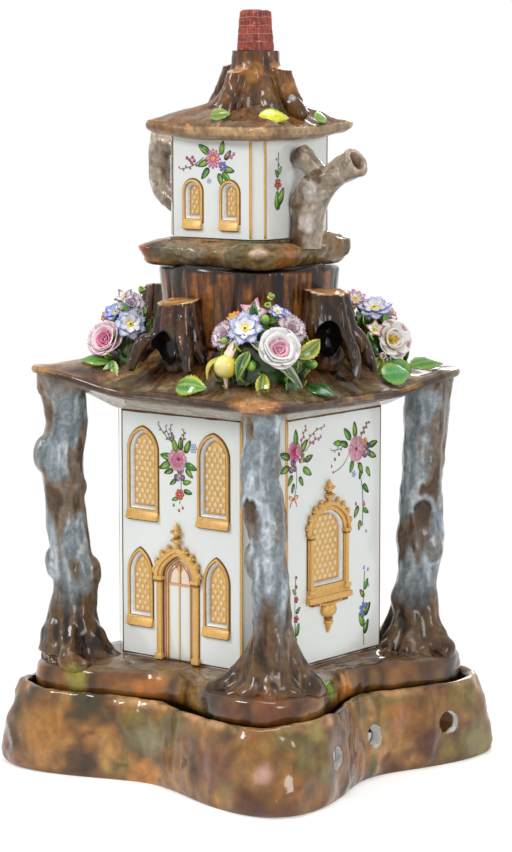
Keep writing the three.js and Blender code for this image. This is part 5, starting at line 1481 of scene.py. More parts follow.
def spout():
    """Two branches off the pot's wall that join in a cut stub, open through to the pot."""
    wall = POT_HALF + 0.6
    foot, top = POT_LOW[2], POT_HIGH[2]
    mouth = np.array([69.6, 0, foot + 39.9])
    aim = way_of(0, 28)
    parts = [
        tube([((37.4, 0, foot - 7), 8.2), ((38.4, 0, foot + 2), 8.6), ((40.2, 0, foot + 11), 8.0),
              ((43.6, 0, foot + 20), 7.6), ((49, 0, foot + 28), 7.4), ((56, 0, foot + 33), 7.2),
              (mouth - aim * 3.5, 7.4), (mouth, 7.9), (mouth + aim * 1.5, 7.7)],
             24, 4, 0.07, 3),
        tube([((wall + 1.5, 0, top - 9.5), 6.6), ((39, 0, top - 13), 5.6), ((46, 0, top - 19), 5.6),
              ((51, 0, foot + 28), 5.8)], 20, 4, 0.07, 5),
        tube([((wall + 2, 1, foot + 8), 4.5), ((36, -3.5, foot + 18), 4.6), ((43, -2, foot + 29), 5.0)], 14,
             4, 0.08, 7),
        tube([((60, -3, foot + 32), 5.2), ((62, -6.5, foot + 34), 3.4), ((62.6, -8.4, foot + 35), 2.0)], 12),
    ]
    bore = tube([((POT_HALF - 6, 0, foot + 10), 3.3), ((43, 0, foot + 13), 3.3), ((47.5, 0, foot + 26), 3.3),
                 ((53, 0, foot + 31.2), 3.5), (mouth - aim * 4, 4.2), (mouth + aim * 0.5, 5.0),
                 (mouth + aim * 6, 6.4)], 24, 4)
    block = chamfered_block(POT_HALF + 0.3, foot - 8, top + 6)
    under = box_block((20, -12, foot - 16), (60, 12, foot - 5.4))
    spots = [((33, -6, top - 8), 8, rgb(84, 54, 30)), (mouth - aim * 6, 7, rgb(112, 82, 54)),
             (mouth, 6.2, rgb(150, 128, 104)), ((36, -7, foot + 4), 9, rgb(108, 80, 50)),
             ((44, -7, foot + 8), 6, rgb(206, 196, 190)), ((46, -6, foot + 24), 6, rgb(198, 190, 184)),
             ((38, -6, foot + 22), 3.4, rgb(70, 48, 30)), ((50, -7, foot + 33), 5, rgb(96, 66, 40)),
             ((37, -8, foot - 2), 6, rgb(92, 62, 36)), (mouth + aim * 1.6, 7.4, rgb(196, 178, 156)),
             (mouth, 5.2, rgb(84, 62, 46))]
    obj = branch_skin("branch_spout", parts, [bore, block, under], spots, "teapot_spout", 81)
    sharpen(obj, 50)


def box_block(low, high):
    corners = [[(low, high)[i][0], (low, high)[j][1], (low, high)[k][2]] for i, j, k in np.ndindex(2, 2, 2)]
    faces = [(0, 1, 3, 2), (4, 6, 7, 5), (0, 4, 5, 1), (2, 3, 7, 6), (0, 2, 6, 4), (1, 5, 7, 3)]
    return np.array(corners), faces


def chamfered_block(half, low, high):
    """The pot's outside as a block, to trim what leans on it."""
    flat = half - POT_CHAMFER
    ring = [(half, -flat), (half, flat), (flat, half), (-flat, half), (-half, flat), (-half, -flat),
            (-flat, -half), (flat, -half)]
    points = [(x, y, z) for z in (low, high) for x, y in ring]
    faces = [tuple(reversed(range(8))), tuple(range(8, 16))]
    faces += [(i, (i + 1) % 8, 8 + (i + 1) % 8, 8 + i) for i in range(8)]
    return np.array(points, float), faces


def handle():
    """A flat-sided branch that stands up beside the eaves and bends back to the pot."""
    foot, top = POT_LOW[2], POT_HIGH[2]
    parts = [tube([((-30, 0, top - 12), 5.0), ((-44, 0, top - 9), 5.2), ((-56, 0, top - 5.6), 5.4),
                   ((-61.2, 0, top - 6), 6.0), ((-62.3, 0, top - 14), 5.9), ((-61.9, 0, foot + 26), 5.8),
                   ((-57.5, 0, foot + 20), 5.9), ((-49, 0, foot + 14.6), 5.6), ((-39, 0, foot + 9.4), 5.2),
                   ((-30, 0, foot + 6.6), 4.8)], 22, 4, 0.06, 9),
             tube([((-62, 0, top - 5), 5.2), ((-63, 0, top - 1.2), 4.4), ((-63.4, 0, top + 1.6), 3.2)], 16),
             tube([((-62, -4, foot + 24), 3.8), ((-62.5, -5.6, foot + 24), 2.2)], 12)]
    spots = [((-63, -5, foot + 24), 3, rgb(214, 206, 198)), ((-65, -3, top - 3), 5, rgb(190, 176, 154)),
             ((-62, -6, top - 14), 6, rgb(150, 140, 126)), ((-52, -6, foot + 14), 7, rgb(116, 100, 84))]
    block = chamfered_block(POT_HALF + 0.3, foot - 3, top + 6)
    branch_skin("branch_handle", parts, [block], spots, "teapot_handle", 91)


# Lid

# Leaves laid on the eaves: start, end, width, rib colour, edge colour
LID_LEAVES = [
    ((3, -36), (12, -30.5), 8, rgb(92, 130, 44), rgb(176, 186, 84)),
    ((27, -26), (38, -15), 9.5, rgb(236, 220, 48), rgb(130, 190, 70)),
    ((39, 6), (37, 18), 7, rgb(90, 156, 50), rgb(170, 200, 80)),
    ((-32, 22), (-22, 32), 8, rgb(90, 156, 50), rgb(196, 208, 84)),
]
EAVES_SLOPE = ([16, 22, 30, 38, 43], [15.6, 13.6, 10.6, 8.2, 6.4])  # radii, heights over the pot
LID_HALF = 41.6
LID_ROUNDING = 8


def leaned(x, y):
    """The facing of a leaf that lies on a slope and lifts its face outwards."""
    away = np.array([x, y]) / np.hypot(x, y)
    return np.array([away[0] * 0.8, away[1] * 0.8, 0.6])


def lid_outline(angle):
    return rounded_square(angle, LID_HALF, LID_ROUNDING) - 1.2 * np.cos(2 * angle) ** 2


def lid_roof():
    """Drooping eaves with lifted corners, and the flange that drops into the pot."""
    low, high = box_mm("lid_roof")
    foot = POT_HIGH[2] + 0.3

    def lift(angles):
        return 2.4 * sum(share * corner_share(angles, k) for k, share in enumerate((1.0, 0.8, 0.9, 0.0)))

    def rim(offset, height, share):
        return lambda angles: (lid_outline(angles) + offset, foot + height + share * lift(angles))

    def top(share, height):
        return lambda angles: (lid_outline(angles) * share, foot + height + 0.9 * share * lift(angles))

    def flange(inset, level):
        return lambda angles: (chamfered_square(angles, POT_HALF - 3.9 - inset, POT_CHAMFER), level)

    profile = [flat_ring(1, foot + 17), top(0.2, 17), top(0.34, 16.8), top(0.5, 14.6), top(0.68, 11.2),
               top(0.85, 8.2), rim(-2.6, 6.1, 0.95), rim(-1.0, 5.0, 0.9), rim(-0.2, 3.4, 1.2),
               rim(-0.6, 0.4, 1.5), rim(-2.4, -1.5, 1.7), rim(-5, -1.9, 1.3), rim(-10, -0.4, 0.3),
               flange(0, foot + 0.1), flange(0, low[2] + 0.6), flange(0.6, low[2]), flange(2.2, low[2]),
               flange(2.7, low[2] + 1), flange(2.7, foot + 2), flat_ring(12, foot + 7),
               flat_ring(1, foot + 7)]
    rings, level = swept(profile, 300, 4, closed=False)
    upper = stretch(level, 1, 2.5, 6.2, 7.4)
    radius, angle = polar(rings)
    run = np.stack([20 * np.cos(angle), 20 * np.sin(angle), radius * 0.25], -1)
    rings[..., 2] += upper * (0.7 * ridged(run, 4.2, 5) + 0.5 * fractal(rings, 7, 9, 3) - 0.3)
    edge = stretch(level, 6, 7.4, 10.2, 11)
    rings = pushed_out(rings, edge * (0.3 * fractal(rings, 12, 11, 3) - 0.2))
    obj = ring_object("bark_lid_roof", rings, closed=False)
    points, normals = surface_of(obj)
    radius, angle = polar(points)
    run = np.column_stack([20 * np.cos(angle), 20 * np.sin(angle), radius * 0.25])
    colour = paint_bark(points, run / 3.4, 51)
    colour = mix(colour, rgb(134, 94, 52), 0.5 + 0.3 * fractal(points, 16, 52, 2))
    inset = radius - lid_outline(angle)
    specks = step(fractal(points, 2.6, 55, 2), 0.5, 0.9) * step(inset, -6, -2.6)
    colour = mix(colour, rgb(204, 128, 66), specks * 0.9)
    level = points[:, 2] - foot - lift(angle)
    band = step(inset, -2.6, -1.0) * (1 - step(level, 4.7, 5.7))
    tan = mix(rgb(176, 142, 100), rgb(132, 100, 68), step(fractal(points, 13, 57, 3), -0.3, 0.7))
    tan = mix(tan, rgb(196, 174, 146), step(points[:, 0] + points[:, 1], 10, 60) * 0.5)
    colour = mix(colour, tan, band)
    colour = mix(colour, rgb(150, 118, 88), (normals[:, 2] < -0.3) * (radius > 34))
    inner = (points[:, 2] < foot + 8) * (inset < -8.5) * (normals[:, 2] < 0.4)
    colour = mix(colour, rgb(226, 226, 220), inner)
    set_paint(obj, colour)
    dress(obj, "lid", BARK, ["lid_roof"])
    leaves = Heap()
    for start, end, width, tone, edge in LID_LEAVES:
        ends = []
        for x, y in (start, end):
            ends.append((x, y, foot + width * 0.22 + np.interp(np.hypot(x, y), *EAVES_SLOPE)))
        leaves.add(*blade(*ends, leaned(*start), width, tone, edge, 0.12, -0.1))
    piece("leaves_lid", leaves, "lid", "leaf_green", LEAF)


# Stubs on the lid's stump: (direction, reach, height)
LID_STUBS = ((2, 21, 24.5), (88, 20, 23), (180, 21, 25.5), (-88, 20, 23.5))
LID_ROOT_TURNS = (28, 60, 118, 150, 208, 240, 298, 332)


def lid_stump():
    """The stump on the lid with its four cut stubs and spreading roots."""
    low, high = box_mm("lid_stump")
    foot, top = low[2] + 3, high[2]
    heart = np.array([2.6, 2.0, 0])

    def at(height, x=0.0, y=0.0):
        return heart + [x, y, height]

    parts = [tube([(at(top + 3), 12.2), (at(top - 3), 12.9), (at(top - 12), 13.6), (at(top - 22), 16),
                   (at(foot + 7), 19.5), (at(foot + 2), 24), (at(foot - 2), 26)], 28, 4, 0.06, 3)]
    stubs = []
    for side, (turn, reach, tip) in enumerate(LID_STUBS):
        way = way_of(turn)
        head = at(foot + tip) + way * (reach - 3.5)
        parts.append(tube([(head + [0, 0, 2.5], 4.6), (head - [0, 0, 2], 4.9),
                           (at(foot + 13) + way * reach, 5.4), (at(foot + 5) + way * (reach + 4.5), 5.6),
                           (at(foot - 1) + way * (reach + 10), 3.0)], 18, 4, 0.08, side))
        parts.append(tube([(head, 3.6), (at(foot + tip - 4) + way * 9, 5.5)], 12))
        stubs.append((head + [0, 0, 0.5], way))
    for turn in LID_ROOT_TURNS:
        way = way_of(turn)
        parts.append(tube([(at(top - 8) + way * 9.5, 4.0), (at(foot + 11) + way * 14.5, 5.2),
                           (at(foot + 4) + way * 20, 5.4), (at(foot - 1) + way * 28, 3.4)], 12))
    obj = fused("bark_lid_stump", parts, 0.7, 14)
    points, normals = surface_of(obj)
    local = points - heart
    turn = polar(local)[1]
    run = np.column_stack([12 * np.cos(turn), 12 * np.sin(turn), local[:, 2] * 0.2])
    grooves = ridged(run, 4.2, 33)
    points = points + normals * (0.25 * grooves + 0.5 * fractal(points, 7, 15, 2))[:, None]
    colour = mix(paint_bark(points, run / 3, 61), rgb(128, 84, 44), 0.35)
    colour = mix(colour, rgb(170, 114, 56), step(fractal(points, 10, 63, 3), -0.1, 0.5) * 0.65)
    points, colour = creviced(points, normals, colour, [12, 12, 34], 47, 0.55)
    # painted highlight: pinkish streaks on the ridges
    colour = mix(colour, rgb(180, 150, 140), step(grooves + fractal(points, 9, 19, 2), 1.3, 1.8) * 0.55)
    points[:, 2] = np.minimum(points[:, 2], top)
    colour = mix(colour, rgb(70, 62, 54), points[:, 2] > top - 0.4)
    for head, way in stubs:
        flat = points - head
        near = np.linalg.norm(flat[:, :2], axis=1) < 7.5
        plane = head[2] - 0.25 * (flat @ way)
        cut = near & (points[:, 2] > plane - 0.3) & ((local @ way) > 13.2)
        points[:, 2] = np.where(cut, np.minimum(points[:, 2], plane), points[:, 2])
        colour = mix(colour, rgb(188, 138, 88), cut)
    hole = np.linalg.norm((local - [26.5, -2.5, foot + 9.5]), axis=1)
    colour = mix(colour, rgb(150, 148, 144), 1 - step(hole, 1.7, 2.3))
    low[2] -= 1
    points = np.clip(points, low, high)
    move_points(obj, points)
    set_paint(obj, colour)
    dress(obj, "lid", BARK, ["lid_stump"])
    sharpen(obj, 55)


CHIMNEY_HALVES = [8.1, 7.0]  # half its width at the foot and at the top
COURSES = 5


def chimney():
    """A tapered stack with rounded corners; thin pale mortar lines mark the bricks."""
    low, high = box_mm("chimney")
    middle = (low + high) / 2
    height = high[2] - low[2]

    def ring(level, cut=0.0):
        def row(angles):
            half = np.interp(level, [0, 1], CHIMNEY_HALVES) - cut
            return rounded_square(angles, half, 3.6), low[2] + level * height
        return row

    levels = [ring(0, 0.4), ring(0.01), *[ring(k / 40) for k in range(1, 38)],
              ring(0.955, 0.25), ring(0.985, 0.9), ring(1, 2.2)]
    rings = swept(levels, 360, 3, closed=False)[0]
    relief = 0.22 * fractal(rings, 3.4, 5, 3)
    rings = pushed_out(rings, relief - 0.25) + [middle[0], middle[1], 0]
    obj = ring_object("brick_chimney", rings, closed=False)
    points = surface_of(obj)[0]
    angle = polar(points - middle)[1]
    wave = noise(np.column_stack([angle * 8, 0 * angle, points[:, 2]]), 5, 7)
    level = (points[:, 2] - low[2]) / height * COURSES + 0.09 * wave
    course = np.floor(level)
    along = angle / tau * 10 + 0.5 * np.mod(course, 2) + 0.12 * np.sin(course * 5.1)
    flat = np.abs(level - course - 0.06) * height / COURSES
    upright = np.abs(along - np.floor(along) - 0.5) * 5.4
    wear_and_sheen = fractal(points, 4, 9, 2)
    line = np.maximum(1 - step(flat, 0.08, 0.24), (1 - step(upright, 0.06, 0.2)) * 0.8)
    line = line * step(wear_and_sheen, -0.75, -0.2) * step(points[:, 2], low[2] + 1.2, low[2] + 1.8)
    colour = mix(rgb(160, 60, 38), rgb(114, 38, 24), step(fractal(points, 3, 11, 3), -0.4, 0.6))
    colour = mix(colour, rgb(206, 150, 126), line * 0.7)
    set_paint(obj, colour)
    dress(obj, "lid", BRICK, ["chimney"])
    sharpen(obj, 60)


# Flowers: each is built round the origin, facing +Z

GREEN = rgb(70, 128, 48)
GREEN_DEEP = rgb(26, 62, 34)
GREEN_PALE = rgb(150, 186, 70)
LEMON = rgb(236, 216, 84)
PETAL_WHITE = rgb(238, 236, 234)
PINK = rgb(214, 128, 160)
ROSE_DEEP = rgb(150, 44, 88)
PURPLE = rgb(96, 40, 96)
BLUE = rgb(104, 124, 200)
ORANGE = rgb(214, 118, 40)


def sheet(rows, paint, thickness):
    """A closed thin sheet over a grid of points."""
    normal = np.cross(np.gradient(rows, axis=0), np.gradient(rows, axis=1))
    normal /= np.linalg.norm(normal, axis=-1, keepdims=True) + 1e-9
    count, across = rows.shape[:2]
    half = normal * thickness / 2
    points = np.concatenate([(rows + half).reshape(-1, 3), (rows - half).reshape(-1, 3)])
    total = count * across
    faces = grid_faces(count, across, columns_close=False)
    faces += [tuple(total + i for i in reversed(face)) for face in faces]
    index = np.arange(total).reshape(count, across)
    edge = [*index[0], *index[1:, -1], *index[-1, -2::-1], *index[-2:0:-1, 0]]
    faces += [(a, b, b + total, a + total) for a, b in zip(edge, edge[1:] + edge[:1])]
    return points, faces, np.concatenate([paint.reshape(-1, 3)] * 2)


def petal(length, width, colour, lift=0.0, cup=0.15, curl=0.0, notch=0.0, taper=0.25, power=2.0, fringe=0.0,
          thickness=0.6):
    """One petal along +X; colour is a function of the shares along and across."""
    u, v = np.meshgrid(np.linspace(0, 1, 9), np.linspace(-1, 1, 11), indexing="ij")
    edge = 1 - taper * np.abs(v) ** power - notch * np.exp(-(v / 0.3) ** 2) + fringe * np.cos(9 * pi * v / 2)
    spread = 0.22 + 0.78 * np.sin(pi / 2 * u ** 0.8)
    x = length * u * (1 - (1 - edge) * u)
    z = length * (lift * u + curl * u ** 3) + width * cup * v * v * spread
    return sheet(np.stack([x, width / 2 * v * spread, z], -1), colour(u, v), thickness)


def tips(base, tip, start, heart=None):
    """Petal colours: a heart, a base and tips that start at a share of the length."""
    heart = base if heart is None else heart
    return lambda u, v: mix(mix(heart, base, step(u, 0.15, 0.45)), tip,
                            step(u + 0.12 * v * v, start, start + 0.25))


def tilted(points, turn):
    """Points turned round Y by an angle in degrees."""
    c, s = cos(radians(turn)), sin(radians(turn))
    return points @ np.array([[c, 0, s], [0, 1, 0], [-s, 0, c]])


def whorl(heap, count, tilt, start, **form):
    """A ring of petals of one form, tilted up from flat."""
    for k in range(count):
        points, faces, paint = petal(**form)
        raised = tilted(points, tilt + 4 * sin(k * 2.3 + start))
        heap.add(turn_z(raised, start + 360 * k / count), faces, paint)


def button(heap, radius, height, colour, dot=None):
    """The flat heart of a flower, with or without a dot."""
    points, faces = lump((0, 0, height), (radius, radius, radius * 0.6), 12, 6)
    heap.add(points, faces, colour)
    if dot is not None:
        heap.add(*lump((0, 0, height + radius * 0.5), (radius * 0.3, radius * 0.3, radius * 0.3), 8, 4), dot)


def stamens(heap, count, reach, height, colour):
    """Fine threads with a bead on each."""
    for k in range(count):
        angle = k * 2.4
        away = reach * (0.35 + 0.65 * sqrt((k + 0.5) / count))
        foot, head = (0, 0, 0.5), (away * cos(angle), away * sin(angle), height)
        heap.add(*tube([(foot, 0.25), (head, 0.22)], 5, 1), colour)
        heap.add(*lump(head, (0.5, 0.5, 0.5), 6, 3), ORANGE)


def primula(size, edge=BLUE, base=PETAL_WHITE):
    heap = Heap()
    for count, tilt, start, length in ((7, 14, 0, 1.0), (6, 32, 24, 0.78)):
        whorl(heap, count, tilt, start, length=size * length, width=size * length * 0.78,
              colour=tips(base, edge, 0.78, LEMON), fringe=0.06, taper=0.35, power=1.5, cup=0.16, curl=-0.1)
    button(heap, size * 0.24, size * 0.08, LEMON, BLACK_BROWN)
    return heap


def star(size, edge=PINK):
    heap = Heap()
    form = {"length": size, "width": size * 0.82, "taper": 0.85, "power": 1.1, "cup": 0.18, "curl": -0.1}
    whorl(heap, 5, 18, 10, colour=tips(PETAL_WHITE, edge, 0.62, LEMON), **form)
    button(heap, size * 0.2, size * 0.1, LEMON, ORANGE)
    return heap


def rose(size, outer, inner, heart=ROSE_DEEP):
    """Cupped petals, paler outside, closing round a deep heart."""
    heap = Heap()
    layers = ((5, 42, 0, 1.0, 1.3, outer), (5, 60, 36, 0.9, 1.15, outer), (4, 72, 10, 0.74, 0.95, inner),
              (3, 82, 50, 0.62, 0.7, inner))
    for count, tilt, start, length, width, tone in layers:
        colour = tips(mix(tone, heart, 0.25), tone, 0.45, heart)
        whorl(heap, count, tilt, start, length=size * length, width=size * width, colour=colour, cup=0.3,
              curl=-0.12, taper=0.2)
    button(heap, size * 0.26, size * 0.42, heart)
    return heap


def anemone(size):
    def colour(u, v):
        base = mix(LEMON, PETAL_WHITE, step(u, 0.35, 0.7))
        spot = np.exp(-((u - 0.88) / 0.1) ** 2 - (v / 0.4) ** 2)
        return mix(base, rgb(156, 62, 34), step(spot, 0.25, 0.6) * 0.9)

    heap = Heap()
    whorl(heap, 6, 34, 0, length=size, width=size * 1.05, colour=colour, cup=0.22, curl=-0.1, notch=0.06)
    whorl(heap, 5, 52, 30, length=size * 0.72, width=size * 0.8, colour=colour, cup=0.25)
    stamens(heap, 14, size * 0.3, size * 0.36, LEMON)
    return heap


def carnation(size, edge=rgb(150, 84, 122), base=PETAL_WHITE):
    heap = Heap()
    for count, tilt, start, share in ((8, 14, 0, 1.0), (7, 36, 20, 0.85), (6, 58, 5, 0.66), (4, 76, 30, 0.5)):
        whorl(heap, count, tilt, start, length=size * share, width=size * share * 0.78,
              colour=tips(base, edge, 0.84), fringe=0.09, taper=0.12, cup=0.16)
    button(heap, size * 0.16, size * 0.36, edge)
    return heap


def daisy(size, edge=PINK, base=PETAL_WHITE):
    heap = Heap()
    whorl(heap, 11, 14, 0, length=size, width=size * 0.5, colour=tips(base, edge, 0.66), taper=0.4, cup=0.12,
          curl=-0.06)
    whorl(heap, 9, 30, 15, length=size * 0.74, width=size * 0.42, colour=tips(base, edge, 0.75), taper=0.4,
          cup=0.12)
    button(heap, size * 0.27, size * 0.16, LEMON, ORANGE)
    return heap


def cup(size, tone=ORANGE, rim=GREEN_PALE):
    """A green calyx on a stalk, open at the top, with a coloured throat."""
    heap = Heap()
    heap.add(*tube([((0, 0, -size * 2.4), size * 0.24), ((0, 0, -size * 0.6), size * 0.3)], 8, 3), GREEN)
    whorl(heap, 5, 66, 0, length=size * 1.3, width=size * 0.95, colour=tips(GREEN, rim, 0.7), cup=0.3,
          taper=0.3)
    button(heap, size * 0.5, size * 0.55, tone)
    return heap


def bud(size, tone=GREEN, tip=GREEN_PALE):
    heap = Heap()
    points, faces = lump((0, 0, size * 0.7), (size * 0.72, size * 0.72, size), 14, 9)
    heap.add(points, faces, mix(tone, tip, step(points[:, 2], size * 0.7, size * 1.6)))
    for k in range(4):
        points, faces, paint = petal(size * 1.25, size * 0.7, tips(GREEN_DEEP, GREEN, 0.3), cup=0.2,
                                     taper=0.7, power=1.2)
        heap.add(turn_z(tilted(points, 56), 90 * k), faces, paint)
    return heap


def lemon(size):
    """A round fruit with a nub and a stalk end."""
    heap = Heap()
    points, faces = lump((0, 0, size), (size, size, size * 1.04), 28, 18)
    nub = np.exp(-((points[:, 0] / (0.3 * size)) ** 2 + (points[:, 1] / (0.3 * size)) ** 2))
    points[:, 2] += 0.22 * size * nub * (points[:, 2] > size)
    colour = mix(LEMON, rgb(214, 190, 50), step(fractal(points, size * 0.8, 3, 2), -0.2, 0.8) * 0.5)
    # painted highlight: the fruit pales towards its nub end
    heap.add(points, faces, mix(colour, rgb(244, 232, 150), step(points[:, 2], size * 1.2, size * 2)))
    return heap


def posed(heap, spot, facing, spin=0.0):
    """Turns a flower from +Z to its facing and moves it to its spot."""
    turn = np.array(Vector((0, 0, 1)).rotation_difference(Vector(facing)).to_matrix())
    heap.points = [turn_z(points, spin) @ turn.T + spot for points in heap.points]
    return heap


def blade(start, end, up, width, tone, edge, bulge=0.2, fold=0.25, jagged=0.08):
    """A leaf between two spots, arched towards `up`, folded along its rib, with a toothed edge."""
    start, end, up = (np.asarray(a, float) for a in (start, end, up))
    run = end - start
    length = np.linalg.norm(run)
    side = np.cross(up, run)
    side /= np.linalg.norm(side) + 1e-9
    up = np.cross(run, side) / (length + 1e-9)
    u, v = np.meshgrid(np.linspace(0, 1, 19), np.linspace(-1, 1, 9), indexing="ij")
    half = width / 2 * (0.06 + 0.94 * np.sin(pi * u ** 0.75)) * (1 + jagged * np.cos(u * 50))
    rise = length * bulge * np.sin(pi * u) + width * fold * np.abs(v) ** 1.3 * np.sin(pi * u)
    rows = start + run * u[..., None] + side * (half * v)[..., None] + up * rise[..., None]
    colour = mix(tone, edge, step(np.abs(v), 0.35, 1.0) * 0.8)
    colour = mix(colour, mix(tone, edge, 0.5), 1 - step(np.abs(v), 0.02, 0.16))
    colour = mix(colour, edge, step(0.5 + 0.5 * v, 0.5, 1.1) * 0.5)
    return sheet(rows, colour, 0.8)


# Bouquets, one over each trunk: x runs out from the axis, y across, z up from the mound's middle

MOUND_MIDDLE = np.array([65, 0, HOUSE_TOP + 28.5])
MOUND_SIZE = np.array([14.5, 22, 25])


def on_mound(turn, rise, out=0.0):
    """The spot on the mound in a direction, moved out from its skin."""
    way = way_of(turn, rise)
    normal = way / MOUND_SIZE
    normal /= np.linalg.norm(normal)
    return MOUND_MIDDLE + way * MOUND_SIZE + normal * out


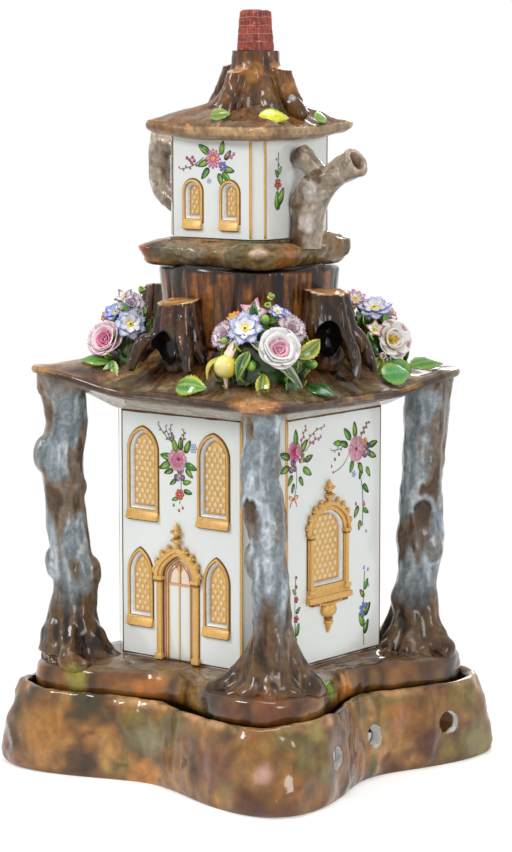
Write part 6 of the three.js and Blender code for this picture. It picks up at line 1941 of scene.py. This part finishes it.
# Each bloom: name or nothing, flower, (turn, rise, out) on the mound, (turn, rise) it faces, spin
BOUQUETS = {
    "front": {
        "corner": 3,
        "blooms": [
            ("rose_front", rose(13.8, PETAL_WHITE, rgb(226, 170, 186), rgb(190, 110, 140)), (18, 17, -5),
             (8, 24), 10),
            ("primula_front", primula(9.6), (-42, 48, 0), (-18, 26), 20),
            ("star_front", star(8.4), (-110, 78, 1.5), (-14, 22), 0),
            ("daisy_front", carnation(8.6), (66, 46, -1), (30, 34), 0),
            ("lemon_front", lemon(6.0), (-52, -2, -2.5), (-50, 10), 0),
            (None, carnation(8.0), (-90, 34, 1), (-50, 30), 15),
            (None, daisy(5.0, ORANGE, rgb(236, 190, 80)), (-96, 55, 3), (-40, 40), 0),
            (None, cup(3.4, LEMON), (120, 84, 7.5), (60, 58), 0),
            (None, cup(3.0, rgb(206, 60, 30)), (60, 84, 3.5), (-10, 46), 0),
            (None, primula(5.0), (84, 74, 2.5), (20, 50), 30),
            (None, primula(4.2, BLUE, rgb(210, 214, 240)), (86, 62, 3.0), (50, 40), 0),
            (None, bud(3.3), (0, 58, 0), (0, 60), 0),
            (None, bud(3.6), (-19, 4, -1), (-19, -20), 0),
            (None, bud(3.6), (80, 0, 0), (70, 0), 0),
            (None, bud(2.8), (-70, 30, 0), (-60, 10), 0),
        ],
        "leaves": [
            ((-44, 42, 0), (-62, -28, 3), 6.5, PETAL_WHITE, rgb(224, 168, 120)),
            ((-30, 34, 0), (68, -34, 6), 6.5, GREEN_DEEP, rgb(222, 226, 196)),
            ((50, 10, -1), (90, 22, 9), 9, GREEN, LEMON),
            ((-80, 10, 0), (-84, -14, 8), 6, rgb(190, 190, 90), LEMON),
            ((-30, 70, 0), (-60, 80, 8), 5, GREEN_DEEP, GREEN),
            ((-24, 18, 0), (-36, -14, 5), 7, GREEN_DEEP, GREEN_PALE),
            ((-4, -8, 0), (-8, -36, 8), 7, GREEN, LEMON),
            ((34, -12, 0), (26, -38, 7), 7, GREEN_DEEP, GREEN),
        ],
        "ground": [((74, 22), (86, 34), 7, GREEN_DEEP, GREEN),
                   ((60, -44), (74, -30), 9, rgb(40, 130, 60), rgb(206, 214, 70))],
    },
    "right": {
        "corner": 0,
        "blooms": [
            ("anemone_right", anemone(12.5), (-40, 14, -3), (-66, 18), 0),
            ("primula_right", primula(9.6), (-84, 62, 0), (-100, 58), 10),
            ("daisy_right", daisy(7.0), (176, 66, 4), (-80, 44), 0),
            (None, carnation(6.5, rgb(186, 70, 60)), (-24, 52, -1), (-30, 50), 0),
            (None, star(6.0, rgb(170, 70, 50)), (-92, 30, 0), (-96, 20), 0),
            (None, cup(3.4, rgb(196, 170, 150), rgb(226, 190, 170)), (-84, -2, 1), (-70, 0), 0),
            (None, primula(6.0), (30, 40, 0), (40, 40), 0),
            (None, daisy(5.0), (84, 30, 0), (84, 30), 0),
            (None, bud(3.2), (100, 60, 0), (100, 60), 0),
            (None, rose(7.5, rgb(230, 170, 190), PINK), (60, 5, -2), (60, 10), 0),
        ],
        "leaves": [
            ((-60, -10, 0), (-30, -36, 10), 11, rgb(60, 150, 80), GREEN_PALE),
            ((-80, -4, 0), (-96, -28, 6), 7, GREEN, LEMON),
            ((20, 10, 0), (30, -20, 10), 8, GREEN_DEEP, GREEN_PALE),
            ((90, 40, 0), (110, 10, 6), 7, GREEN, GREEN_PALE),
            ((-150, 50, 0), (-140, 20, 6), 6, GREEN, GREEN_PALE),
        ],
        "ground": [((84, -14), (104, -2), 7, GREEN, GREEN_PALE),
                   ((66, -34), (82, -26), 11, rgb(60, 150, 80), GREEN_PALE)],
    },
    "back": {
        "corner": 1,
        "blooms": [
            ("rose_back", rose(12.0, rgb(236, 200, 208), PINK), (-8, 12, -5), (-4, 18), 0),
            ("primula_back", primula(9.4), (60, 48, 0), (50, 44), 0),
            ("daisy_back", daisy(7.0), (-80, 62, 0), (-60, 54), 0),
            (None, carnation(8.0), (70, 10, -1), (60, 14), 0),
            (None, star(7.0), (-70, 22, 0), (-60, 20), 0),
            (None, daisy(5.5, ORANGE, LEMON), (10, 64, 0), (10, 60), 0),
            (None, bud(3.4), (-30, 40, 0), (-30, 40), 0),
            (None, lemon(4.6), (40, -6, -2), (40, 6), 0),
            (None, bud(3.2), (-60, -10, 0), (-60, -6), 0),
        ],
        "leaves": [
            ((-30, -4, 0), (-50, -34, 8), 9, GREEN, GREEN_PALE),
            ((30, 0, 0), (70, -30, 8), 8, GREEN_DEEP, GREEN_PALE),
            ((90, 30, 0), (110, 0, 6), 7, GREEN, LEMON),
            ((-90, 40, 0), (-110, 10, 6), 7, GREEN_DEEP, GREEN),
        ],
        "ground": [((74, 20), (92, 28), 9, GREEN, GREEN_PALE), ((74, -26), (90, -34), 9, GREEN, LEMON)],
    },
    "left": {
        "corner": 2,
        "blooms": [
            ("rose_left", rose(12.5, rgb(232, 200, 208), rgb(206, 110, 146), rgb(132, 30, 66)), (24, 14, -4),
             (52, 26), 0),
            ("primula_left", primula(8.8), (92, 40, 0), (92, 24), 0),
            ("star_left", carnation(7.6, rgb(120, 60, 120)), (110, 74, 1), (86, 30), 0),
            ("daisy_left", primula(7.2, rgb(90, 100, 190), rgb(180, 190, 236)), (20, 60, -1), (60, 50), 0),
            (None, star(6.0, PURPLE), (70, 78, 5), (80, 40), 0),
            (None, cup(3.2, rgb(140, 110, 90)), (160, 74, 8), (100, 60), 0),
            (None, daisy(4.6, ORANGE, LEMON), (-2, 50, 1), (30, 40), 0),
            (None, bud(3.4), (76, 58, 0), (80, 50), 0),
            (None, bud(3.6), (60, -14, 0), (60, -30), 0),
            (None, bud(3.0), (20, -20, 2), (10, -20), 0),
            (None, star(6.5), (-60, 30, 0), (-60, 20), 0),
            (None, daisy(6.0), (-84, 52, 0), (-80, 50), 0),
            (None, bud(3.2), (-40, 0, 0), (-40, 0), 0),
        ],
        "leaves": [
            ((10, -6, 0), (20, -36, 9), 9, GREEN, rgb(206, 214, 110)),
            ((50, -6, 0), (70, -34, 8), 9, GREEN, rgb(220, 226, 160)),
            ((70, 66, 0), (90, 50, 10), 5, GREEN_DEEP, GREEN),
            ((-60, 10, 0), (-80, -20, 8), 8, GREEN, GREEN_PALE),
        ],
        "ground": [((76, 16), (90, 9), 6, GREEN, GREEN_PALE), ((76, -24), (92, -32), 9, GREEN, LEMON)],
    },
}


def canopy_height(x, y):
    return canopy_top(np.hypot(x, y), np.arctan2(y, x))


# Stalks and leaves on a mound are set by steps of these angles, in degrees
STALK_TURN = 137.5
STALK_RISE = 61
STALK_COUNT = 84


def bouquet(name):
    """A mossy mound of stalks set with leaves, buds and blooms; the larger blooms are pieces of their own."""
    spec = BOUQUETS[name]
    facing = 45 + 90 * spec["corner"]
    greens = Heap()
    points, faces = lump(MOUND_MIDDLE - [1, 0, 1], MOUND_SIZE * [0.82, 0.86, 0.86], 40, 26)
    swell = 0.1 * fractal(points, 6, 7, 3) + 0.06 * ridged(points, 4, 9)
    points = points + (points - MOUND_MIDDLE) * swell[:, None]
    moss = mix(rgb(58, 98, 36), rgb(30, 50, 18), step(fractal(points, 5, 11, 3), -0.4, 0.5))
    greens.add(points, faces, mix(moss, rgb(74, 48, 28), step(fractal(points, 7, 12, 2), 0.2, 0.8) * 0.7))
    for k in range(STALK_COUNT):
        turn, rise = (k * STALK_TURN) % 360 - 180, -32 + (k * STALK_RISE) % 102
        foot = on_mound(turn, rise, -2)
        head = on_mound(turn + 10 * sin(k), rise + 9, 0.6 + 1.2 * abs(sin(k * 1.7)))
        tone = (GREEN, GREEN_DEEP, rgb(96, 120, 50))[k % 3]
        if any(way_of(turn, rise) @ way_of(*bloom[2][:2]) > 0.95 for bloom in spec["blooms"]):
            continue
        if k % 2:
            middle = (foot + head) / 2 + way_of(turn, 20) * 1.2
            greens.add(*tube([(foot, 0.9), (middle, 0.8), (head, 0.5)], 6, 3), tone)
        else:
            way = way_of(turn, rise)
            greens.add(*blade(foot, head + way * 2.2, way, 4.2, tone, GREEN_PALE))
    for start, end, width, tone, edge in spec["leaves"]:
        outward = way_of((start[0] + end[0]) / 2, 20)
        greens.add(*blade(on_mound(*start), on_mound(*end), outward, width, tone, edge, 0.14))
    for (x0, y0), (x1, y1), width, tone, edge in spec["ground"]:
        ends = []
        for x, y in ((x0, y0), (x1, y1)):
            wx, wy = turn_z([(x, y, 0)], facing)[0][:2]
            ends.append((x, y, canopy_height(wx, wy) + width * 0.34))
        greens.add(*blade(*ends, leaned(x0, y0), width * 1.35, tone, edge, 0.12, -0.1))
    for node, flower, spot, aim, spin in spec["blooms"]:
        posed(flower, on_mound(*spot), way_of(*aim), spin)
        if node:
            flower.points = [turn_z(p, facing) for p in flower.points]
            piece("bloom_" + node, flower, "stand", slot_of(node), PETAL, [node])
        else:
            greens.add(*flower.merged())
    greens.points = [turn_z(p, facing) for p in greens.points]
    piece("foliage_" + name, greens, "stand", "leaf_green", LEAF, ["greenery_" + name])


def slot_of(node):
    slots = {"rose": "petal_pink", "primula": "petal_blue", "lemon": "lemon_yellow",
             "daisy_left": "petal_blue"}
    return slots.get(node, slots.get(node.split("_")[0], "petal_white"))


# Painted sprays: thin brush marks laid a hair above the walls

INK = 0.1  # height of the lowest mark over the wall
INK_STEP = 0.006  # from one mark to the next
INK_DEPTH = 0.16  # after which the marks start again
DAB_SIDES = 12
CRIMSON = rgb(150, 34, 52)
MAGENTA = rgb(206, 84, 136)
VIOLET = rgb(98, 70, 160)
SKY = rgb(120, 150, 214)
STALK = rgb(104, 118, 52)


class Spray(Facade):
    """Brush marks on one wall; later marks lie over earlier ones."""

    def __init__(self, facade, half):
        super().__init__(facade, half)
        self.level = INK

    def dab(self, x, y, length, width, turn, edge, heart=None, lean=0.0):
        """One brush mark: an oval or, with a lean, a drop that points along `turn`."""
        angles = np.arange(DAB_SIDES) / DAB_SIDES * tau
        along, across = length / 2 * np.cos(angles), width / 2 * np.sin(angles) * (1 - lean * np.cos(angles))
        c, s = cos(radians(turn)), sin(radians(turn))
        ring = np.stack([x + c * along - s * across, y + s * along + c * across], -1)
        self.level = INK + (self.level - INK + INK_STEP) % INK_DEPTH
        levels = [np.column_stack([ring, np.full(DAB_SIDES, out)]) for out in (-0.12, self.level)]
        points = np.concatenate([*levels, [(x, y, self.level + 0.02)]])
        faces = [tuple(reversed(range(DAB_SIDES)))]
        for i in range(DAB_SIDES):
            after = (i + 1) % DAB_SIDES
            faces.append((i, after, DAB_SIDES + after, DAB_SIDES + i))
            faces.append((DAB_SIDES + i, DAB_SIDES + after, 2 * DAB_SIDES))
        self.add(points, faces, np.array([edge] * 2 * DAB_SIDES + [edge if heart is None else heart]))

    def stalk(self, x0, y0, x1, y1, bow=0.0, tone=STALK, width=0.45):
        """A bowed line of short marks."""
        run = np.array([x1 - x0, y1 - y0])
        length = np.linalg.norm(run)
        count = max(2, int(length / 1.6))
        for k in range(count):
            share = (k + 0.5) / count
            across = bow * sin(pi * share)
            slope = degrees(atan2(run[1], run[0]) + bow * pi / length * cos(pi * share))
            middle = np.array([x0, y0]) + run * share + np.array([-run[1], run[0]]) / length * across
            self.dab(*middle, length / count * 1.25, width, slope, tone)

    def leaf(self, x, y, size, turn, tone=GREEN, edge=GREEN_DEEP):
        """A leaf from its foot, with a pale rib a little off its middle."""
        size *= 1.2
        c, s = cos(radians(turn)), sin(radians(turn))
        x, y = x + c * size / 2, y + s * size / 2
        self.dab(x, y, size, size * 0.46, turn, edge, tone, 0.35)
        self.dab(x - s * size * 0.07, y + c * size * 0.07, size * 0.7, size * 0.14, turn, GREEN_PALE)

    def ring(self, x, y, count, reach, length, width, edge, heart, start=0.0, lean=-0.3):
        for k in range(count):
            turn = start + 360 * k / count
            c, s = cos(radians(turn)), sin(radians(turn))
            self.dab(x + c * reach, y + s * reach, length, width, turn, edge, heart, lean)

    def rose(self, x, y, size, outer=PINK, inner=ROSE_DEEP):
        middle = mix(outer, inner, 0.4)
        self.ring(x, y, 6, size * 0.62, size * 0.95, size * 0.95, mix(outer, PETAL_WHITE, 0.35), outer)
        self.ring(x, y - size * 0.08, 5, size * 0.36, size * 0.75, size * 0.7, outer, middle, 30)
        self.ring(x, y, 4, size * 0.16, size * 0.42, size * 0.4, inner, CRIMSON, 12)

    def daisy(self, x, y, size, petal_tone=MAGENTA, eye=LEMON):
        self.ring(x, y, 12, size * 0.6, size * 0.78, size * 0.3, petal_tone,
                  mix(petal_tone, PETAL_WHITE, 0.45))
        self.dab(x, y, size * 0.5, size * 0.5, 0, eye, ORANGE)

    def pansy(self, x, y, size, upper=VIOLET, lower=PURPLE):
        pale = mix(upper, PETAL_WHITE, 0.3)
        self.ring(x, y + size * 0.1, 2, size * 0.5, size, size * 0.85, upper, pale, 60)
        self.ring(x, y, 3, size * 0.5, size * 0.9, size * 0.8, lower, mix(lower, PETAL_WHITE, 0.25), 210)
        self.dab(x, y - size * 0.1, size * 0.45, size * 0.45, 0, LEMON, ORANGE)

    def bell(self, x, y, size, tone, turn=90):
        self.dab(x, y, size, size * 0.7, turn, tone, mix(tone, PETAL_WHITE, 0.3), 0.4)

    def sprig(self, x0, y0, x1, y1, tone=CRIMSON, count=5, size=1.1, bow=1.0):
        """A thin stalk with buds that shrink towards its tip."""
        self.stalk(x0, y0, x1, y1, bow, STALK, 0.5)
        for k in range(count):
            share = 0.35 + 0.65 * k / max(count - 1, 1)
            side = (-1) ** k * 0.9
            bud = size * (1.6 - 0.7 * share)
            away = np.array([y0 - y1, x1 - x0]) / (np.hypot(x1 - x0, y1 - y0) + 1e-9)
            spot = np.array([x0, y0]) + (np.array([x1, y1]) - [x0, y0]) * share
            x, y = spot + away * (side + bow * sin(pi * share))
            self.dab(x, y, bud, bud, 0, tone, mix(tone, PETAL_WHITE, 0.3))

    def leaves(self, rows, tones=(GREEN, GREEN_PALE)):
        for k, (x, y, size, turn) in enumerate(rows):
            self.leaf(x, y, size, turn, tones[k % 2], GREEN_DEEP if k % 3 else GREEN)


def spray_between_windows(wall):
    """Over the door: a rose among small flowers, with sprigs above and buds below."""
    wall.stalk(-1, 166, -0.8, 145, 1.2)
    wall.leaves([(-5, 168.5, 7.5, 172), (-7, 166, 7, 205), (-5, 162.5, 5.5, 200), (-2.5, 172, 6.5, 112),
                 (0, 173, 6, 88), (3, 172, 6.5, 62), (3, 166, 7, 345), (3.4, 163.6, 5.5, 318),
                 (-3, 157.5, 4.5, 215), (1.4, 156, 5, 12), (2, 152, 5, 350), (-1.6, 148, 4, 200)])
    for x, y in ((-15.5, 186), (-10.2, 185), (-6.6, 186)):
        wall.sprig(-4.5, 176, x, y, VIOLET, 4, 0.9, 0.8)
    wall.sprig(0.6, 175, 2.2, 184, CRIMSON, 5, 1.0, -0.6)
    wall.pansy(-0.8, 160.0, 4.2, rgb(150, 140, 206), PURPLE)
    wall.ring(8.6, 174.9, 6, 1.5, 2.4, 1.5, SKY, PETAL_WHITE)
    wall.dab(8.6, 174.9, 1.1, 1.1, 0, LEMON)
    wall.bell(-5.4, 180, 3.0, CRIMSON, 120)
    wall.rose(-2.1, 168.2, 5.8)
    wall.ring(-0.6, 149.9, 6, 1.7, 2.6, 2.1, rgb(196, 48, 36), rgb(222, 120, 90))
    for x, y in ((-4.8, 143.9), (1.3, 143), (-1.2, 141.4)):
        wall.bell(x, y, 1.8, CRIMSON, 100)


def spray_left_of_oriel(wall):
    """A drooping bunch tied with an orange bow."""
    wall.stalk(-33, 168, -34.6, 150, 1.5)
    wall.leaves([(-33, 178, 7, 92), (-29, 174, 7, 48), (-25.5, 169, 6, 20), (-27, 165.5, 7, 330),
                 (-38, 172, 7, 160), (-38.5, 167.5, 6.5, 200), (-36, 163, 5.5, 236), (-30, 161.5, 5, 300),
                 (-34.5, 158.5, 4.6, 250)])
    wall.sprig(-29, 176, -24.4, 187, MAGENTA, 5, 1.3, 0.6)
    wall.sprig(-25, 174, -11.5, 180, MAGENTA, 5, 1.4, 1.6)
    wall.sprig(-26, 176, -8.5, 185.5, CRIMSON, 5, 0.9, 2.4)
    wall.pansy(-27.8, 170.6, 3.0, LEMON, PURPLE)
    wall.rose(-34.2, 174.8, 5.2, MAGENTA, CRIMSON)
    wall.pansy(-35.8, 167.0, 3.8, VIOLET, PURPLE)
    for side in (-1, 1):
        wall.dab(-35 + side * 2.1, 151, 3.8, 2.2, side * 24, ORANGE, PETAL_WHITE)
        wall.stalk(-35, 150, -35 + side * 2.8, 146, side * 0.7, ORANGE, 0.6)
    wall.dab(-35, 150.5, 1.4, 1.4, 0, ORANGE)


def spray_right_of_oriel(wall):
    """A rose bunch from which two tails of buds hang down."""
    wall.stalk(18, 168, 24.5, 130, 3.0)
    wall.stalk(14, 171, -1.6, 160, 2.4)
    wall.leaves([(14, 176, 7.5, 132), (18, 177, 7, 96), (11.5, 173, 6.5, 158), (6, 175, 6, 175),
                 (30, 171, 6.5, 12), (30, 167, 6, 340), (16, 165, 6, 250), (21, 163, 6, 300),
                 (24, 160, 5.5, 250), (28, 160, 5.5, 300), (25, 151, 6, 315), (21, 140, 6, 240),
                 (25, 138, 5, 330), (22.5, 132, 4.6, 260)])
    wall.sprig(22, 174, 29.5, 184, CRIMSON, 6, 1.3, 0.8)
    wall.sprig(10, 174, -3, 172, SKY, 4, 1.0, 1.0)
    wall.pansy(27.9, 168.6, 4.4, VIOLET, PURPLE)
    wall.ring(26.5, 173.8, 5, 1.2, 2.0, 1.5, rgb(214, 96, 60), LEMON)
    wall.rose(19.0, 170.6, 6.4)
    wall.ring(16.9, 157.4, 5, 1.0, 1.8, 1.2, SKY, PETAL_WHITE)
    for x, y, size, tone in ((3.8, 169.5, 2.2, CRIMSON), (0.2, 167.2, 2.0, CRIMSON),
                             (-2.6, 163.8, 1.8, MAGENTA), (-1.2, 160.5, 1.5, CRIMSON),
                             (25.6, 140.6, 3.2, MAGENTA), (18.8, 141.3, 2.0, CRIMSON),
                             (24.2, 129.8, 2.4, MAGENTA), (28, 125.4, 1.8, SKY)):
        wall.bell(x, y, size, tone, 100)


def sprays_beside_oriel_foot(wall):
    """A blue flower on a leafy stalk at one side, dark red buds at the other."""
    wall.stalk(26.4, 64, 26.8, 104, 0.8)
    wall.leaves([(26.5, 94, 5.5, 60), (26.5, 90, 5, 130), (26.6, 80, 7, 50), (26.3, 74, 7.5, 118),
                 (26.5, 70, 7, 62)])
    for x, y in ((23.6, 93.4), (30.2, 96), (29.8, 104.6), (26.4, 106)):
        wall.bell(x, y, 2.2, SKY, 80)
    wall.ring(26.4, 83.2, 7, 2.6, 3.4, 2.2, rgb(92, 104, 196), SKY)
    wall.dab(26.4, 83.2, 1.8, 1.8, 0, LEMON, ORANGE)
    wall.stalk(-32.6, 70, -33, 108, 0.8)
    wall.leaves([(-32.6, 78, 6, 70), (-32.8, 74, 6, 112), (-32.8, 90, 4, 40), (-32.8, 100, 3.6, 130)])
    for y, size in ((97.3, 3.0), (87.1, 3.6), (104, 2.0), (109, 1.6)):
        wall.ring(-32.6, y, 5, size * 0.3, size * 0.6, size * 0.45, CRIMSON, MAGENTA)


def spray_on_pot(wall):
    """A pink daisy with a blue flower, berries on one side and leaves below."""
    wall.leaves([(-1, 326, 7.5, 150), (-2, 322, 6.5, 200), (-1.5, 318.5, 6.5, 228), (6.5, 325.5, 6.5, 78),
                 (9, 323, 5.5, 50), (8, 318.5, 6.5, 350), (7.4, 316.5, 6.5, 318), (5, 316, 6, 290)])
    wall.sprig(-5, 324, -21.5, 317.5, CRIMSON, 6, 1.1, 1.4)
    for x, y in ((-12.6, 323.8), (-14.6, 322.4), (-13.4, 321), (-16.4, 323.4), (-11.4, 322)):
        wall.dab(x, y, 1.9, 1.9, 0, CRIMSON, MAGENTA)
    wall.sprig(9, 324, 15.4, 325.4, MAGENTA, 3, 1.8, 0.4)
    wall.ring(7.8, 319.6, 6, 1.6, 2.4, 1.7, VIOLET, SKY)
    wall.dab(7.8, 319.6, 1.2, 1.2, 0, LEMON)
    wall.daisy(1.2, 323.4, 5.4)
    wall.ring(-1.4, 311.9, 5, 0.8, 1.3, 1.0, SKY, PETAL_WHITE)


def stem_on_pot(wall, x):
    """One upright flower with narrow leaves."""
    wall.stalk(x, 298, x + 0.8, 326, 0.5)
    wall.leaves([(x, 297, 8.5, 92), (x + 1, 300, 8, 66), (x + 0.4, 314, 4, 120), (x + 0.8, 315.5, 4, 62)])
    for y, size in ((320.5, 1.8), (323.5, 1.5), (326.4, 1.2)):
        wall.bell(x + 0.8 * (-1) ** int(y), y, size, rgb(60, 44, 70), 80)
    wall.ring(x + 0.2, 310.6, 5, 1.5, 3.0, 2.2, CRIMSON, rgb(214, 110, 70), 54)


def sprays():
    """Flower painting on every side; the hidden sides repeat the ones that show."""
    house, pot = Heap(), Heap()
    for facade in range(4):
        wall = Spray(facade, HOUSE_HALF)
        if facade % 2:
            spray_left_of_oriel(wall)
            spray_right_of_oriel(wall)
            sprays_beside_oriel_foot(wall)
        else:
            spray_between_windows(wall)
        house.add(*wall.heap.merged())
        wall = Spray(facade, POT_HALF)
        if facade % 2:
            stem_on_pot(wall, -16)
        else:
            spray_on_pot(wall)
        pot.add(*wall.heap.merged())
    piece("sprays_house", house, "stand", "petal_pink", ENAMEL)
    piece("sprays_pot", pot, "teapot", "petal_pink", ENAMEL)


# Night light: a porcelain cup of oil with a wick on a float

def night_light():
    """The lamp's pieces keep their shape and get softened edges."""
    cork, tin, thread = rgb(178, 128, 82), rgb(196, 196, 192), rgb(236, 228, 206)
    finishes = (
        ("lamp_cup", glaze("cup_porcelain", bump=0.04, tint=WHITE, **WHITEWARE), 0.4),
        ("float_cork", glaze("cork_grain", roughness=0.75, mottle=0.3, grain=0.0018, bump=0.7, coat=0,
                             tint=cork), 0.3),
        ("float_plate", glaze("tin_plate", roughness=0.3, mottle=0.08, grain=0.003, bump=0.1, coat=0, metal=1,
                              tint=tin), 0.06),
        ("wick", glaze("wick_thread", roughness=0.9, mottle=0.15, grain=0.0008, bump=0.5, coat=0,
                       tint=thread), 0.1),
    )
    for name, material, width in finishes:
        soften(name, material, width)


# Stage

FLOOR_REACH = 700


def stage():
    """A pale floor that keeps the shadow and fades into the white round it."""
    corners = [(-FLOOR_REACH, -FLOOR_REACH, 0), (FLOOR_REACH, -FLOOR_REACH, 0),
               (FLOOR_REACH, FLOOR_REACH, 0), (-FLOOR_REACH, FLOOR_REACH, 0)]
    floor = object_of("floor", corners, [(0, 1, 2, 3)])
    material = bpy.data.materials.new("pale_floor")
    material.use_nodes = True
    tree = material.node_tree
    shader = tree.nodes["Principled BSDF"]
    shader.inputs["Base Color"].default_value = (0.8, 0.8, 0.8, 1)
    shader.inputs["Roughness"].default_value = 0.9
    shader.inputs["Specular IOR Level"].default_value = 0.0
    glow = node_of(tree, "ShaderNodeEmission", Strength=0.45)
    lit = node_of(tree, "ShaderNodeAddShader", shader.outputs[0])
    tree.links.new(glow.outputs[0], lit.inputs[1])
    clear = tree.nodes.new("ShaderNodeBsdfTransparent")
    place = tree.nodes.new("ShaderNodeTexCoord")
    far = node_of(tree, "ShaderNodeVectorMath", place.outputs["Object"])
    far.operation = "LENGTH"
    fade = node_of(tree, "ShaderNodeMapRange", far.outputs["Value"], From_Min=0.14, From_Max=0.42)
    fade.interpolation_type = "SMOOTHSTEP"
    blend = node_of(tree, "ShaderNodeMixShader", fade.outputs["Result"])
    tree.links.new(lit.outputs[0], blend.inputs[1])
    tree.links.new(clear.outputs[0], blend.inputs[2])
    tree.links.new(blend.outputs[0], tree.nodes["Material Output"].inputs["Surface"])
    floor.data.materials.append(material)


def world():
    """Soft surroundings: full white where the camera, a gloss or glass sees them, dimmer as light."""
    sky = bpy.data.worlds.new("studio")
    bpy.context.scene.world = sky
    sky.use_nodes = True
    tree = sky.node_tree
    ground = tree.nodes["Background"]
    rays = tree.nodes.new("ShaderNodeLightPath")
    seen = rays.outputs["Is Camera Ray"]
    for kind in ("Is Glossy Ray", "Is Transmission Ray"):
        either = node_of(tree, "ShaderNodeMath", seen)
        either.operation = "MAXIMUM"
        tree.links.new(rays.outputs[kind], either.inputs[1])
        seen = either.outputs[0]
    tree.links.new(ranged(tree, seen, 0, 1, 0.5, 1), ground.inputs["Strength"])
    ground.inputs["Color"].default_value = (1, 1, 1, 1)


def lamp(name, place, target, size, power):
    data = bpy.data.lights.new(name, "AREA")
    data.shape = "RECTANGLE"
    data.size, data.size_y = size
    data.energy = power
    obj = bpy.data.objects.new(name, data)
    bpy.context.scene.collection.objects.link(obj)
    obj.location = place
    obj.rotation_euler = (Vector(target) - Vector(place)).to_track_quat("-Z", "Y").to_euler()


def studio():
    """Soft light from the left, the right, above and behind."""
    lamp("key_window", (-0.7, -1.5, 1.2), (0, 0, 0.2), (0.4, 0.55), 15)
    lamp("fill_window", (1.6, -0.5, 0.7), (0, 0, 0.2), (0.5, 0.6), 8)
    lamp("top_light", (0.1, -0.1, 1.5), (0, 0, 0.2), (0.6, 0.6), 7)
    lamp("rim_light", (-0.6, 1.4, 0.9), (0, 0, 0.25), (0.6, 0.6), 7)


CAMERA_TILT = 7.602  # down from level
CAMERA_TURN = 38.6534


def camera():
    """The photograph's view: place and turn fitted to it, no shift."""
    data = bpy.data.cameras.new("camera")
    data.lens = 121.05
    data.sensor_width = 36
    obj = bpy.data.objects.new("camera", data)
    bpy.context.scene.collection.objects.link(obj)
    obj.location = (0.95146, -1.18397, 0.38267)
    obj.rotation_euler = (radians(90 - CAMERA_TILT), 0, radians(CAMERA_TURN))
    bpy.context.scene.camera = obj


camera()
world()
studio()
stage()
plinth()
terrace()
for trunk_name in TRUNKS:
    trunk(trunk_name)
canopy()
walls()
lancets()
pot_windows()
oriels()
door_frame()
door_panels()
collar()
for side, stump_name in enumerate(STUMPS):
    stump(side, stump_name)
saucer()
spout()
handle()
lid_roof()
lid_stump()
chimney()
for bouquet_name in BOUQUETS:
    bouquet(bouquet_name)
sprays()
night_light()

scene_view = bpy.context.scene.view_settings
scene_view.view_transform = "Standard"
